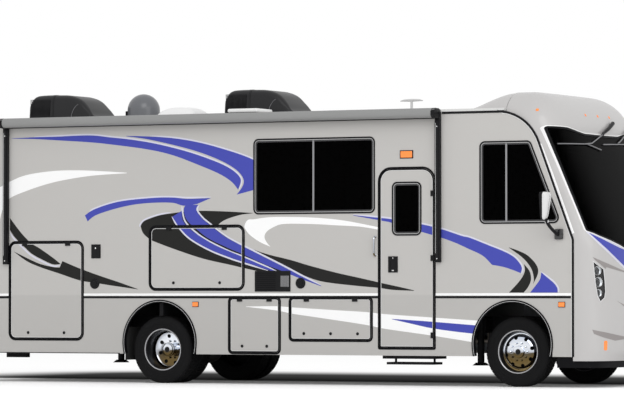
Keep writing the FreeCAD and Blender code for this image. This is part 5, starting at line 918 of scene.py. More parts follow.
PALE_RUNS = [
    [(34, 137.0), (56, 135.9), (89, 134.5), (110, 136.5), (133, 139.0), (159, 143.6), (188, 151.0),
     (214, 160.0), (229, 167.0), (238.6, 174.4), (241.8, 181), (238.8, 190)],
    [(150, 135.7), (175.5, 137.6), (201, 142.1), (226.5, 149.1), (247, 156.1), (260, 162)],
    [(89.5, 211.6), (95.5, 208.0), (119.4, 200.7), (152.6, 197.1), (172.5, 196.7), (187.7, 197.6),
     (211, 197.0)],
    [(140.0, 227), (140.4, 224), (145.5, 219.2), (159, 214.5), (171, 212.5)],
    [(171.8, 216.7), (177.6, 226), (189.4, 238.6), (209.6, 250.3), (229.8, 258.4), (242.2, 262.5),
     (268, 270.6)],
    [(181.8, 205.5), (182.6, 212), (185.0, 221), (192, 229), (206, 239.5), (228, 250.6),
     (242.4, 256.2), (262, 264.6), (277, 271.2)],
    [(199.3, 204.8), (197.3, 210), (202.6, 217.4), (208, 222.0), (226, 236.0), (243.0, 245.2),
     (264.4, 256.0), (284.6, 266.2), (303.6, 276.3), (321, 285.2)],
    [(9.9, 232.2), (14.0, 238.7), (23.1, 247.9), (31.2, 255.3), (42.1, 261.4), (53, 266.0),
     (60.4, 265.4)],
    [(353.3, 214.6), (379, 216.9), (392, 218.4), (422, 223.5), (442, 228.4), (462, 235.1),
     (470, 237.0), (489.9, 244.9), (503.2, 250.2), (513.8, 255.8), (519.8, 261.9), (522.8, 268.1),
     (521.6, 274.0)],
    [(540.6, 271.6), (548.6, 277.4), (554.6, 282.6), (558.1, 287.8), (558.6, 292.6)],
]


def side_doors(side):
    return RIGHT_DOORS if side < 0 else LEFT_DOORS


def side_windows(side):
    return RIGHT_WINDOWS if side < 0 else LEFT_WINDOWS


def side_name(side):
    return "right" if side < 0 else "left"


def window_loop(corners, grow=0.0):
    corner = WINDOW_CORNER + grow
    return rounded(grown(corners, grow), [corner] * 4)


def through_wall(name, side, loop):
    """Closed tool through the side wall, with this outline."""
    return slab(name, loop, on_side(side, -0.1), on_side(side, 0.1), None)


def wall_cutters(side):
    """Closed tools for what the wall's own sheets keep clear of."""
    tools = [through_wall("window tool", side, window_loop(corners, CLEAR_OF_GLASS))
             for corners, _ in side_windows(side)]
    tools += [through_wall("door tool", side, door_loop(door, DOOR_GAP + CLEAR_OF_GAP))
              for door in side_doors(side)]
    for axle_x in (FRONT_AXLE_X, REAR_AXLE_X):
        loop = [(axle_x + ARCH_RADIUS * c, ARCH_CENTRE + ARCH_RADIUS * s) for c, s in around(72)]
        tools.append(through_wall("arch tool", side, loop))
    back, ahead, above = ROOF_JOINT_X - 0.1, NOSE_X + 0.65, CREST_Z + 0.3
    loop = [(SEAM_X - CLEAR_OF_GAP, 0.1)] + [(x - CLEAR_OF_GAP, z) for x, z in seam_path()] + [
        (back, WALL_TOP), (back, above), (ahead, above), (ahead, 0.1)]
    tools.append(through_wall("seam tool", side, loop))
    return tools


class COACH_OT_stripes(bpy.types.Operator):
    """Lays the swept shapes on both side walls and on the doors they cross"""
    bl_idname = "coach.stripes"
    bl_label = "Side Stripes"

    def execute(self, context):
        for side in (-1, 1):
            tools = wall_cutters(side)
            layers = self.layers(side)
            for door in side_doors(side):
                keeper = through_wall("leaf keeper", side, door_loop(door, -0.001))
                panes = []
                if door == "entry_door":
                    pane = window_loop(DOOR_WINDOW, CLEAR_OF_GLASS)
                    panes.append(through_wall("pane tool", side, pane))
                for colour, sheet in layers.items():
                    share = boolean(copied(sheet, door + " " + colour), [keeper], "INTERSECT")
                    if panes:
                        share = boolean(share, panes)
                    if len(share.data.polygons):
                        hang(share, door)
                    else:
                        removed([share])
                removed([keeper] + panes)
            for colour, sheet in layers.items():
                sheet.name = side_name(side) + " wall " + colour + " shapes"
                boolean(sheet, tools)
                hang(sheet, "coach")
            removed(tools)
        return {"FINISHED"}

    def layers(self, side):
        """One joined sheet for each colour, each colour at its own height."""
        heights = {"dark": 0.0004, "white": 0.0006, "pale": 0.0008, "blue": 0.0010}
        shapes = {"dark": DARK_SHAPES, "white": WHITE_SHAPES, "blue": BLUE_SHAPES}
        layers = {}
        for colour, proud in heights.items():
            material = paint(colour)
            if colour == "pale":
                width = bpy.context.scene.coach_trim.pale_edge
                parts = [edge_band("pale edge", run, width, proud, material, side)
                         for run in PALE_RUNS]
            else:
                parts = [panel_shape(colour + " shape", runs, proud, material, side)
                         for runs in shapes[colour]]
            layers[colour] = self.merged(parts)
        return layers

    def merged(self, parts):
        first = parts[0]
        for other in parts[1:]:
            first = boolean(first, [other], "UNION")
        removed(parts[1:])
        return first


def coach_panels():
    """Material of the walls: light above the belt line, a shade darker below it."""
    material, fresh = material_named("coach wall paint", Coat_Weight=0.15, Coat_Roughness=0.12,
                                     Specular_IOR_Level=0.3)
    if not fresh:
        return material
    above = tuple(bpy.context.scene.coach_paint.body)
    tree = material.node_tree
    place = add_node(tree, "ShaderNodeTexCoord")
    spot = add_node(tree, "ShaderNodeSeparateXYZ")
    height = add_node(tree, "ShaderNodeMapRange",
                      {"From Min": BELT_Z - BELT_BLEND, "From Max": BELT_Z + BELT_BLEND})
    mix = add_node(tree, "ShaderNodeMix", data_type="RGBA")
    mix.inputs["A"].default_value = (*(c * LOWER_SHADE for c in above), 1.0)
    mix.inputs["B"].default_value = (*above, 1.0)
    wire(tree, (place.outputs["Object"], spot.inputs[0]),
         (spot.outputs["Z"], height.inputs["Value"]),
         (height.outputs["Result"], mix.inputs["Factor"]))
    return add_wear(material, mix.outputs["Result"], 0.02, 0.8, 0.36, 0.05)


def dress(name, material, *more, choose=None):
    """Gives a frame node its finishes; choose names the slot of each face."""
    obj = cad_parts[name]
    obj.data.materials.clear()
    for each in (material,) + more:
        obj.data.materials.append(each)
    slots = [0] * len(obj.data.polygons)
    if choose:
        slots = [choose(p.center, p.normal) for p in obj.data.polygons]
    obj.data.polygons.foreach_set("material_index", slots)
    obj.data.update()
    return obj


class COACH_OT_body(bpy.types.Operator):
    """Paints the walls, roof and door leaves and lines them inside"""
    bl_idname = "coach.body"
    bl_label = "Body Panels"

    def execute(self, context):
        wall, inside, black = coach_panels(), lining(), trim_black()

        def wall_slot(side):
            """Black for hinges outside the wall, lining for inner faces, paint for the rest."""
            def pick(centre, normal):
                if abs(centre.y) > HALF + 0.0005:
                    return 2
                return 1 if normal.y * side < -0.5 else 0
            return pick

        for side in (-1, 1):
            for panel in [side_name(side) + "_wall"] + side_doors(side):
                dress(panel, wall, inside, black, choose=wall_slot(side))
        dress("rear_wall", wall, inside, choose=lambda c, n: 1 if n.x > 0.5 else 0)
        roof_paint = worn("roof skin", tuple(context.scene.coach_paint.roof), 0.45, tone=0.03)
        dress("roof", roof_paint, inside, choose=lambda c, n: 1 if n.z < -0.5 else 0)
        dress("floor", worn("floor covering", (0.16, 0.12, 0.09), 0.6))
        dress("step_well", worn("step covering", (0.10, 0.09, 0.08), 0.7))
        dress("storage_bays", worn("bay sheet", (0.020, 0.020, 0.020), 0.6, specular=0.1))
        return {"FINISHED"}


def skin_piece(name, prism, proud, deep, material):
    """What a prism cuts out of a layer of the cap's skin."""
    outer = cap_form(name, -proud, CAP_BOTTOM, material)
    under = cap_form("under", deep, CAP_BOTTOM - 0.1, None)
    boolean(outer, [under], sharp=22.0)
    boolean(outer, [prism], "INTERSECT", sharp=22.0)
    removed([under])
    return outer


def crest_rise(y):
    """How far the cap stands above the roof at the joint, at this width."""
    low, high = WALL_TOP - 0.05, CREST_TOP - 0.0005
    for _ in range(24):
        middle = (low + high) / 2
        if cap_level(middle, 0.0)[0] > abs(y):
            low = middle
        else:
            high = middle
    return low - 0.004 - roof_z(y)


FAIRING_START = ROOF_JOINT_X - 0.610
VALANCE_FOOT = 0.235
VALANCE_BACK = SEAM_X - 0.22
# Outlines of the cap's ribbon, of the painted shade below its creases and of the painted highlight
# at its corner, as pixels of the photograph
CAP_RIBBON_EDGE = [(585.6, 229.6), (592.6, 231.6), (603.0, 236.6), (620.0, 244.6), (630.0, 249.0),
                   (633.0, 256.0), (633.0, 274.0), (624.0, 268.4), (606.0, 251.0), (586.0, 232.0)]
CAP_RIBBON = [(589.0, 232.8), (602.5, 239.0), (619.6, 247.6), (629.0, 251.5), (631.5, 257.0),
              (631.5, 271.6), (624.6, 266.4), (607.2, 249.2)]
BROW_CREASE_SHADE = [(592.6, 257.0), (607.0, 263.2), (624.0, 270.7), (640.0, 275.0), (640.0, 276.5),
               (624.0, 272.3), (606.5, 267.2), (605.5, 269.0), (600.0, 263.9), (595.0, 260.0)]
LOW_CREASE_SHADE = [(592.2, 329.7), (606.0, 332.4), (624.0, 336.4), (640.0, 338.5), (640.0, 340.0),
              (624.0, 339.3), (615.1, 340.7), (604.0, 337.6), (594.0, 334.0)]
SMALL_CREASE_SHADE = [(616.5, 300.5), (624.0, 304.6), (640.0, 311.0), (640.0, 312.5), (624.0, 306.2)]
CORNER_PAINTED_HIGHLIGHT = [(539.0, 143.6), (541.6, 143.6), (553.0, 173.0), (574.4, 233.0), (572.0, 234.0),
                (550.6, 175.0)]


class COACH_OT_front_cap(bpy.types.Operator):
    """Builds the smooth moulded front cap with its openings, and painted shade for its creases"""
    bl_idname = "coach.front_cap"
    bl_label = "Front Cap"

    def execute(self, context):
        cap = cap_form("front cap shell", 0.0, CAP_BOTTOM, paint("cap"))
        inner = cap_form("cap hollow", CAP_WALL, CAP_BOTTOM - 0.1, lining())
        tools = [inner, windshield_prism(), grille_prism()]
        tools += [self.lamp_pocket(side) for side in (-1, 1)]
        ahead = ahead_of_seam()
        boolean(cap, [ahead], "INTERSECT", sharp=22.0)
        boolean(cap, tools, sharp=22.0)
        removed(tools + [ahead])
        hang(cap, "coach")
        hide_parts("front_cap")
        self.graphics()
        self.fairing()
        self.valance()
        return {"FINISHED"}

    def graphics(self):
        """Blue ribbon, its pale edges, the painted shade of the creases and the painted highlight
        at the corner, on both halves of the cap.
        """
        # Painted shade: darker grey patches stand for the shade below the cap's creases
        shade = worn("cap crease shade", (0.270, 0.250, 0.245), 0.5)
        layers = ((CAP_RIBBON_EDGE, 0.0008, paint("pale")), (CAP_RIBBON, 0.0014, paint("blue")),
                  (BROW_CREASE_SHADE, 0.0008, shade), (LOW_CREASE_SHADE, 0.0008, shade),
                  (SMALL_CREASE_SHADE, 0.0008, shade),
                  # Painted highlight: a near white streak along the cap's corner pillar
                  (CORNER_PAINTED_HIGHLIGHT, 0.0008, worn("cap corner light", (0.86, 0.86, 0.86), 0.3)))
        parts = []
        for pixels, proud, material in layers:
            tool = view_prism("graphic tool", pixels)
            part = skin_piece("cap graphic", tool, proud, 0.003, material)
            removed([tool])
            if len(part.data.polygons):
                parts += [part, mirrored(part, "cap graphic left")]
        hang(joined("cap graphics", parts), "coach")

    def valance(self):
        """Black band set back under the cap's lower edge, a valance whose black also stands for the
        shade under the cap.
        """
        loops = []
        for inset, z in ((0.035, VALANCE_FOOT), (0.030, CAP_BOTTOM + 0.030),
                         (0.060, CAP_BOTTOM + 0.030), (0.060, VALANCE_FOOT)):
            half, nose, corner, _ = cap_level(CAP_BOTTOM + 0.001, inset)
            loops.append(cap_plan(z, half, nose, corner, VALANCE_BACK))
        band = loft("lower band", loops, seal_black(), wrap=True, closed=False)
        ends = bmesh.new()
        ends.from_mesh(band.data)
        bmesh.ops.holes_fill(ends, edges=[e for e in ends.edges if e.is_boundary])
        ends.to_mesh(band.data)
        ends.free()
        hang(finish_mesh(band), "coach")

    def fairing(self):
        """Roof skin rising to the crest of the cap, behind the joint."""
        loops = []
        for k in range(13):
            x = FAIRING_START + (ROOF_JOINT_X - 0.004 - FAIRING_START) * k / 12
            t = min((x - FAIRING_START) / (ROOF_JOINT_X - FAIRING_START), 1.0)
            share = t * (1 + 1.05 * t * (1 - t))
            top = []
            for i in range(41):
                angle = math.pi * i / 40
                y = -(HALF - 0.012) * math.cos(angle)
                top.append((y, roof_z(y) - 0.003 + share * max(0.0, crest_rise(y))))
            foot = [(HALF - 0.02, WALL_TOP - 0.030), (-HALF + 0.02, WALL_TOP - 0.030)]
            loops.append([Vector((x, y, z)) for y, z in top + foot])
        line = []
        for x in (ROOF_JOINT_X - 0.006, ROOF_JOINT_X + 0.004):
            line.append([Vector((x, y, z + (0.0035 if z > WALL_TOP - 0.02 else 0.0)))
                         for _, y, z in loops[-1]])
        parts = [loft("roof fairing", loops, paint("cap"), sharp=30.0),
                 loft("roof joint line", line, seal_black(), sharp=30.0)]
        hang(joined("roof fairing", parts), "coach")

    def lamp_pocket(self, side):
        prism = lamp_prism(side)
        floor = cap_form("lamp floor", 0.024, CAP_BOTTOM - 0.1, None)
        pocket = boolean(prism, [floor])
        removed([floor])
        return pocket


# Repeated pieces by geometry nodes
NUT_SIDES = 6
NUT_TAPER = 0.72


def ring_tree(kind):
    """Tree that stands blocks or six-sided nuts in a ring about Y and names their finish."""
    name = "ring of " + kind
    tree = bpy.data.node_groups.get(name)
    if tree:
        return tree
    tree, given, result = new_tree(
        name, "GeometryNodeTree",
        (("Count", "Int", 12), ("Radius", "Float", 0.1), ("Along", "Float", 0.02),
         ("Across", "Float", 0.02), ("Height", "Float", 0.02), ("Skew", "Float", 0.0),
         ("Finish", "Material", None)), (("Geometry", "Geometry"),))
    circle = add_node(tree, "GeometryNodeMeshCircle")
    if kind == "blocks":
        piece = add_node(tree, "GeometryNodeMeshCube")
        size = add_node(tree, "ShaderNodeCombineXYZ")
        wire(tree, (given["Height"], size.inputs["X"]), (given["Along"], size.inputs["Y"]),
             (given["Across"], size.inputs["Z"]), (size.outputs[0], piece.inputs["Size"]))
    else:
        piece = add_node(tree, "GeometryNodeMeshCone", {"Vertices": NUT_SIDES})
        taper = add_node(tree, "ShaderNodeMath", {1: NUT_TAPER}, operation="MULTIPLY")
        wire(tree, (given["Along"], piece.inputs["Radius Bottom"]),
             (given["Along"], taper.inputs[0]), (taper.outputs[0], piece.inputs["Radius Top"]),
             (given["Height"], piece.inputs["Depth"]))
    place = add_node(tree, "GeometryNodeInputPosition")
    spot = add_node(tree, "ShaderNodeSeparateXYZ")
    angle = add_node(tree, "ShaderNodeMath", operation="ARCTAN2")
    turn = add_node(tree, "ShaderNodeCombineXYZ")
    spread = add_node(tree, "GeometryNodeInstanceOnPoints")
    skew = add_node(tree, "ShaderNodeCombineXYZ")
    skewed = add_node(tree, "GeometryNodeRotateInstances")
    stand = add_node(tree, "GeometryNodeTransform", {"Rotation": (math.radians(90), 0.0, 0.0)})
    real = add_node(tree, "GeometryNodeRealizeInstances")
    finish = add_node(tree, "GeometryNodeSetMaterial")
    wire(tree, (given["Count"], circle.inputs["Vertices"]),
         (given["Radius"], circle.inputs["Radius"]),
         (place.outputs[0], spot.inputs[0]), (spot.outputs["Y"], angle.inputs[0]),
         (spot.outputs["X"], angle.inputs[1]), (angle.outputs[0], turn.inputs["Z"]),
         (circle.outputs["Mesh"], spread.inputs["Points"]),
         (piece.outputs["Mesh"], spread.inputs["Instance"]),
         (turn.outputs[0], spread.inputs["Rotation"]), (given["Skew"], skew.inputs["X"]),
         (spread.outputs[0], skewed.inputs["Instances"]),
         (skew.outputs[0], skewed.inputs["Rotation"]),
         (skewed.outputs[0], stand.inputs["Geometry"]),
         (stand.outputs[0], real.inputs[0]), (real.outputs[0], finish.inputs["Geometry"]),
         (given["Finish"], finish.inputs["Material"]), (finish.outputs[0], result["Geometry"]))
    return tree


def row_tree():
    """Tree that repeats a block along a line between two places and names its finish."""
    tree = bpy.data.node_groups.get("row of blocks")
    if tree:
        return tree
    tree, given, result = new_tree(
        "row of blocks", "GeometryNodeTree",
        (("Count", "Int", 8), ("Start", "Vector", None), ("Step", "Vector", None),
         ("Size", "Vector", None), ("Finish", "Material", None)), (("Geometry", "Geometry"),))
    line = add_node(tree, "GeometryNodeMeshLine")
    piece = add_node(tree, "GeometryNodeMeshCube")
    spread = add_node(tree, "GeometryNodeInstanceOnPoints")
    real = add_node(tree, "GeometryNodeRealizeInstances")
    finish = add_node(tree, "GeometryNodeSetMaterial")
    wire(tree, (given["Count"], line.inputs["Count"]),
         (given["Start"], line.inputs["Start Location"]), (given["Step"], line.inputs["Offset"]),
         (given["Size"], piece.inputs["Size"]), (line.outputs[0], spread.inputs["Points"]),
         (piece.outputs["Mesh"], spread.inputs["Instance"]),
         (spread.outputs[0], real.inputs[0]), (real.outputs[0], finish.inputs["Geometry"]),
         (given["Finish"], finish.inputs["Material"]), (finish.outputs[0], result["Geometry"]))
    return tree


def grown_by_nodes(name, tree, values, move=None, sharp=35.0):
    """Runs a tree on an empty mesh and keeps the result as a plain mesh."""
    obj = bpy.data.objects.new(name, bpy.data.meshes.new(name))
    bpy.context.scene.collection.objects.link(obj)
    modifier = obj.modifiers.new("nodes", "NODES")
    modifier.node_group = tree
    for item in tree.interface.items_tree:
        if item.item_type == "SOCKET" and item.in_out == "INPUT" and item.name in values:
            modifier[item.identifier] = values[item.name]
    applied(obj, sharp)
    if move:
        for vertex in obj.data.vertices:
            vertex.co += Vector(move)
    return obj


def row_of_blocks(name, count, start, step, size, material):
    values = {"Count": count, "Start": tuple(start), "Step": tuple(step), "Size": tuple(size),
              "Finish": material}
    return grown_by_nodes(name, row_tree(), values)


# Wheels
FRONT_WHEEL_Y = 0.995
REAR_OUTER_Y = 1.080
REAR_INNER_Y = 0.800
TYRE_PROFILE = [(0.409, 0.0), (0.409, 0.098), (0.410, 0.104), (0.403, 0.1125), (0.392, 0.1155),
                (0.389, 0.1185), (0.372, 0.1215), (0.352, 0.1225), (0.332, 0.1215), (0.331, 0.1228),
                (0.325, 0.1228), (0.324, 0.1195), (0.300, 0.1150), (0.299, 0.1165), (0.292, 0.1150),
                (0.291, 0.1130), (0.275, 0.1085), (0.263, 0.1070), (0.252, 0.1030), (0.249, 0.0960),
                (0.262, 0.0880), (0.300, 0.1000), (0.350, 0.1100), (0.380, 0.1060), (0.397, 0.0850),
                (0.399, 0.0)]
RIM_PROFILE = [(0.2610, 0.1100), (0.2622, 0.1060), (0.2600, 0.1030), (0.2500, 0.0960),
               (0.2480, 0.0900), (0.2380, 0.0500), (0.2380, -0.0500), (0.2480, -0.0900),
               (0.2500, -0.0960), (0.2600, -0.1030), (0.2622, -0.1060), (0.2610, -0.1100),
               (0.2560, -0.1100), (0.2420, -0.1000), (0.2400, -0.0880), (0.2300, -0.0480),
               (0.2300, 0.0480), (0.2400, 0.0880), (0.2420, 0.1000), (0.2490, 0.1085),
               (0.2560, 0.1100)]
FRONT_DISC = [(0.2330, 0.0300), (0.2250, 0.0220), (0.2150, 0.0210), (0.2060, 0.0300),
              (0.1980, 0.0480), (0.1850, 0.0600), (0.1700, 0.0680), (0.1500, 0.0740),
              (0.1300, 0.0780), (0.1150, 0.0790), (0.0700, 0.0790)]
REAR_DISC = [(0.2330, -0.0920), (0.2250, -0.1120), (0.2100, -0.1240), (0.1900, -0.1300),
             (0.1600, -0.1340), (0.1300, -0.1350), (0.0700, -0.1350)]
HUB_CAP = [(0.0860, -0.006), (0.0860, 0.006), (0.0800, 0.011), (0.0740, 0.012), (0.0720, 0.030),
           (0.0690, 0.036), (0.0600, 0.040), (0.0400, 0.043), (0.0340, 0.043), (0.0320, 0.036),
           (0.0050, 0.036), (0.0005, 0.036), (0.0005, -0.006)]
HUB_CAP_RISE = 0.043
# Rounded lip that shows round the disc, and the shield behind the front rim's hand holes
RIM_LIP = [(0.2616, 0.1100), (0.2600, 0.1120), (0.2540, 0.1122), (0.2480, 0.1095), (0.2470, 0.1050),
           (0.2600, 0.1040)]
BRAKE_SHIELD = [(0.2295, 0.014), (0.2295, 0.009), (0.1350, 0.009), (0.1350, 0.014)]
TREAD_ROWS = ((0.030, -0.083), (0.030, -0.0425), (0.034, 0.0), (0.030, 0.0425), (0.030, 0.083))
TREAD_BLOCKS = 60
TREAD_SKEW = 0.12
DISC_SHEET = 0.008
HAND_HOLES = 8
HAND_HOLE_RADIUS = 0.024
HAND_HOLE_CIRCLE = 0.172
LUG_NUTS = 10
LUG_CIRCLE = 0.107


def rubber():
    return worn("tyre rubber", (0.007, 0.007, 0.0075), 0.72, tone=0.25, scale=9.0, change=0.1,
                specular=0.12)


def outwards(profile, side):
    return [(r, side * out) for r, out in profile]


def whole_profile(half):
    """Closed section from its outer half; the first and last points lie on the middle line."""
    other = [(r, -out) for r, out in reversed(half[1:-1])]
    return half + other


def coach_tyre(name, centre):
    body = turned(name, whole_profile(TYRE_PROFILE), centre, rubber(), segments=120, sharp=28.0)
    blocks = []
    for row, (across, out) in enumerate(TREAD_ROWS):
        values = {"Count": TREAD_BLOCKS, "Radius": TYRE_RADIUS - 0.0075, "Along": 0.038,
                  "Across": across, "Height": 0.0135,
                  "Skew": TREAD_SKEW if row % 2 else -TREAD_SKEW, "Finish": rubber()}
        blocks.append(grown_by_nodes("tread", ring_tree("blocks"), values,
                                     centre + Vector((0, out, 0))))
    return joined(name, [body] + blocks)


def wheel_disc(name, profile, side, centre, material, pierced=True):
    sheet = [(r, out - DISC_SHEET) for r, out in reversed(profile)]
    disc = turned(name, outwards(profile + sheet, side), centre, material, sharp=24.0)
    if not pierced:
        return disc
    holes = []
    for i in range(HAND_HOLES):
        angle = 2 * math.pi * (i + 0.33) / HAND_HOLES
        x = centre.x + HAND_HOLE_CIRCLE * math.cos(angle)
        z = centre.z + HAND_HOLE_CIRCLE * math.sin(angle)
        holes.append(tube("hand hole", [(x, centre.y - 0.3, z), (x, centre.y + 0.3, z)],
                          HAND_HOLE_RADIUS, None, sides=24))
    boolean(disc, holes, sharp=24.0)
    removed(holes)
    return disc


def rim_parts(name, centre, side, disc_profile, hub_out):
    """Rim, pressed disc, nuts and hub of a wheel that faces the given side."""
    # Wheel chrome paints its reflection, split at the wheel's centre height
    bright = chrome("wheel chrome", centre.z)
    # The near black of the rim barrel is painted shade in the recess between the rim lip and the
    # disc
    parts = [turned(name, outwards(RIM_PROFILE, side), centre,
                    worn("dark rim barrel", (0.020, 0.020, 0.022), 0.3, metallic=0.6), sharp=24.0),
             turned("rim lip", outwards(RIM_LIP, side), centre,
                    worn("rim lip metal", (0.42, 0.42, 0.43), 0.22, metallic=0.8), sharp=24.0)]
    disc = wheel_disc("disc", disc_profile, side, centre, bright)
    disc.data.materials.append(under_black())
    disc.data.polygons.foreach_set("material_index", [1 if p.normal.y * side < -0.2 else 0
                                                      for p in disc.data.polygons])
    face = disc_profile[-1][1]
    nuts = {"Count": LUG_NUTS, "Radius": LUG_CIRCLE, "Along": 0.0135, "Height": 0.022, "Skew": 0.0,
            "Finish": bright}
    nut_place = centre + Vector((0, side * (face + 0.009), 0))
    ring = grown_by_nodes("nuts", ring_tree("nuts"), nuts, nut_place, sharp=20.0)
    if side > 0:
        for vertex in ring.data.vertices:
            vertex.co.y = 2 * nut_place.y - vertex.co.y
        finish_mesh(ring, 20.0)
    foot = hub_out - HUB_CAP_RISE
    barrel = [(0.0750, face - 0.006), (0.0750, foot), (0.0050, foot), (0.0050, face - 0.006)]
    centre_dark = [(0.0315, foot + 0.0335), (0.0315, foot + 0.0375), (0.0010, foot + 0.0375),
                   (0.0010, foot + 0.0335)]
    parts += [disc, ring,
              turned("hub cap", outwards(HUB_CAP, side), centre + Vector((0, side * foot, 0)),
                     bright, segments=64, sharp=24.0),
              turned("hub barrel", outwards(barrel, side), centre, bright, segments=64),
              turned("hub centre", outwards(centre_dark, side), centre, trim_black(), segments=48)]
    return parts


class COACH_OT_wheels(bpy.types.Operator):
    """Tyres with cut tread, chromed rims with hand holes, nuts and hubs"""
    bl_idname = "coach.wheels"
    bl_label = "Wheels"

    def execute(self, context):
        for side in (-1, 1):
            where = side_name(side)
            centre = Vector((FRONT_AXLE_X, side * FRONT_WHEEL_Y, TYRE_RADIUS))
            tyre = hang(coach_tyre("front tyre " + where, centre), "wheel_front_" + where)
            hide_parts("tyre_front_" + where)
            parts = rim_parts("rim", centre, side, FRONT_DISC, 0.108)
            shield = outwards(BRAKE_SHIELD, side)
            parts.append(turned("brake shield", shield, centre, under_black()))
            rim = hang(joined("front rim " + where, parts), "wheel_front_" + where)
            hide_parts("rim_front_" + where)
            outer = Vector((REAR_AXLE_X, side * REAR_OUTER_Y, TYRE_RADIUS))
            inner = Vector((REAR_AXLE_X, side * REAR_INNER_Y, TYRE_RADIUS))
            pair = joined("rear tyres " + where, [coach_tyre("outer tyre", outer),
                                                  coach_tyre("inner tyre", inner)])
            hang(pair, "wheels_rear_" + where)
            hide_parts("tyres_rear_" + where)
            parts = rim_parts("outer rim", outer, side, REAR_DISC, 0.000)
            parts.append(turned("inner rim", outwards(RIM_PROFILE, side), inner, under_black(),
                                sharp=24.0))
            inner_disc = [(r, -out) for r, out in REAR_DISC]
            parts.append(wheel_disc("inner disc", inner_disc, side, inner, under_black(), False))
            rims = hang(joined("rear rims " + where, parts), "wheels_rear_" + where)
            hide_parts("rims_rear_" + where)
        return {"FINISHED"}


# Windows
def window_parts(corners, bar_x, place_at, sunk=0.045):
    """Black frame, inner edge painted pale as its highlight, dark lip, pane and bar of one window.
    """
    loops = [window_loop(corners, -inset) for inset in (0.0, 0.020, 0.026, 0.045)]
    parts = [band_ring("window frame", loops[0], loops[1], place_at(-0.030), place_at(0.005),
                       trim_black()),
             band_ring("window edge", loops[1], loops[2], place_at(-0.030), place_at(0.002),
                       painted_edge_highlight()),
             band_ring("window lip", loops[2], loops[3], place_at(-sunk), place_at(-0.004),
                       worn("dark window lip", (0.035, 0.035, 0.037), 0.3))]
    pane = slab("window pane", window_loop(corners, -0.030), place_at(-0.012), place_at(-0.007),
                window_glass())
    if bar_x is not None:
        low = min(z for _, z in corners) + 0.032
        high = max(z for _, z in corners) - 0.032
        metal = worn("window bar", (0.30, 0.30, 0.31), 0.35, metallic=0.5)
        parts.append(slab("window bar", rectangle(bar_x - 0.011, bar_x + 0.011, low, high),
                          place_at(-0.006), place_at(0.002), metal))
    return parts, pane


class COACH_OT_windows(bpy.types.Operator):
    """Framed dark windows of the walls, the rear wall and the entry door"""
    bl_idname = "coach.windows"
    bl_label = "Windows"

    def execute(self, context):
        frames, panes = [], []
        for side in (-1, 1):
            for corners, bar_x in side_windows(side):
                parts, pane = window_parts(corners, bar_x, lambda d, s=side: on_side(s, d))
                frames += parts
                panes.append(pane)

        def behind(out):
            return lambda p: Vector((REAR_FACE_X - out, -p[0], p[1]))

        parts, pane = window_parts(REAR_WINDOW, None, behind)
        frame_piece = hang(joined("window frames", frames + parts), "coach")
        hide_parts("window_frames")
        glass_piece = hang(joined("window panes", panes + [pane]), "coach")
        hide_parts("window_glass")
        parts, pane = window_parts(DOOR_WINDOW, None, lambda d: on_side(-1, d), sunk=0.040)
        hang(joined("entry door window frame", parts), "entry_door")
        pane.name = "entry door pane"
        hang(pane, "entry_door")
        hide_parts("entry_door_glass")
        return {"FINISHED"}


class COACH_OT_seals(bpy.types.Operator):
    """Black rubber seals round every door, on the wall and on the leaf"""
    bl_idname = "coach.seals"
    bl_label = "Door Seals"

    def execute(self, context):
        trim = context.scene.coach_trim
        black, white = seal_black(), worn("pale seal edge", (0.72, 0.72, 0.72), 0.4)
        for side in (-1, 1):
            flush, deep = on_side(side, -0.002), on_side(side, -0.036)
            proud = on_side(side, trim.seal_proud)
            for door in side_doors(side):
                # Outlines from the seal's outer edge on the wall to its inner edge on the leaf
                outer, gap, reveal, leaf, lip, line = (door_loop(door, grow) for grow in (
                    DOOR_GAP + trim.seal_on_wall, DOOR_GAP, 0.003, -0.0005, -trim.seal_on_door,
                    -trim.seal_on_door - 0.006))
                rings = [band_ring("wall seal", outer, gap, flush, proud, black),
                         band_ring("strip", gap, reveal, deep, flush, black)]
                hang(joined(door + " wall seal", rings), "coach")
                hang(band_ring(door + " leaf seal", leaf, lip, flush, proud, black), door)
                hang(band_ring(door + " inner line", lip, line, on_side(side, -0.001),
                               on_side(side, 0.0016), white), door)
        return {"FINISHED"}


# Trim on the walls
def strip_on_wall(name, side, x0, x1, z0, z1, proud, material, sunk=0.002, bevel=0.0015):
    low = (x0, min(side * (HALF - sunk), side * (HALF + proud)), z0)
    high = (x1, max(side * (HALF - sunk), side * (HALF + proud)), z1)
    return block(name, low, high, material, bevel)


def band_along(name, side, path, out_by, in_by, proud, material, sunk=0.002):
    """Band that follows a path on the wall, between two distances to its left."""
    left, right = [], []
    for i, p in enumerate(path):
        along = (Vector(path[min(i + 1, len(path) - 1)]) - Vector(path[max(i - 1, 0)])).normalized()
        across = Vector((-along.y, along.x))
        left.append(Vector(p) + across * out_by)
        right.append(Vector(p) + across * in_by)
    loops = [[on_side(side, -sunk)(a), on_side(side, proud)(a), on_side(side, proud)(b),
              on_side(side, -sunk)(b)] for a, b in zip(left, right)]
    return loft(name, loops, material)


ARCH_OUTSIDE = 0.008
BELT_WHITE_FOOT = 1.0895
BELT_DARK_TOP = 1.0860
SKIRT_FOOT = (-3.9, -2.05)


def arch_path(axle_x, radius):
    reach = math.asin((SKIRT_BOTTOM + 0.001 - ARCH_CENTRE) / radius)
    count = 64
    return [(axle_x + radius * math.cos(a), ARCH_CENTRE + radius * math.sin(a))
            for a in (reach + (math.pi - 2 * reach) * k / count for k in range(count + 1))]


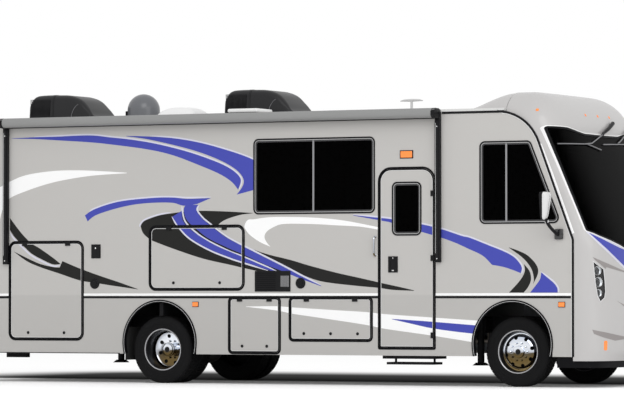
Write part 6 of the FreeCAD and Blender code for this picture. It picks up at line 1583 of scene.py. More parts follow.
class COACH_OT_side_trim(bpy.types.Operator):
    """Belt strips, arch lips, joint strips, the roof edge, and pale lines painted as highlights
    beside the arch lips and the joint strip
    """
    bl_idname = "coach.side_trim"
    bl_label = "Side Trim"

    def execute(self, context):
        trim = context.scene.coach_trim
        white = worn("white belt strip", tuple(context.scene.coach_paint.white), 0.3, coat=0.3)
        # Pale line material paints the highlights beside the arch lips and the joint strip
        pale = worn("pale joint line", (0.66, 0.66, 0.66), 0.35)
        for side in (-1, 1):
            where = side_name(side)
            reach = trim.seal_on_wall + DOOR_GAP + 0.001
            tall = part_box("tall_door_" + where)
            starts, ends = [REAR_FACE_X + 0.112, tall[1].x + reach], [tall[0].x - reach]
            if side < 0:
                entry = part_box("entry_door")
                starts.append(entry[1].x - HINGE_RISE + reach)
                ends.append(entry[0].x - reach)
            parts = []
            for x0, x1 in zip(starts, ends + [SEAM_X - 0.024]):
                parts += [strip_on_wall("belt white", side, x0, x1, BELT_WHITE_FOOT,
                                        BELT_WHITE_FOOT + trim.belt_white, trim.belt_proud, white),
                          strip_on_wall("belt dark", side, x0, x1, BELT_DARK_TOP - trim.belt_dark,
                                        BELT_DARK_TOP, trim.belt_proud * 0.6, trim_black())]
            for axle_x in (FRONT_AXLE_X, REAR_AXLE_X):
                edge = arch_path(axle_x, ARCH_RADIUS)
                parts += [band_along("arch lip", side, edge, -ARCH_OUTSIDE,
                                     trim.arch_lip - ARCH_OUTSIDE, 0.008, seal_black(), sunk=0.040),
                          band_along("arch line", side, edge, 0.010, 0.0135, 0.0090, pale,
                                     sunk=-0.006)]
            seam, half = seam_path(), trim.seam_width / 2
            parts += [band_along("joint strip", side, seam, half, -half, 0.0045, trim_black()),
                      band_along("joint line", side, seam, half + 0.009, half, 0.0030, pale),
                      strip_on_wall("roof edge", side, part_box("awning")[1].x + 0.004,
                                    ROOF_JOINT_X + 0.01, WALL_TOP - 0.016, WALL_TOP + 0.012, 0.006,
                                    trim_black()),
                      strip_on_wall("skirt foot", side, *SKIRT_FOOT, SKIRT_BOTTOM + 0.0005,
                                    SKIRT_BOTTOM + 0.010, 0.002, trim_black(), bevel=0.0)]
            hang(joined(where + " side trim", parts), "coach")
        return {"FINISHED"}


# Fittings on the side wall, mostly as spans of X and Z
VENT_PANEL = (-0.129, 0.365, 1.141, 1.395)
SOCKET_BOX = (-2.468, -2.332, 1.561, 1.737)
SOCKET_LID = (-2.458, -2.342, 1.572, 1.700)
FILLER_CAPS = ((-2.418, 1.244), (0.505, 1.244))
FILLER_STEPS = [(0.067, 0.0060), (0.062, 0.0098), (0.050, 0.0098), (0.047, 0.0070),
                (0.030, 0.0070), (0.028, 0.0120), (AXIS, 0.0120)]
SIDE_LAMPS = ((-1.012, -0.922, 0.951, 1.017), (3.945, 4.035, 0.951, 1.017))
SIDE_LAMP_FOOT = 0.006
PORCH_LAMP_FOOT = (1.859, 2.039, 2.747, 2.847)
PORCH_LAMP = (1.871, 2.027, 2.757, 2.837)
# Grab rail: where it stands, and how far off the wall and how high its points are
RAIL_X = 1.527
GRAB_RAIL = ((-0.001, 1.575), (0.022, 1.580), (0.040, 1.596), (0.043, 1.62), (0.043, 1.76),
             (0.040, 1.786), (0.022, 1.803), (-0.001, 1.808))
RAIL_FEET = (1.578, 1.805)
LATCH_PLATE = (1.702, 1.832, 1.370, 1.566)
LATCH_GRIP = rectangle(1.735, 1.800, 1.415, 1.520)
KEY_POINTS = ((1.768, 1.545), (1.760, 1.395), (1.775, 1.395))
LATCH_STEPS = [(0.019, 0.0030), (0.016, 0.0042), (AXIS, 0.0042)]
LATCH_RISE = 0.075


class COACH_OT_side_fittings(bpy.types.Operator):
    """Vent panel, socket box, filler caps, latches, handle and side lamps"""
    bl_idname = "coach.side_fittings"
    bl_label = "Side Fittings"

    def execute(self, context):
        black, amber = trim_black(), amber_lens()
        parts = [strip_on_wall("vent panel", -1, *VENT_PANEL, 0.010, black, bevel=0.004),
                 row_of_blocks("vent slats", 11, (0.238, -HALF - 0.0115, 1.268), (0.0105, 0, 0),
                               (0.005, 0.005, 0.135), worn("vent slats", (0.30, 0.30, 0.31), 0.4)),
                 row_of_blocks("vent bars", 9, (0.030, -HALF - 0.0105, 1.168), (0, 0, 0.025),
                               (0.270, 0.004, 0.009), seal_black()),
                 strip_on_wall("socket box", -1, *SOCKET_BOX, 0.010, black, bevel=0.006),
                 strip_on_wall("socket lid", -1, *SOCKET_LID, 0.016, black, bevel=0.004),
                 stud("socket mark", -1, (-2.400, 1.690), [(0.009, 0.001), (AXIS, 0.001)], 0.002,
                      white_plastic(), 24, off=0.016)]
        parts += [stud("filler cap", -1, spot, FILLER_STEPS, 0.002, black, 64)
                  for spot in FILLER_CAPS]
        for side in (-1, 1):
            for x0, x1, z0, z1 in SIDE_LAMPS:
                parts += [strip_on_wall("lamp foot", side, x0, x1, z0, z1, 0.006, black,
                                        bevel=0.003),
                          strip_on_wall("side lamp", side, x0 + SIDE_LAMP_FOOT, x1 - SIDE_LAMP_FOOT,
                                        z0 + SIDE_LAMP_FOOT, z1 - SIDE_LAMP_FOOT, 0.0178, amber,
                                        bevel=0.007)]
        rail = [(RAIL_X, -HALF - out, z) for out, z in GRAB_RAIL]
        parts += [strip_on_wall("porch lamp foot", -1, *PORCH_LAMP_FOOT, 0.007, black, bevel=0.006),
                  strip_on_wall("porch lamp", -1, *PORCH_LAMP, 0.0178, amber, bevel=0.015),
                  tube("grab rail", curve_through(rail, 4), 0.011, chrome())]
        parts += [stud("rail foot", -1, (RAIL_X, z), [(0.0125, 0.006), (AXIS, 0.008)], 0.001,
                       chrome(), 32) for z in RAIL_FEET]
        piece = hang(joined("side fittings", parts), "coach")
        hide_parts("outside_fittings")
        self.latches(black)
        return {"FINISHED"}

    def latches(self, black):
        """Handle plate of the entry door and the round latches of the other leaves."""
        parts = [strip_on_wall("latch plate", -1, *LATCH_PLATE, 0.010, black, bevel=0.008),
                 band_ring("latch grip", rounded(grown(LATCH_GRIP, 0.010), [0.022] * 4),
                           rounded(LATCH_GRIP, [0.012] * 4), on_side(-1, 0.009), on_side(-1, 0.014),
                           black)]
        parts += [stud("key point", -1, spot, [(0.006, 0.002), (AXIS, 0.002)], 0.002,
                       white_plastic(), 20, off=0.0105) for spot in KEY_POINTS]
        hang(joined("entry door latch", parts), "entry_door")
        for side in (-1, 1):
            for door in side_doors(side):
                if door == "entry_door":
                    continue
                low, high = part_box(door)
                count = 3 if high.x - low.x > 1.0 and high.z < 1.2 else 2
                spots = [(low.x + (high.x - low.x) * (k + 0.5) / count, low.z + LATCH_RISE)
                         for k in range(count)]
                parts = [stud("latch", side, spot, LATCH_STEPS, 0.001, black, 32) for spot in spots]
                hang(joined(door + " latches", parts), door)


# Awning: its roll, and the sections of its rail and of its arms' heads beside the roll's axis
ROLL_RADIUS = 0.060
ROLL_OFF = 0.118
WALL_RAIL = [(-0.010, 0.030), (-0.010, 0.010), (-0.045, -0.020), (-0.060, -0.058), (-0.045, -0.066),
             (-0.001, -0.040), (0.002, 0.030)]
ARM_HEAD = [(-0.050, -0.075), (0.0, -0.075), (0.0, 0.040), (-0.060, 0.060), (-0.150, 0.055),
            (-0.1835, 0.020), (-0.1835, -0.030), (-0.150, -0.064), (-0.090, -0.064)]
ARM_WIDTH = 0.078


class COACH_OT_awning(bpy.types.Operator):
    """Rolled awning with its end caps, rail and folded arms"""
    bl_idname = "coach.awning"
    bl_label = "Awning"

    def execute(self, context):
        low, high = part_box("awning")
        axis_y, axis_z = -HALF - ROLL_OFF, WALL_TOP - 0.005
        black, white = trim_black(), worn("arm rivet", (0.8, 0.8, 0.8), 0.4)
        cover = worn("awning cover", (0.250, 0.252, 0.250), 0.55, tone=0.06, scale=3.0)

        def along(name, x0, x1, radius, material, sides, y=axis_y, z=axis_z):
            return tube(name, [(x0, y, z), (x1, y, z)], radius, material, sides=sides)

        def section(name, outline, x0, x1, material):
            loops = [[Vector((x, -HALF + y, axis_z + z)) for y, z in outline] for x in (x0, x1)]
            return loft(name, loops, material)

        x0, x1 = low.x + 0.040, high.x - 0.040
        parts = [along("roll", x0, x1, ROLL_RADIUS, cover, 56)]
        for start in (low.x + 0.020, high.x - 0.060):
            parts.append(along("roll cap", start, start + 0.040, ROLL_RADIUS + 0.0015,
                               worn("awning cap", (0.19, 0.19, 0.19), 0.4), 48))
        parts += [section("wall rail", WALL_RAIL, x0, x1,
                          worn("awning rail", (0.10, 0.10, 0.10), 0.4)),
                  along("valance edge", x0 + 0.02, x1 - 0.02, 0.007, black, 12, y=axis_y + 0.012,
                        z=axis_z - ROLL_RADIUS - 0.004)]
        pale = worn("arm reflection edge", (0.55, 0.55, 0.55), 0.3)
        for start in (low.x, high.x - ARM_WIDTH):
            end = start + ARM_WIDTH
            parts += [block("arm", (start + 0.004, -HALF - 0.050, 1.49),
                            (end - 0.004, -HALF - 0.001, axis_z + 0.02), black, 0.005),
                      block("arm channel", (start + 0.016, -HALF - 0.060, 1.53),
                            (end - 0.016, -HALF - 0.049, axis_z - 0.05), black, 0.003),
                      block("arm line", (start + 0.021, -HALF - 0.0615, 1.60),
                            (start + 0.025, -HALF - 0.0595, axis_z - 0.12), pale),
                      bevelled(section("arm head", ARM_HEAD, start + 0.012, end - 0.012, black),
                               0.005)]
            parts += [stud("arm rivet", -1, ((start + end) / 2, z), [(0.007, 0.002), (AXIS, 0.002)],
                           0.001, white, 16, off=0.0605) for z in (1.535, axis_z - 0.16)]
        piece = hang(joined("awning", parts), "coach")
        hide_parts("awning")
        return {"FINISHED"}


# Roof
def roof_z(y):
    """Height of the crowned roof skin at this width."""
    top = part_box("roof")[1].z
    crown = top - WALL_TOP
    radius = (HALF * HALF + crown * crown) / (2 * crown)
    return top - radius + math.sqrt(radius * radius - y * y)


# Upper outline of a roof unit from its tail, 0, to its nose, 1
UNIT_LEVELS = [(0.0, 0.235), (0.05, 0.300), (0.15, 0.322), (0.45, 0.322), (0.62, 0.310),
               (0.78, 0.255), (0.90, 0.150), (0.965, 0.070), (1.0, 0.045)]
UNIT_HEIGHT = 0.322
UNIT_LENGTH = 0.947
UNIT_HALF = 0.3475
DOME_CENTRE = Vector((-2.440, 0.0, 3.366))
DOME_RISE = 0.324
DOME_RADIUS = 0.2095
SKYLIGHT_X = -1.850
SKYLIGHT_HALF = 0.280
SKYLIGHT_FOOT = 3.372
SKYLIGHT_RISE = 0.128
VENT_LOW = Vector((-0.690, -0.960, 3.352))
VENT_HIGH = Vector((-0.270, -0.540, 3.420))
ANTENNA_X = 1.400
ANTENNA_TOP = 3.540
# Antenna wing: how far along from the stem, how far below the top and how thick
ANTENNA_WING = ((-0.155, 0.026, 0.006), (-0.10, 0.019, 0.014), (0.0, 0.0185, 0.018),
                (0.10, 0.019, 0.014), (0.155, 0.026, 0.006))


class COACH_OT_roof_fittings(bpy.types.Operator):
    """Roof cooling units, dish dome, skylight, vent lid and antenna"""
    bl_idname = "coach.roof_fittings"
    bl_label = "Roof Fittings"

    def execute(self, context):
        low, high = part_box("roof_units")
        parts = self.unit(low.x) + self.unit(high.x - UNIT_LENGTH)
        piece = hang(joined("roof units", parts), "coach")
        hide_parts("roof_units")
        parts = self.dome() + self.skylight() + self.vent() + self.antenna()
        piece = hang(joined("roof fittings", parts), "coach")
        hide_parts("roof_fittings")
        return {"FINISHED"}

    def section(self, x, half, foot, height, round_by):
        """Arched cross-section of a shroud."""
        top = half * 0.93
        corners = [(-half, foot), (half, foot), (top, foot + height), (-top, foot + height)]
        radius = min(round_by, height * 0.45)
        return [at_x(x)(p) for p in rounded(corners, [0.002, 0.002, radius, radius], 8)]

    def unit(self, start):
        """Shroud with straps, end ribs, tail slots and the pale line on its side."""
        shroud = worn("roof unit shroud", (0.0065, 0.0065, 0.008), 0.38, specular=0.4)
        foot = roof_z(0.349) - 0.002
        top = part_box("roof_units")[1].z
        rise = (top - foot) / UNIT_HEIGHT * 0.985
        steps = 48
        loops = []
        for k in range(steps + 1):
            t = k / steps
            half = 0.346 - 0.020 * t * t - 0.05 * max(0.0, t - 0.85)
            loops.append(self.section(start + UNIT_LENGTH * t, half, foot,
                                      smooth_between(UNIT_LEVELS, t) * rise, 0.085))
        parts = [loft("shroud", loops, shroud, sharp=40.0)]
        for t, wide in ((0.33, 0.030), (0.365, 0.012)):
            x = start + UNIT_LENGTH * t
            band = [self.section(x + by, UNIT_HALF, foot, top - foot, 0.088) for by in (0.0, wide)]
            parts.append(loft("strap", band, shroud))
        run = []
        for k in range(25):
            u = k / 24
            t = 0.66 + 0.10 * u * u
            run.append((start + UNIT_LENGTH * t, -(UNIT_HALF - 0.020 * t * t) + 0.022 * u,
                        foot + 0.02 + (smooth_between(UNIT_LEVELS, t) * rise - 0.09) * u))
        line = worn("roof unit line", (0.16, 0.16, 0.17), 0.4)
        parts.append(tube("shroud line", run, 0.0035, line, sides=8))
        for y in (-0.3440, 0.3440):
            parts.append(row_of_blocks("ribs", 17, (start + 0.022, y, foot + 0.150), (0.0172, 0, 0),
                                       (0.006, 0.008, 0.250), shroud))
        parts += [row_of_blocks("tail slots", 9, (start, 0.0, foot + 0.055), (0, 0, 0.022),
                                (0.006, 0.50, 0.010), seal_black()),
                  block("foot flange", (start, -0.3485, foot - 0.003),
                        (start + UNIT_LENGTH - 0.001, 0.3485, foot + 0.012), shroud, 0.003)]
        return parts

    def dome(self):
        shell = worn("dish dome", (0.125, 0.130, 0.142), 0.30, coat=0.2)
        spring = DOME_RISE - 0.2100
        profile = [(AXIS, 0.0), (0.205, 0.0), (DOME_RADIUS, 0.006), (DOME_RADIUS, 0.060),
                   (DOME_RADIUS, spring)]
        profile += [(DOME_RADIUS * math.cos(a), spring + DOME_RADIUS * math.sin(a))
                    for a in (math.radians(90) * k / 20 for k in range(1, 20))]
        profile.append((AXIS, DOME_RISE - 0.0005))
        foot = [(AXIS, -0.004), (0.2098, -0.004), (0.2098, 0.030), (0.2040, 0.034), (AXIS, 0.034)]
        return [upright("dome", profile, DOME_CENTRE, shell, segments=80),
                upright("dome foot", foot, DOME_CENTRE, trim_black()),
                block("dome bracket", (-2.640, -0.13, 3.372), (-2.560, 0.13, 3.470), trim_black(),
                      0.008),
                block("dome patch", (-2.290, -0.205, 3.369), (-2.236, -0.12, 3.405),
                      white_plastic(), 0.006)]

    def skylight(self):
        """Rounded square dome that draws in as it rises, on a black foot."""
        square = rectangle(SKYLIGHT_X - SKYLIGHT_HALF, SKYLIGHT_X + SKYLIGHT_HALF, -SKYLIGHT_HALF,
                           SKYLIGHT_HALF)
        loops = []
        for k in range(12):
            a = math.radians(90) * k / 11
            inset = SKYLIGHT_HALF * 0.60 * (1 - math.cos(a)) ** 0.8
            outline = rounded(grown(square, -inset), [0.08 + inset * 0.3] * 4, 8)
            z = SKYLIGHT_FOOT + SKYLIGHT_RISE * math.sin(a)
            loops.append([Vector((*p, z)) for p in outline])
        foot = [[Vector((*p, z)) for p in rounded(square, [0.06] * 4, 8)] for z in (3.362, 3.386)]
        white = worn("skylight dome", (0.80, 0.80, 0.80), 0.35)
        return [loft("skylight", loops, white, sharp=50.0),
                loft("skylight foot", foot, trim_black())]

    def vent(self):
        white = worn("vent lid", (0.82, 0.82, 0.82), 0.4)
        low, high = VENT_LOW, VENT_HIGH
        return [block("vent foot", low + Vector((0.02, 0.02, -0.004)),
                      (high.x - 0.02, high.y - 0.02, low.z + 0.03), trim_black(), 0.004),
                block("vent lid", low + Vector((0.0, 0.0, 0.022)), high, white, 0.018)]

    def antenna(self):
        grey = worn("antenna shell", (0.55, 0.55, 0.55), 0.4)
        foot = [(AXIS, -0.002), (0.060, -0.002), (0.060, 0.012), (0.030, 0.030), (AXIS, 0.030)]
        wing = [(ANTENNA_X + x, 0, ANTENNA_TOP - below) for x, below, _ in ANTENNA_WING]
        return [tube("antenna stem", [(ANTENNA_X, 0, 3.368), (ANTENNA_X, 0, ANTENNA_TOP - 0.03)],
                     0.016, grey),
                upright("antenna foot", foot, Vector((ANTENNA_X, 0, 3.369)), grey),
                tube("antenna wing", wing, [thick for *_, thick in ANTENNA_WING], grey)]


# Front: bulbs as height, distance from the middle line and radius; markers as width and height
BULBS = ((1.385, 1.146, 0.050), (1.250, 1.138, 0.056), (1.120, 1.138, 0.044))
BOWL = [(1.0, 0.004), (1.04, 0.004), (1.04, -0.006), (0.0, -0.006), (0.0, -0.004), (0.55, -0.003),
        (0.9, 0.001)]
LENS = [(0.98, 0.0045), (0.85, 0.0075), (0.55, 0.0100), (0.0, 0.0115), (0.0, 0.0085), (0.5, 0.0070),
        (0.80, 0.0045), (0.92, 0.0030)]
MARKERS = ((-1.196, 3.302), (-0.360, 3.268), (0.0, 3.268), (0.360, 3.268), (1.196, 3.302))
TURN_LAMP = (1.033, 1.087, 0.443, 0.557)
GRILLE_RIM = 0.022
GRILLE_SLATS = 9
# Mirror: middle of its shell, half width, foot and head, and how deep and drawn in each loop is
MIRROR_X = 3.910
MIRROR_Y = 1.535
MIRROR_HALF = 0.098
MIRROR_FOOT, MIRROR_HEAD = 1.987, 2.313
MIRROR_LOOPS = ((-0.052, -0.004), (-0.030, 0.0), (0.010, 0.0), (0.034, -0.010), (0.048, -0.030),
                (0.0545, -0.058))
# Mirror arm as X, distance from the middle line and height
MIRROR_ARM = ((3.965, 1.275, 1.800), (3.950, 1.330, 1.822), (3.925, 1.420, 1.880),
              (3.905, 1.490, 1.945), (3.895, 1.520, 2.000))
MIRROR_NARROWING = 0.45


class COACH_OT_front_fittings(bpy.types.Operator):
    """Windshield, headlamps, grille, clearance lamps and mirrors"""
    bl_idname = "coach.front_fittings"
    bl_label = "Front Fittings"

    def execute(self, context):
        self.windshield()
        self.lamps()
        self.grille()
        self.markers()
        self.mirrors()
        return {"FINISHED"}

    def windshield(self):
        """Pane between two layers of the cap's form, its seal and a pale moulding round it, whose
        colour paints the highlight along the windshield's edge.
        """
        glass = windshield_prism(-0.003)
        outer = cap_form("glass outer", 0.006, CAP_BOTTOM, None)
        inner = cap_form("glass inner", 0.012, CAP_BOTTOM - 0.1, None)
        boolean(outer, [inner], sharp=22.0)
        boolean(outer, [glass], "INTERSECT", sharp=22.0)
        outer.data.materials.clear()
        outer.data.materials.append(tinted_glass("windshield glass", (0.015, 0.016, 0.017), 1.06))
        outer.name = "windshield pane"
        hang(outer, "coach")
        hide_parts("windshield")
        removed([glass, inner])
        rings = []
        # The pale ring paints the highlight along the windshield's edge; the black ring is its seal
        for outer_grow, inner_grow, proud, material in (
                (0.012, 0.002, 0.004, worn("windshield moulding", (0.78, 0.78, 0.78), 0.3)),
                (0.002, -0.022, 0.001, seal_black())):
            ring, hole = windshield_prism(outer_grow), windshield_prism(inner_grow)
            layer = skin_piece("windshield seal", ring, proud, 0.020, material)
            boolean(layer, [hole], sharp=22.0)
            rings.append(layer)
            removed([ring, hole])
        hang(joined("windshield seal", rings), "coach")

    def lamps(self):
        black = worn("headlamp housing", (0.012, 0.012, 0.013), 0.25)
        clear = tinted_glass("clear lamp lens", (0.80, 0.82, 0.84))
        reflector = worn("lamp reflector", (0.75, 0.75, 0.75), 0.12, metallic=1.0)
        parts = []
        for side in (-1, 1):
            rim = lamp_prism(side, 0.0)
            hole = lamp_prism(side, -0.010)
            ring = skin_piece("lamp ring", rim, 0.0015, 0.018, lamp_surround())
            boolean(ring, [hole])
            parts += [ring, skin_piece("housing", hole, -0.008, 0.022, black)]
            toward = Vector((1.0, side * 0.75, 0.0)).normalized()
            for z, y, radius in BULBS:
                place = Vector((nose_at(side * y, z), side * y, z)) - toward * 0.010
                parts += self.bulb(place, toward, radius, reflector, clear)
            removed([rim, hole])
        piece = hang(joined("headlamps", parts), "coach")
        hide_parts("headlamps")

    def bulb(self, place, toward, radius, reflector, clear):
        """Round reflector bowl with a domed lens."""
        across = toward.cross(Vector((0, 0, 1))).normalized()
        rise = across.cross(toward)
        parts = []
        for name, profile, material in (("bowl", BOWL, reflector), ("lens", LENS, clear)):
            loops = [[place + (across * c + rise * s) * max(r * radius, AXIS) + toward * out
                      for r, out in profile] for c, s in around(40)]
            parts.append(loft(name, loops, material, wrap=True))
        return parts

    def grille(self):
        """Black ring with bright slats across its opening."""
        outer, hole = grille_prism(0.0), grille_prism(-GRILLE_RIM)
        ring = skin_piece("grille frame", outer, 0.0, 0.022, trim_black())
        boolean(ring, [hole])
        parts = [ring]
        for k in range(GRILLE_SLATS):
            z = (GRILLE_LOW + GRILLE_RIM
                 + (GRILLE_HIGH - GRILLE_LOW - 2 * GRILLE_RIM) * (k + 0.5) / GRILLE_SLATS)
            bar = block("slat", (SEAM_X, -0.6, z - 0.007), (NOSE_X + 0.1, 0.6, z + 0.007), None)
            boolean(bar, [hole], "INTERSECT")
            parts.append(skin_piece("slat", bar, -0.004, 0.020, chrome()))
            removed([bar])
        removed([outer, hole])
        piece = hang(joined("front grille", parts), "coach")
        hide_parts("front_grille")

    def markers(self):
        """Round lamps on the brow and the turn lamps beside the grille."""
        amber = amber_lens()
        parts = []
        for y, z in MARKERS:
            toward = Vector((0.16, math.copysign(0.84, y), 0.52) if abs(y) > 1 else (0.86, 0, 0.5))
            toward.normalize()
            place = Vector((nose_at(y, z), y, z)) - toward * 0.004
            parts += self.bulb(place, toward, 0.019, amber, amber)
        for side in (-1, 1):
            outline = rectangle(*TURN_LAMP)
            if side < 0:
                outline = [(-y, z) for y, z in reversed(outline)]
            prism = front_prism("turn lamp cut", outline, [0.018] * 4, SEAM_X, NOSE_X + 0.2)
            parts.append(skin_piece("turn lamp", prism, 0.003, 0.020, amber))
            removed([prism])
        piece = hang(joined("front marker lamps", parts), "coach")
        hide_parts("marker_lamps")

    def mirrors(self):
        white, black = worn("mirror shell", (0.66, 0.66, 0.66), 0.16, coat=0.5), trim_black()
        glossy = worn("mirror foot", (0.005, 0.005, 0.006), 0.12, coat=0.8)
        glass = worn("mirror glass", (0.75, 0.76, 0.78), 0.03, metallic=1.0, change=0.0, tone=0.0)
        for side in (-1, 1):
            middle = side * MIRROR_Y
            face = rectangle(middle - MIRROR_HALF, middle + MIRROR_HALF, MIRROR_FOOT, MIRROR_HEAD)
            loops = []
            for ahead, grow in MIRROR_LOOPS:
                outline = rounded(grown(face, grow), [0.045] * 4, 8)
                loops.append([at_x(MIRROR_X + ahead)(p) for p in outline])
            shell = loft("mirror shell", loops, white, sharp=50.0)
            edge = grown(face, 0.001)
            rim = band_ring("mirror rim", rounded(edge, [0.046] * 4, 8),
                            rounded(grown(edge, -0.012), [0.034] * 4, 8), at_x(MIRROR_X - 0.0548),
                            at_x(MIRROR_X - 0.012), black)
            pane = slab("mirror pane", rounded(grown(edge, -0.013), [0.033] * 4, 8),
                        at_x(MIRROR_X - 0.0535), at_x(MIRROR_X - 0.0505), glass)
            for part in (shell, rim, pane):
                self.narrow(part, MIRROR_X - 0.055, middle)
            arm = [(x, side * y, z) for x, y, z in MIRROR_ARM]
            bar = tube("mirror arm", curve_through(arm, 5), 0.020, black, sides=20)
            y0, y1 = sorted((side * 1.268, side * 1.305))
            foot = block("mirror foot", (3.905, y0, 1.755), (4.015, y1, 1.880), glossy, 0.016)
            ball = self.bulb(Vector((3.900, side * 1.505, 1.965)), Vector((0, side, 0)), 0.024,
                             white, white)
            shell = joined("mirror shell", [shell] + ball)
            hang(joined("mirror " + side_name(side), [shell, rim, pane, bar, foot]),
                               "coach")
        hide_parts("mirrors")

    def narrow(self, part, back, middle):
        """Draws the mirror in towards its foot, in width and in depth."""
        head = MIRROR_HEAD + 0.001
        for vertex in part.data.vertices:
            share = 1 - MIRROR_NARROWING * (head - vertex.co.z) / (head - MIRROR_FOOT + 0.001)
            vertex.co.x = back + (vertex.co.x - back) * share
            vertex.co.y = middle + (vertex.co.y - middle) * share
        finish_mesh(part, 50.0)


# Body, arm and blade of each wiper: width, height and how far each point stands off the skin
WIPERS = (([(0.339, 3.193, 0.028), (-0.026, 3.040, 0.030)],
           [(-0.026, 3.040, 0.028), (-0.445, 2.922, 0.026), (-0.640, 2.908, 0.018)],
           [(-1.190, 2.894, 0.010), (-0.558, 2.909, 0.012), (-0.201, 2.849, 0.012)]),
          ([(1.040, 3.193, 0.028), (0.700, 3.050, 0.030)],
           [(0.700, 3.050, 0.028), (0.480, 2.975, 0.026), (0.400, 2.950, 0.018)],
           [(-0.073, 2.920, 0.010), (0.649, 2.946, 0.012), (0.860, 2.930, 0.012)]))


class COACH_OT_wipers(bpy.types.Operator):
    """Two wipers hung from the brow over the windshield"""
    bl_idname = "coach.wipers"
    bl_label = "Wipers"

    def execute(self, context):
        black, grey = trim_black(), worn("wiper arm", (0.16, 0.16, 0.17), 0.35)
        taper = [0.026 - 0.010 * k / 8 for k in range(9)]
        parts = []
        for body, arm, blade in WIPERS:
            parts += [tube("wiper body", self.on_glass(body, 8), taper, black, 14),
                      tube("wiper arm", self.on_glass(arm, 4), 0.0075, grey, 10),
                      tube("wiper blade", self.on_glass(blade, 8), 0.0075, grey, 10)]
        hang(joined("wipers", parts), "coach")
        return {"FINISHED"}

    def on_glass(self, run, steps):
        """Places over the windshield skin of points given by width, height and stand-off."""
        path = []
        for (y0, z0, out0), (y1, z1, out1) in zip(run, run[1:]):
            for k in range(steps):
                t = k / steps
                path.append((y0 + (y1 - y0) * t, z0 + (z1 - z0) * t, out0 + (out1 - out0) * t))
        path.append(run[-1])
        return [(nose_at(y, z) + out, y, z) for y, z, out in path]


# Cab seats: distance from the middle line, and the power that squares off each pad
SEAT_Y = 0.620
PAD_POWER = 5.0


class COACH_OT_cab(bpy.types.Operator):
    """Dashboard finish, padded driving seats and the steering wheel"""
    bl_idname = "coach.cab"
    bl_label = "Cab"

    def execute(self, context):
        dress("dashboard", worn("dashboard skin", (0.10, 0.095, 0.09), 0.7))
        leather = worn("seat cloth", (0.23, 0.19, 0.15), 0.75, tone=0.15, scale=14.0)
        black = trim_black()
        dress("steering_wheel", black)
        low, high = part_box("cab_seats")
        seats = []
        for side in (-1, 1):
            y = side * SEAT_Y
            seats.append(block("seat base", (low.x + 0.12, y - 0.20, low.z),
                               (high.x - 0.10, y + 0.20, 1.480), black, 0.02))
            for name, place, size in (
                    ("seat cushion", ((low.x + high.x) / 2 + 0.02, y, 1.555), (0.57, 0.53, 0.155)),
                    ("seat back", (low.x + 0.10, y, 1.985), (0.16, 0.51, 0.72)),
                    ("head rest", (low.x + 0.09, y, 2.325), (0.12, 0.28, 0.14))):
                piece = hang(self.pad(name, Vector(place), Vector(size), leather), "coach")
            hang(seats[-1], "coach")
        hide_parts("cab_seats")
        return {"FINISHED"}

    def pad(self, name, centre, size, material):
        """Crowned pad with a sewn channel down its middle and one near each side."""
        mesh = bpy.data.meshes.new(name)
        edit = bmesh.new()
        bmesh.ops.create_cube(edit, size=2.0)
        bmesh.ops.subdivide_edges(edit, edges=edit.edges, cuts=15, use_grid_fill=True)
        half = size / 2
        for vertex in edit.verts:
            p = vertex.co
            length = sum(abs(c) ** PAD_POWER for c in p) ** (1 / PAD_POWER)
            q = p / length
            channel = (math.exp(-((q.y / 0.05) ** 2)) * 0.06
                       + math.exp(-(((abs(q.y) - 0.62) / 0.04) ** 2)) * 0.05)
            vertex.co = centre + Vector((q.x * half.x * (1 - channel), q.y * half.y,
                                         q.z * half.z * (1 - channel)))
        edit.to_mesh(mesh)
        edit.free()
        obj = bpy.data.objects.new(name, mesh)
        bpy.context.scene.collection.objects.link(obj)
        mesh.materials.append(material)
        return finish_mesh(obj, 60.0)


class COACH_OT_rear_fittings(bpy.types.Operator):
    """Tail lamps, ladder, bumper and the pieces below the rear wall"""
    bl_idname = "coach.rear_fittings"
    bl_label = "Rear Fittings"

    def execute(self, context):
        dress("rear_ladder", worn("ladder metal", (0.62, 0.62, 0.63), 0.25, metallic=0.9))
        dress("rear_bumper", paint("body"))
        dress("hitch_receiver", under_black())
        lenses = ((1.012, lamp_lens("pale lens", (0.75, 0.75, 0.75), 0.0)), (1.146, amber_lens()),
                  (1.280, lamp_lens("red lens", (0.55, 0.012, 0.012), 0.15)))
        parts = []
        for side in (-1, 1):
            y0, y1 = sorted((side * 1.052, side * 1.158))
            parts.append(block("tail lamp bezel", (REAR_FACE_X - 0.006, y0, 1.002),
                               (REAR_FACE_X + 0.010, y1, 1.418), lamp_surround(), 0.004))
            parts += [block("tail lamp lens", (REAR_FACE_X - 0.0105, y0 + 0.008, z),
                            (REAR_FACE_X, y1 - 0.008, z + 0.128), lens, 0.004)
                      for z, lens in lenses]
        piece = hang(joined("tail lamps", parts), "coach")
        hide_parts("tail_lamps")
        pale = worn("blank plate", (0.75, 0.75, 0.75), 0.4)
        hang(block("blank plate", (REAR_FACE_X - 0.004, -0.155, 0.800),
                   (REAR_FACE_X + 0.001, 0.155, 0.955), pale, 0.0015), "coach")
        return {"FINISHED"}


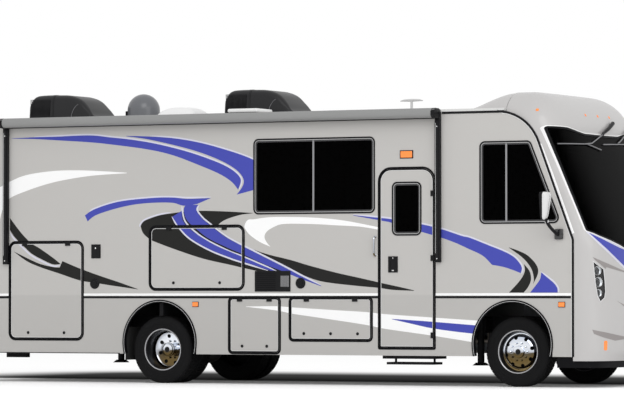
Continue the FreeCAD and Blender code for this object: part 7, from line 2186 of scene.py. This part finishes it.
class COACH_OT_underbody(bpy.types.Operator):
    """Finishes of the chassis, axles, driveline, tank, exhaust, jacks and flaps"""
    bl_idname = "coach.underbody"
    bl_label = "Underbody"

    def execute(self, context):
        black = under_black()
        iron = worn("cast iron", (0.050, 0.047, 0.044), 0.6, tone=0.4, scale=8.0, metallic=0.4)
        for name in ("frame_rails", "cross_members", "jacks", "entry_step"):
            dress(name, black)
        for name in ("front_axle", "rear_axle", "knuckle_right", "knuckle_left", "tie_rod"):
            dress(name, iron)
        dress("driveline", worn("engine paint", (0.10, 0.11, 0.12), 0.5, tone=0.2, scale=5.0))
        dress("fuel_tank", worn("tank shell", (0.02, 0.02, 0.02), 0.5))
        dress("exhaust", worn("exhaust steel", (0.30, 0.27, 0.24), 0.4, tone=0.4, scale=7.0,
                              metallic=0.9))
        dress("mud_flaps", worn("flap rubber", (0.015, 0.015, 0.015), 0.8))
        return {"FINISHED"}


# Stage: painted shadow on the floor behind the vehicle, as places across and along it and how dark
PAINTED_SHADOW_ACROSS = [(0.10, 0.0), (1.00, 0.98), (4.00, 0.95), (7.40, 0.0)]
PAINTED_SHADOW_ALONG = [(-7.5, 0.0), (-5.0, 1.0), (5.2, 1.0), (7.7, 0.0)]
PAINTED_SHADOW_REACH = 10.0
FLOOR_WHITE = (0.96, 0.96, 0.96, 1.0)
FLOOR_PAINTED_SHADOW = (0.002, 0.002, 0.002, 1.0)
FLOOR_LIFT = 0.09
SKY_LIGHT = 0.88
SKY_WHITE = (1.0, 1.0, 1.0, 1.0)
# Name, place, point it faces, diameter and power of each lamp
LAMPS = (("key light", (16, -30, 26), (0.0, 0.0, 1.5), 26.0, 3700.0),
         ("fill light", (24, -14, 10), (1.0, 0.0, 1.5), 16.0, 720.0))


class COACH_OT_stage(bpy.types.Operator):
    """Pale floor with a painted shadow behind the vehicle, soft light and the camera at the
    photograph's angle
    """
    bl_idname = "coach.stage"
    bl_label = "Stage"

    def execute(self, context):
        scene = context.scene
        scene.view_settings.view_transform = "Standard"
        floor = block("floor sheet", (-90, -60, -0.060), (60, 160, -0.0005), self.floor_white())
        self.world(scene)
        key, fill = (self.lamp(scene, *lamp) for lamp in LAMPS)
        data = bpy.data.cameras.new("camera")
        data.lens, data.sensor_width, data.clip_end = CAMERA_LENS, SENSOR_WIDTH, 400.0
        camera = bpy.data.objects.new("camera", data)
        scene.collection.objects.link(camera)
        camera.location = CAMERA_PLACE
        camera.rotation_euler = (math.radians(90) + CAMERA_PITCH, 0.0, CAMERA_TURN)
        scene.camera = camera
        return {"FINISHED"}

    def seen_directly(self, tree):
        """Socket that is 1 for rays from the camera or through glass."""
        path = add_node(tree, "ShaderNodeLightPath")
        seen = add_node(tree, "ShaderNodeMath", operation="MAXIMUM")
        wire(tree, (path.outputs["Is Camera Ray"], seen.inputs[0]),
             (path.outputs["Is Transmission Ray"], seen.inputs[1]))
        return seen.outputs[0]

    def floor_white(self):
        """White floor with a painted shadow behind the vehicle; the camera sees its white lifted to
        plain white.
        """
        material, _ = material_named("stage floor", Roughness=0.9, Specular_IOR_Level=0.0,
                                     Emission_Color=SKY_WHITE)
        tree = material.node_tree
        # Painted shadow: the floor colour darkens behind the vehicle by a mask across and along it
        place = add_node(tree, "ShaderNodeTexCoord")
        spot = add_node(tree, "ShaderNodeSeparateXYZ")
        shade = add_node(tree, "ShaderNodeMath", operation="MULTIPLY")
        wire(tree, (place.outputs["Object"], spot.inputs[0]))
        for i, (axis, stops) in enumerate((("Y", PAINTED_SHADOW_ACROSS), ("X", PAINTED_SHADOW_ALONG))):
            share = add_node(tree, "ShaderNodeMapRange",
                             {"From Min": -PAINTED_SHADOW_REACH, "From Max": PAINTED_SHADOW_REACH})
            stops = [((at + PAINTED_SHADOW_REACH) / (2 * PAINTED_SHADOW_REACH), (level,) * 3) for at, level in stops]
            wire(tree, (spot.outputs[axis], share.inputs["Value"]),
                 (ramp(tree, share.outputs["Result"], stops, "EASE"), shade.inputs[i]))
        mix = add_node(tree, "ShaderNodeMix", data_type="RGBA")
        mix.inputs["A"].default_value = FLOOR_WHITE
        mix.inputs["B"].default_value = FLOOR_PAINTED_SHADOW
        clear = add_node(tree, "ShaderNodeMath", {1: -FLOOR_LIFT, 2: FLOOR_LIFT},
                         operation="MULTIPLY_ADD")
        lift = add_node(tree, "ShaderNodeMath", operation="MULTIPLY")
        shader = tree.nodes["Principled BSDF"]
        wire(tree, (shade.outputs[0], mix.inputs["Factor"]),
             (mix.outputs["Result"], shader.inputs["Base Color"]),
             (shade.outputs[0], clear.inputs[0]), (clear.outputs[0], lift.inputs[1]),
             (self.seen_directly(tree), lift.inputs[0]),
             (lift.outputs[0], shader.inputs["Emission Strength"]))
        return material

    def world(self, scene):
        """Even sky light, seen as plain white."""
        world = bpy.data.worlds.new("soft sky")
        scene.world = world
        world.use_nodes = True
        tree = world.node_tree
        soft = tree.nodes["Background"]
        soft.inputs["Color"].default_value = SKY_WHITE
        soft.inputs["Strength"].default_value = SKY_LIGHT
        seen = add_node(tree, "ShaderNodeBackground", {"Color": SKY_WHITE, "Strength": 1.0})
        mix = add_node(tree, "ShaderNodeMixShader")
        wire(tree, (self.seen_directly(tree), mix.inputs[0]), (soft.outputs[0], mix.inputs[1]),
             (seen.outputs[0], mix.inputs[2]),
             (mix.outputs[0], tree.nodes["World Output"].inputs["Surface"]))

    def lamp(self, scene, name, place, target, size, power):
        data = bpy.data.lights.new(name, "AREA")
        data.shape, data.size, data.energy = "DISK", size, power
        lamp = bpy.data.objects.new(name, data)
        scene.collection.objects.link(lamp)
        lamp.location = place
        lamp.rotation_euler = (Vector(target) - Vector(place)).to_track_quat("-Z", "Y").to_euler()
        return lamp


OPERATORS = (COACH_OT_body, COACH_OT_front_cap, COACH_OT_wheels, COACH_OT_windows, COACH_OT_seals,
             COACH_OT_side_trim, COACH_OT_side_fittings, COACH_OT_awning, COACH_OT_roof_fittings,
             COACH_OT_front_fittings, COACH_OT_wipers, COACH_OT_cab, COACH_OT_rear_fittings,
             COACH_OT_underbody, COACH_OT_stripes, COACH_OT_stage)


class COACH_PT_sidebar(bpy.types.Panel):
    """Sizes, colours and buttons of the motorhome's finish"""
    bl_idname = "COACH_PT_sidebar"
    bl_label = "Motorhome"
    bl_space_type = "VIEW_3D"
    bl_region_type = "UI"
    bl_category = "Motorhome"

    def draw(self, context):
        for settings in (context.scene.coach_paint, context.scene.coach_trim):
            column = self.layout.column(align=True)
            for name in settings.__annotations__:
                column.prop(settings, name)
        buttons = self.layout.column(align=True)
        for operator in OPERATORS:
            buttons.operator(operator.bl_idname)


CLASSES = (CoachPaint, CoachTrim) + OPERATORS + (COACH_PT_sidebar,)


def register():
    for each in CLASSES:
        bpy.utils.register_class(each)
    bpy.types.Scene.coach_paint = bpy.props.PointerProperty(type=CoachPaint)
    bpy.types.Scene.coach_trim = bpy.props.PointerProperty(type=CoachTrim)


def unregister():
    del bpy.types.Scene.coach_trim
    del bpy.types.Scene.coach_paint
    for each in reversed(CLASSES):
        bpy.utils.unregister_class(each)


def main():
    register()
    bpy.ops.coach.body()
    bpy.ops.coach.front_cap()
    bpy.ops.coach.wheels()
    bpy.ops.coach.windows()
    bpy.ops.coach.seals()
    bpy.ops.coach.side_trim()
    bpy.ops.coach.side_fittings()
    bpy.ops.coach.awning()
    bpy.ops.coach.roof_fittings()
    bpy.ops.coach.front_fittings()
    bpy.ops.coach.wipers()
    bpy.ops.coach.cab()
    bpy.ops.coach.rear_fittings()
    bpy.ops.coach.underbody()
    bpy.ops.coach.stripes()
    bpy.ops.coach.stage()


if __name__ == "__main__":
    main()
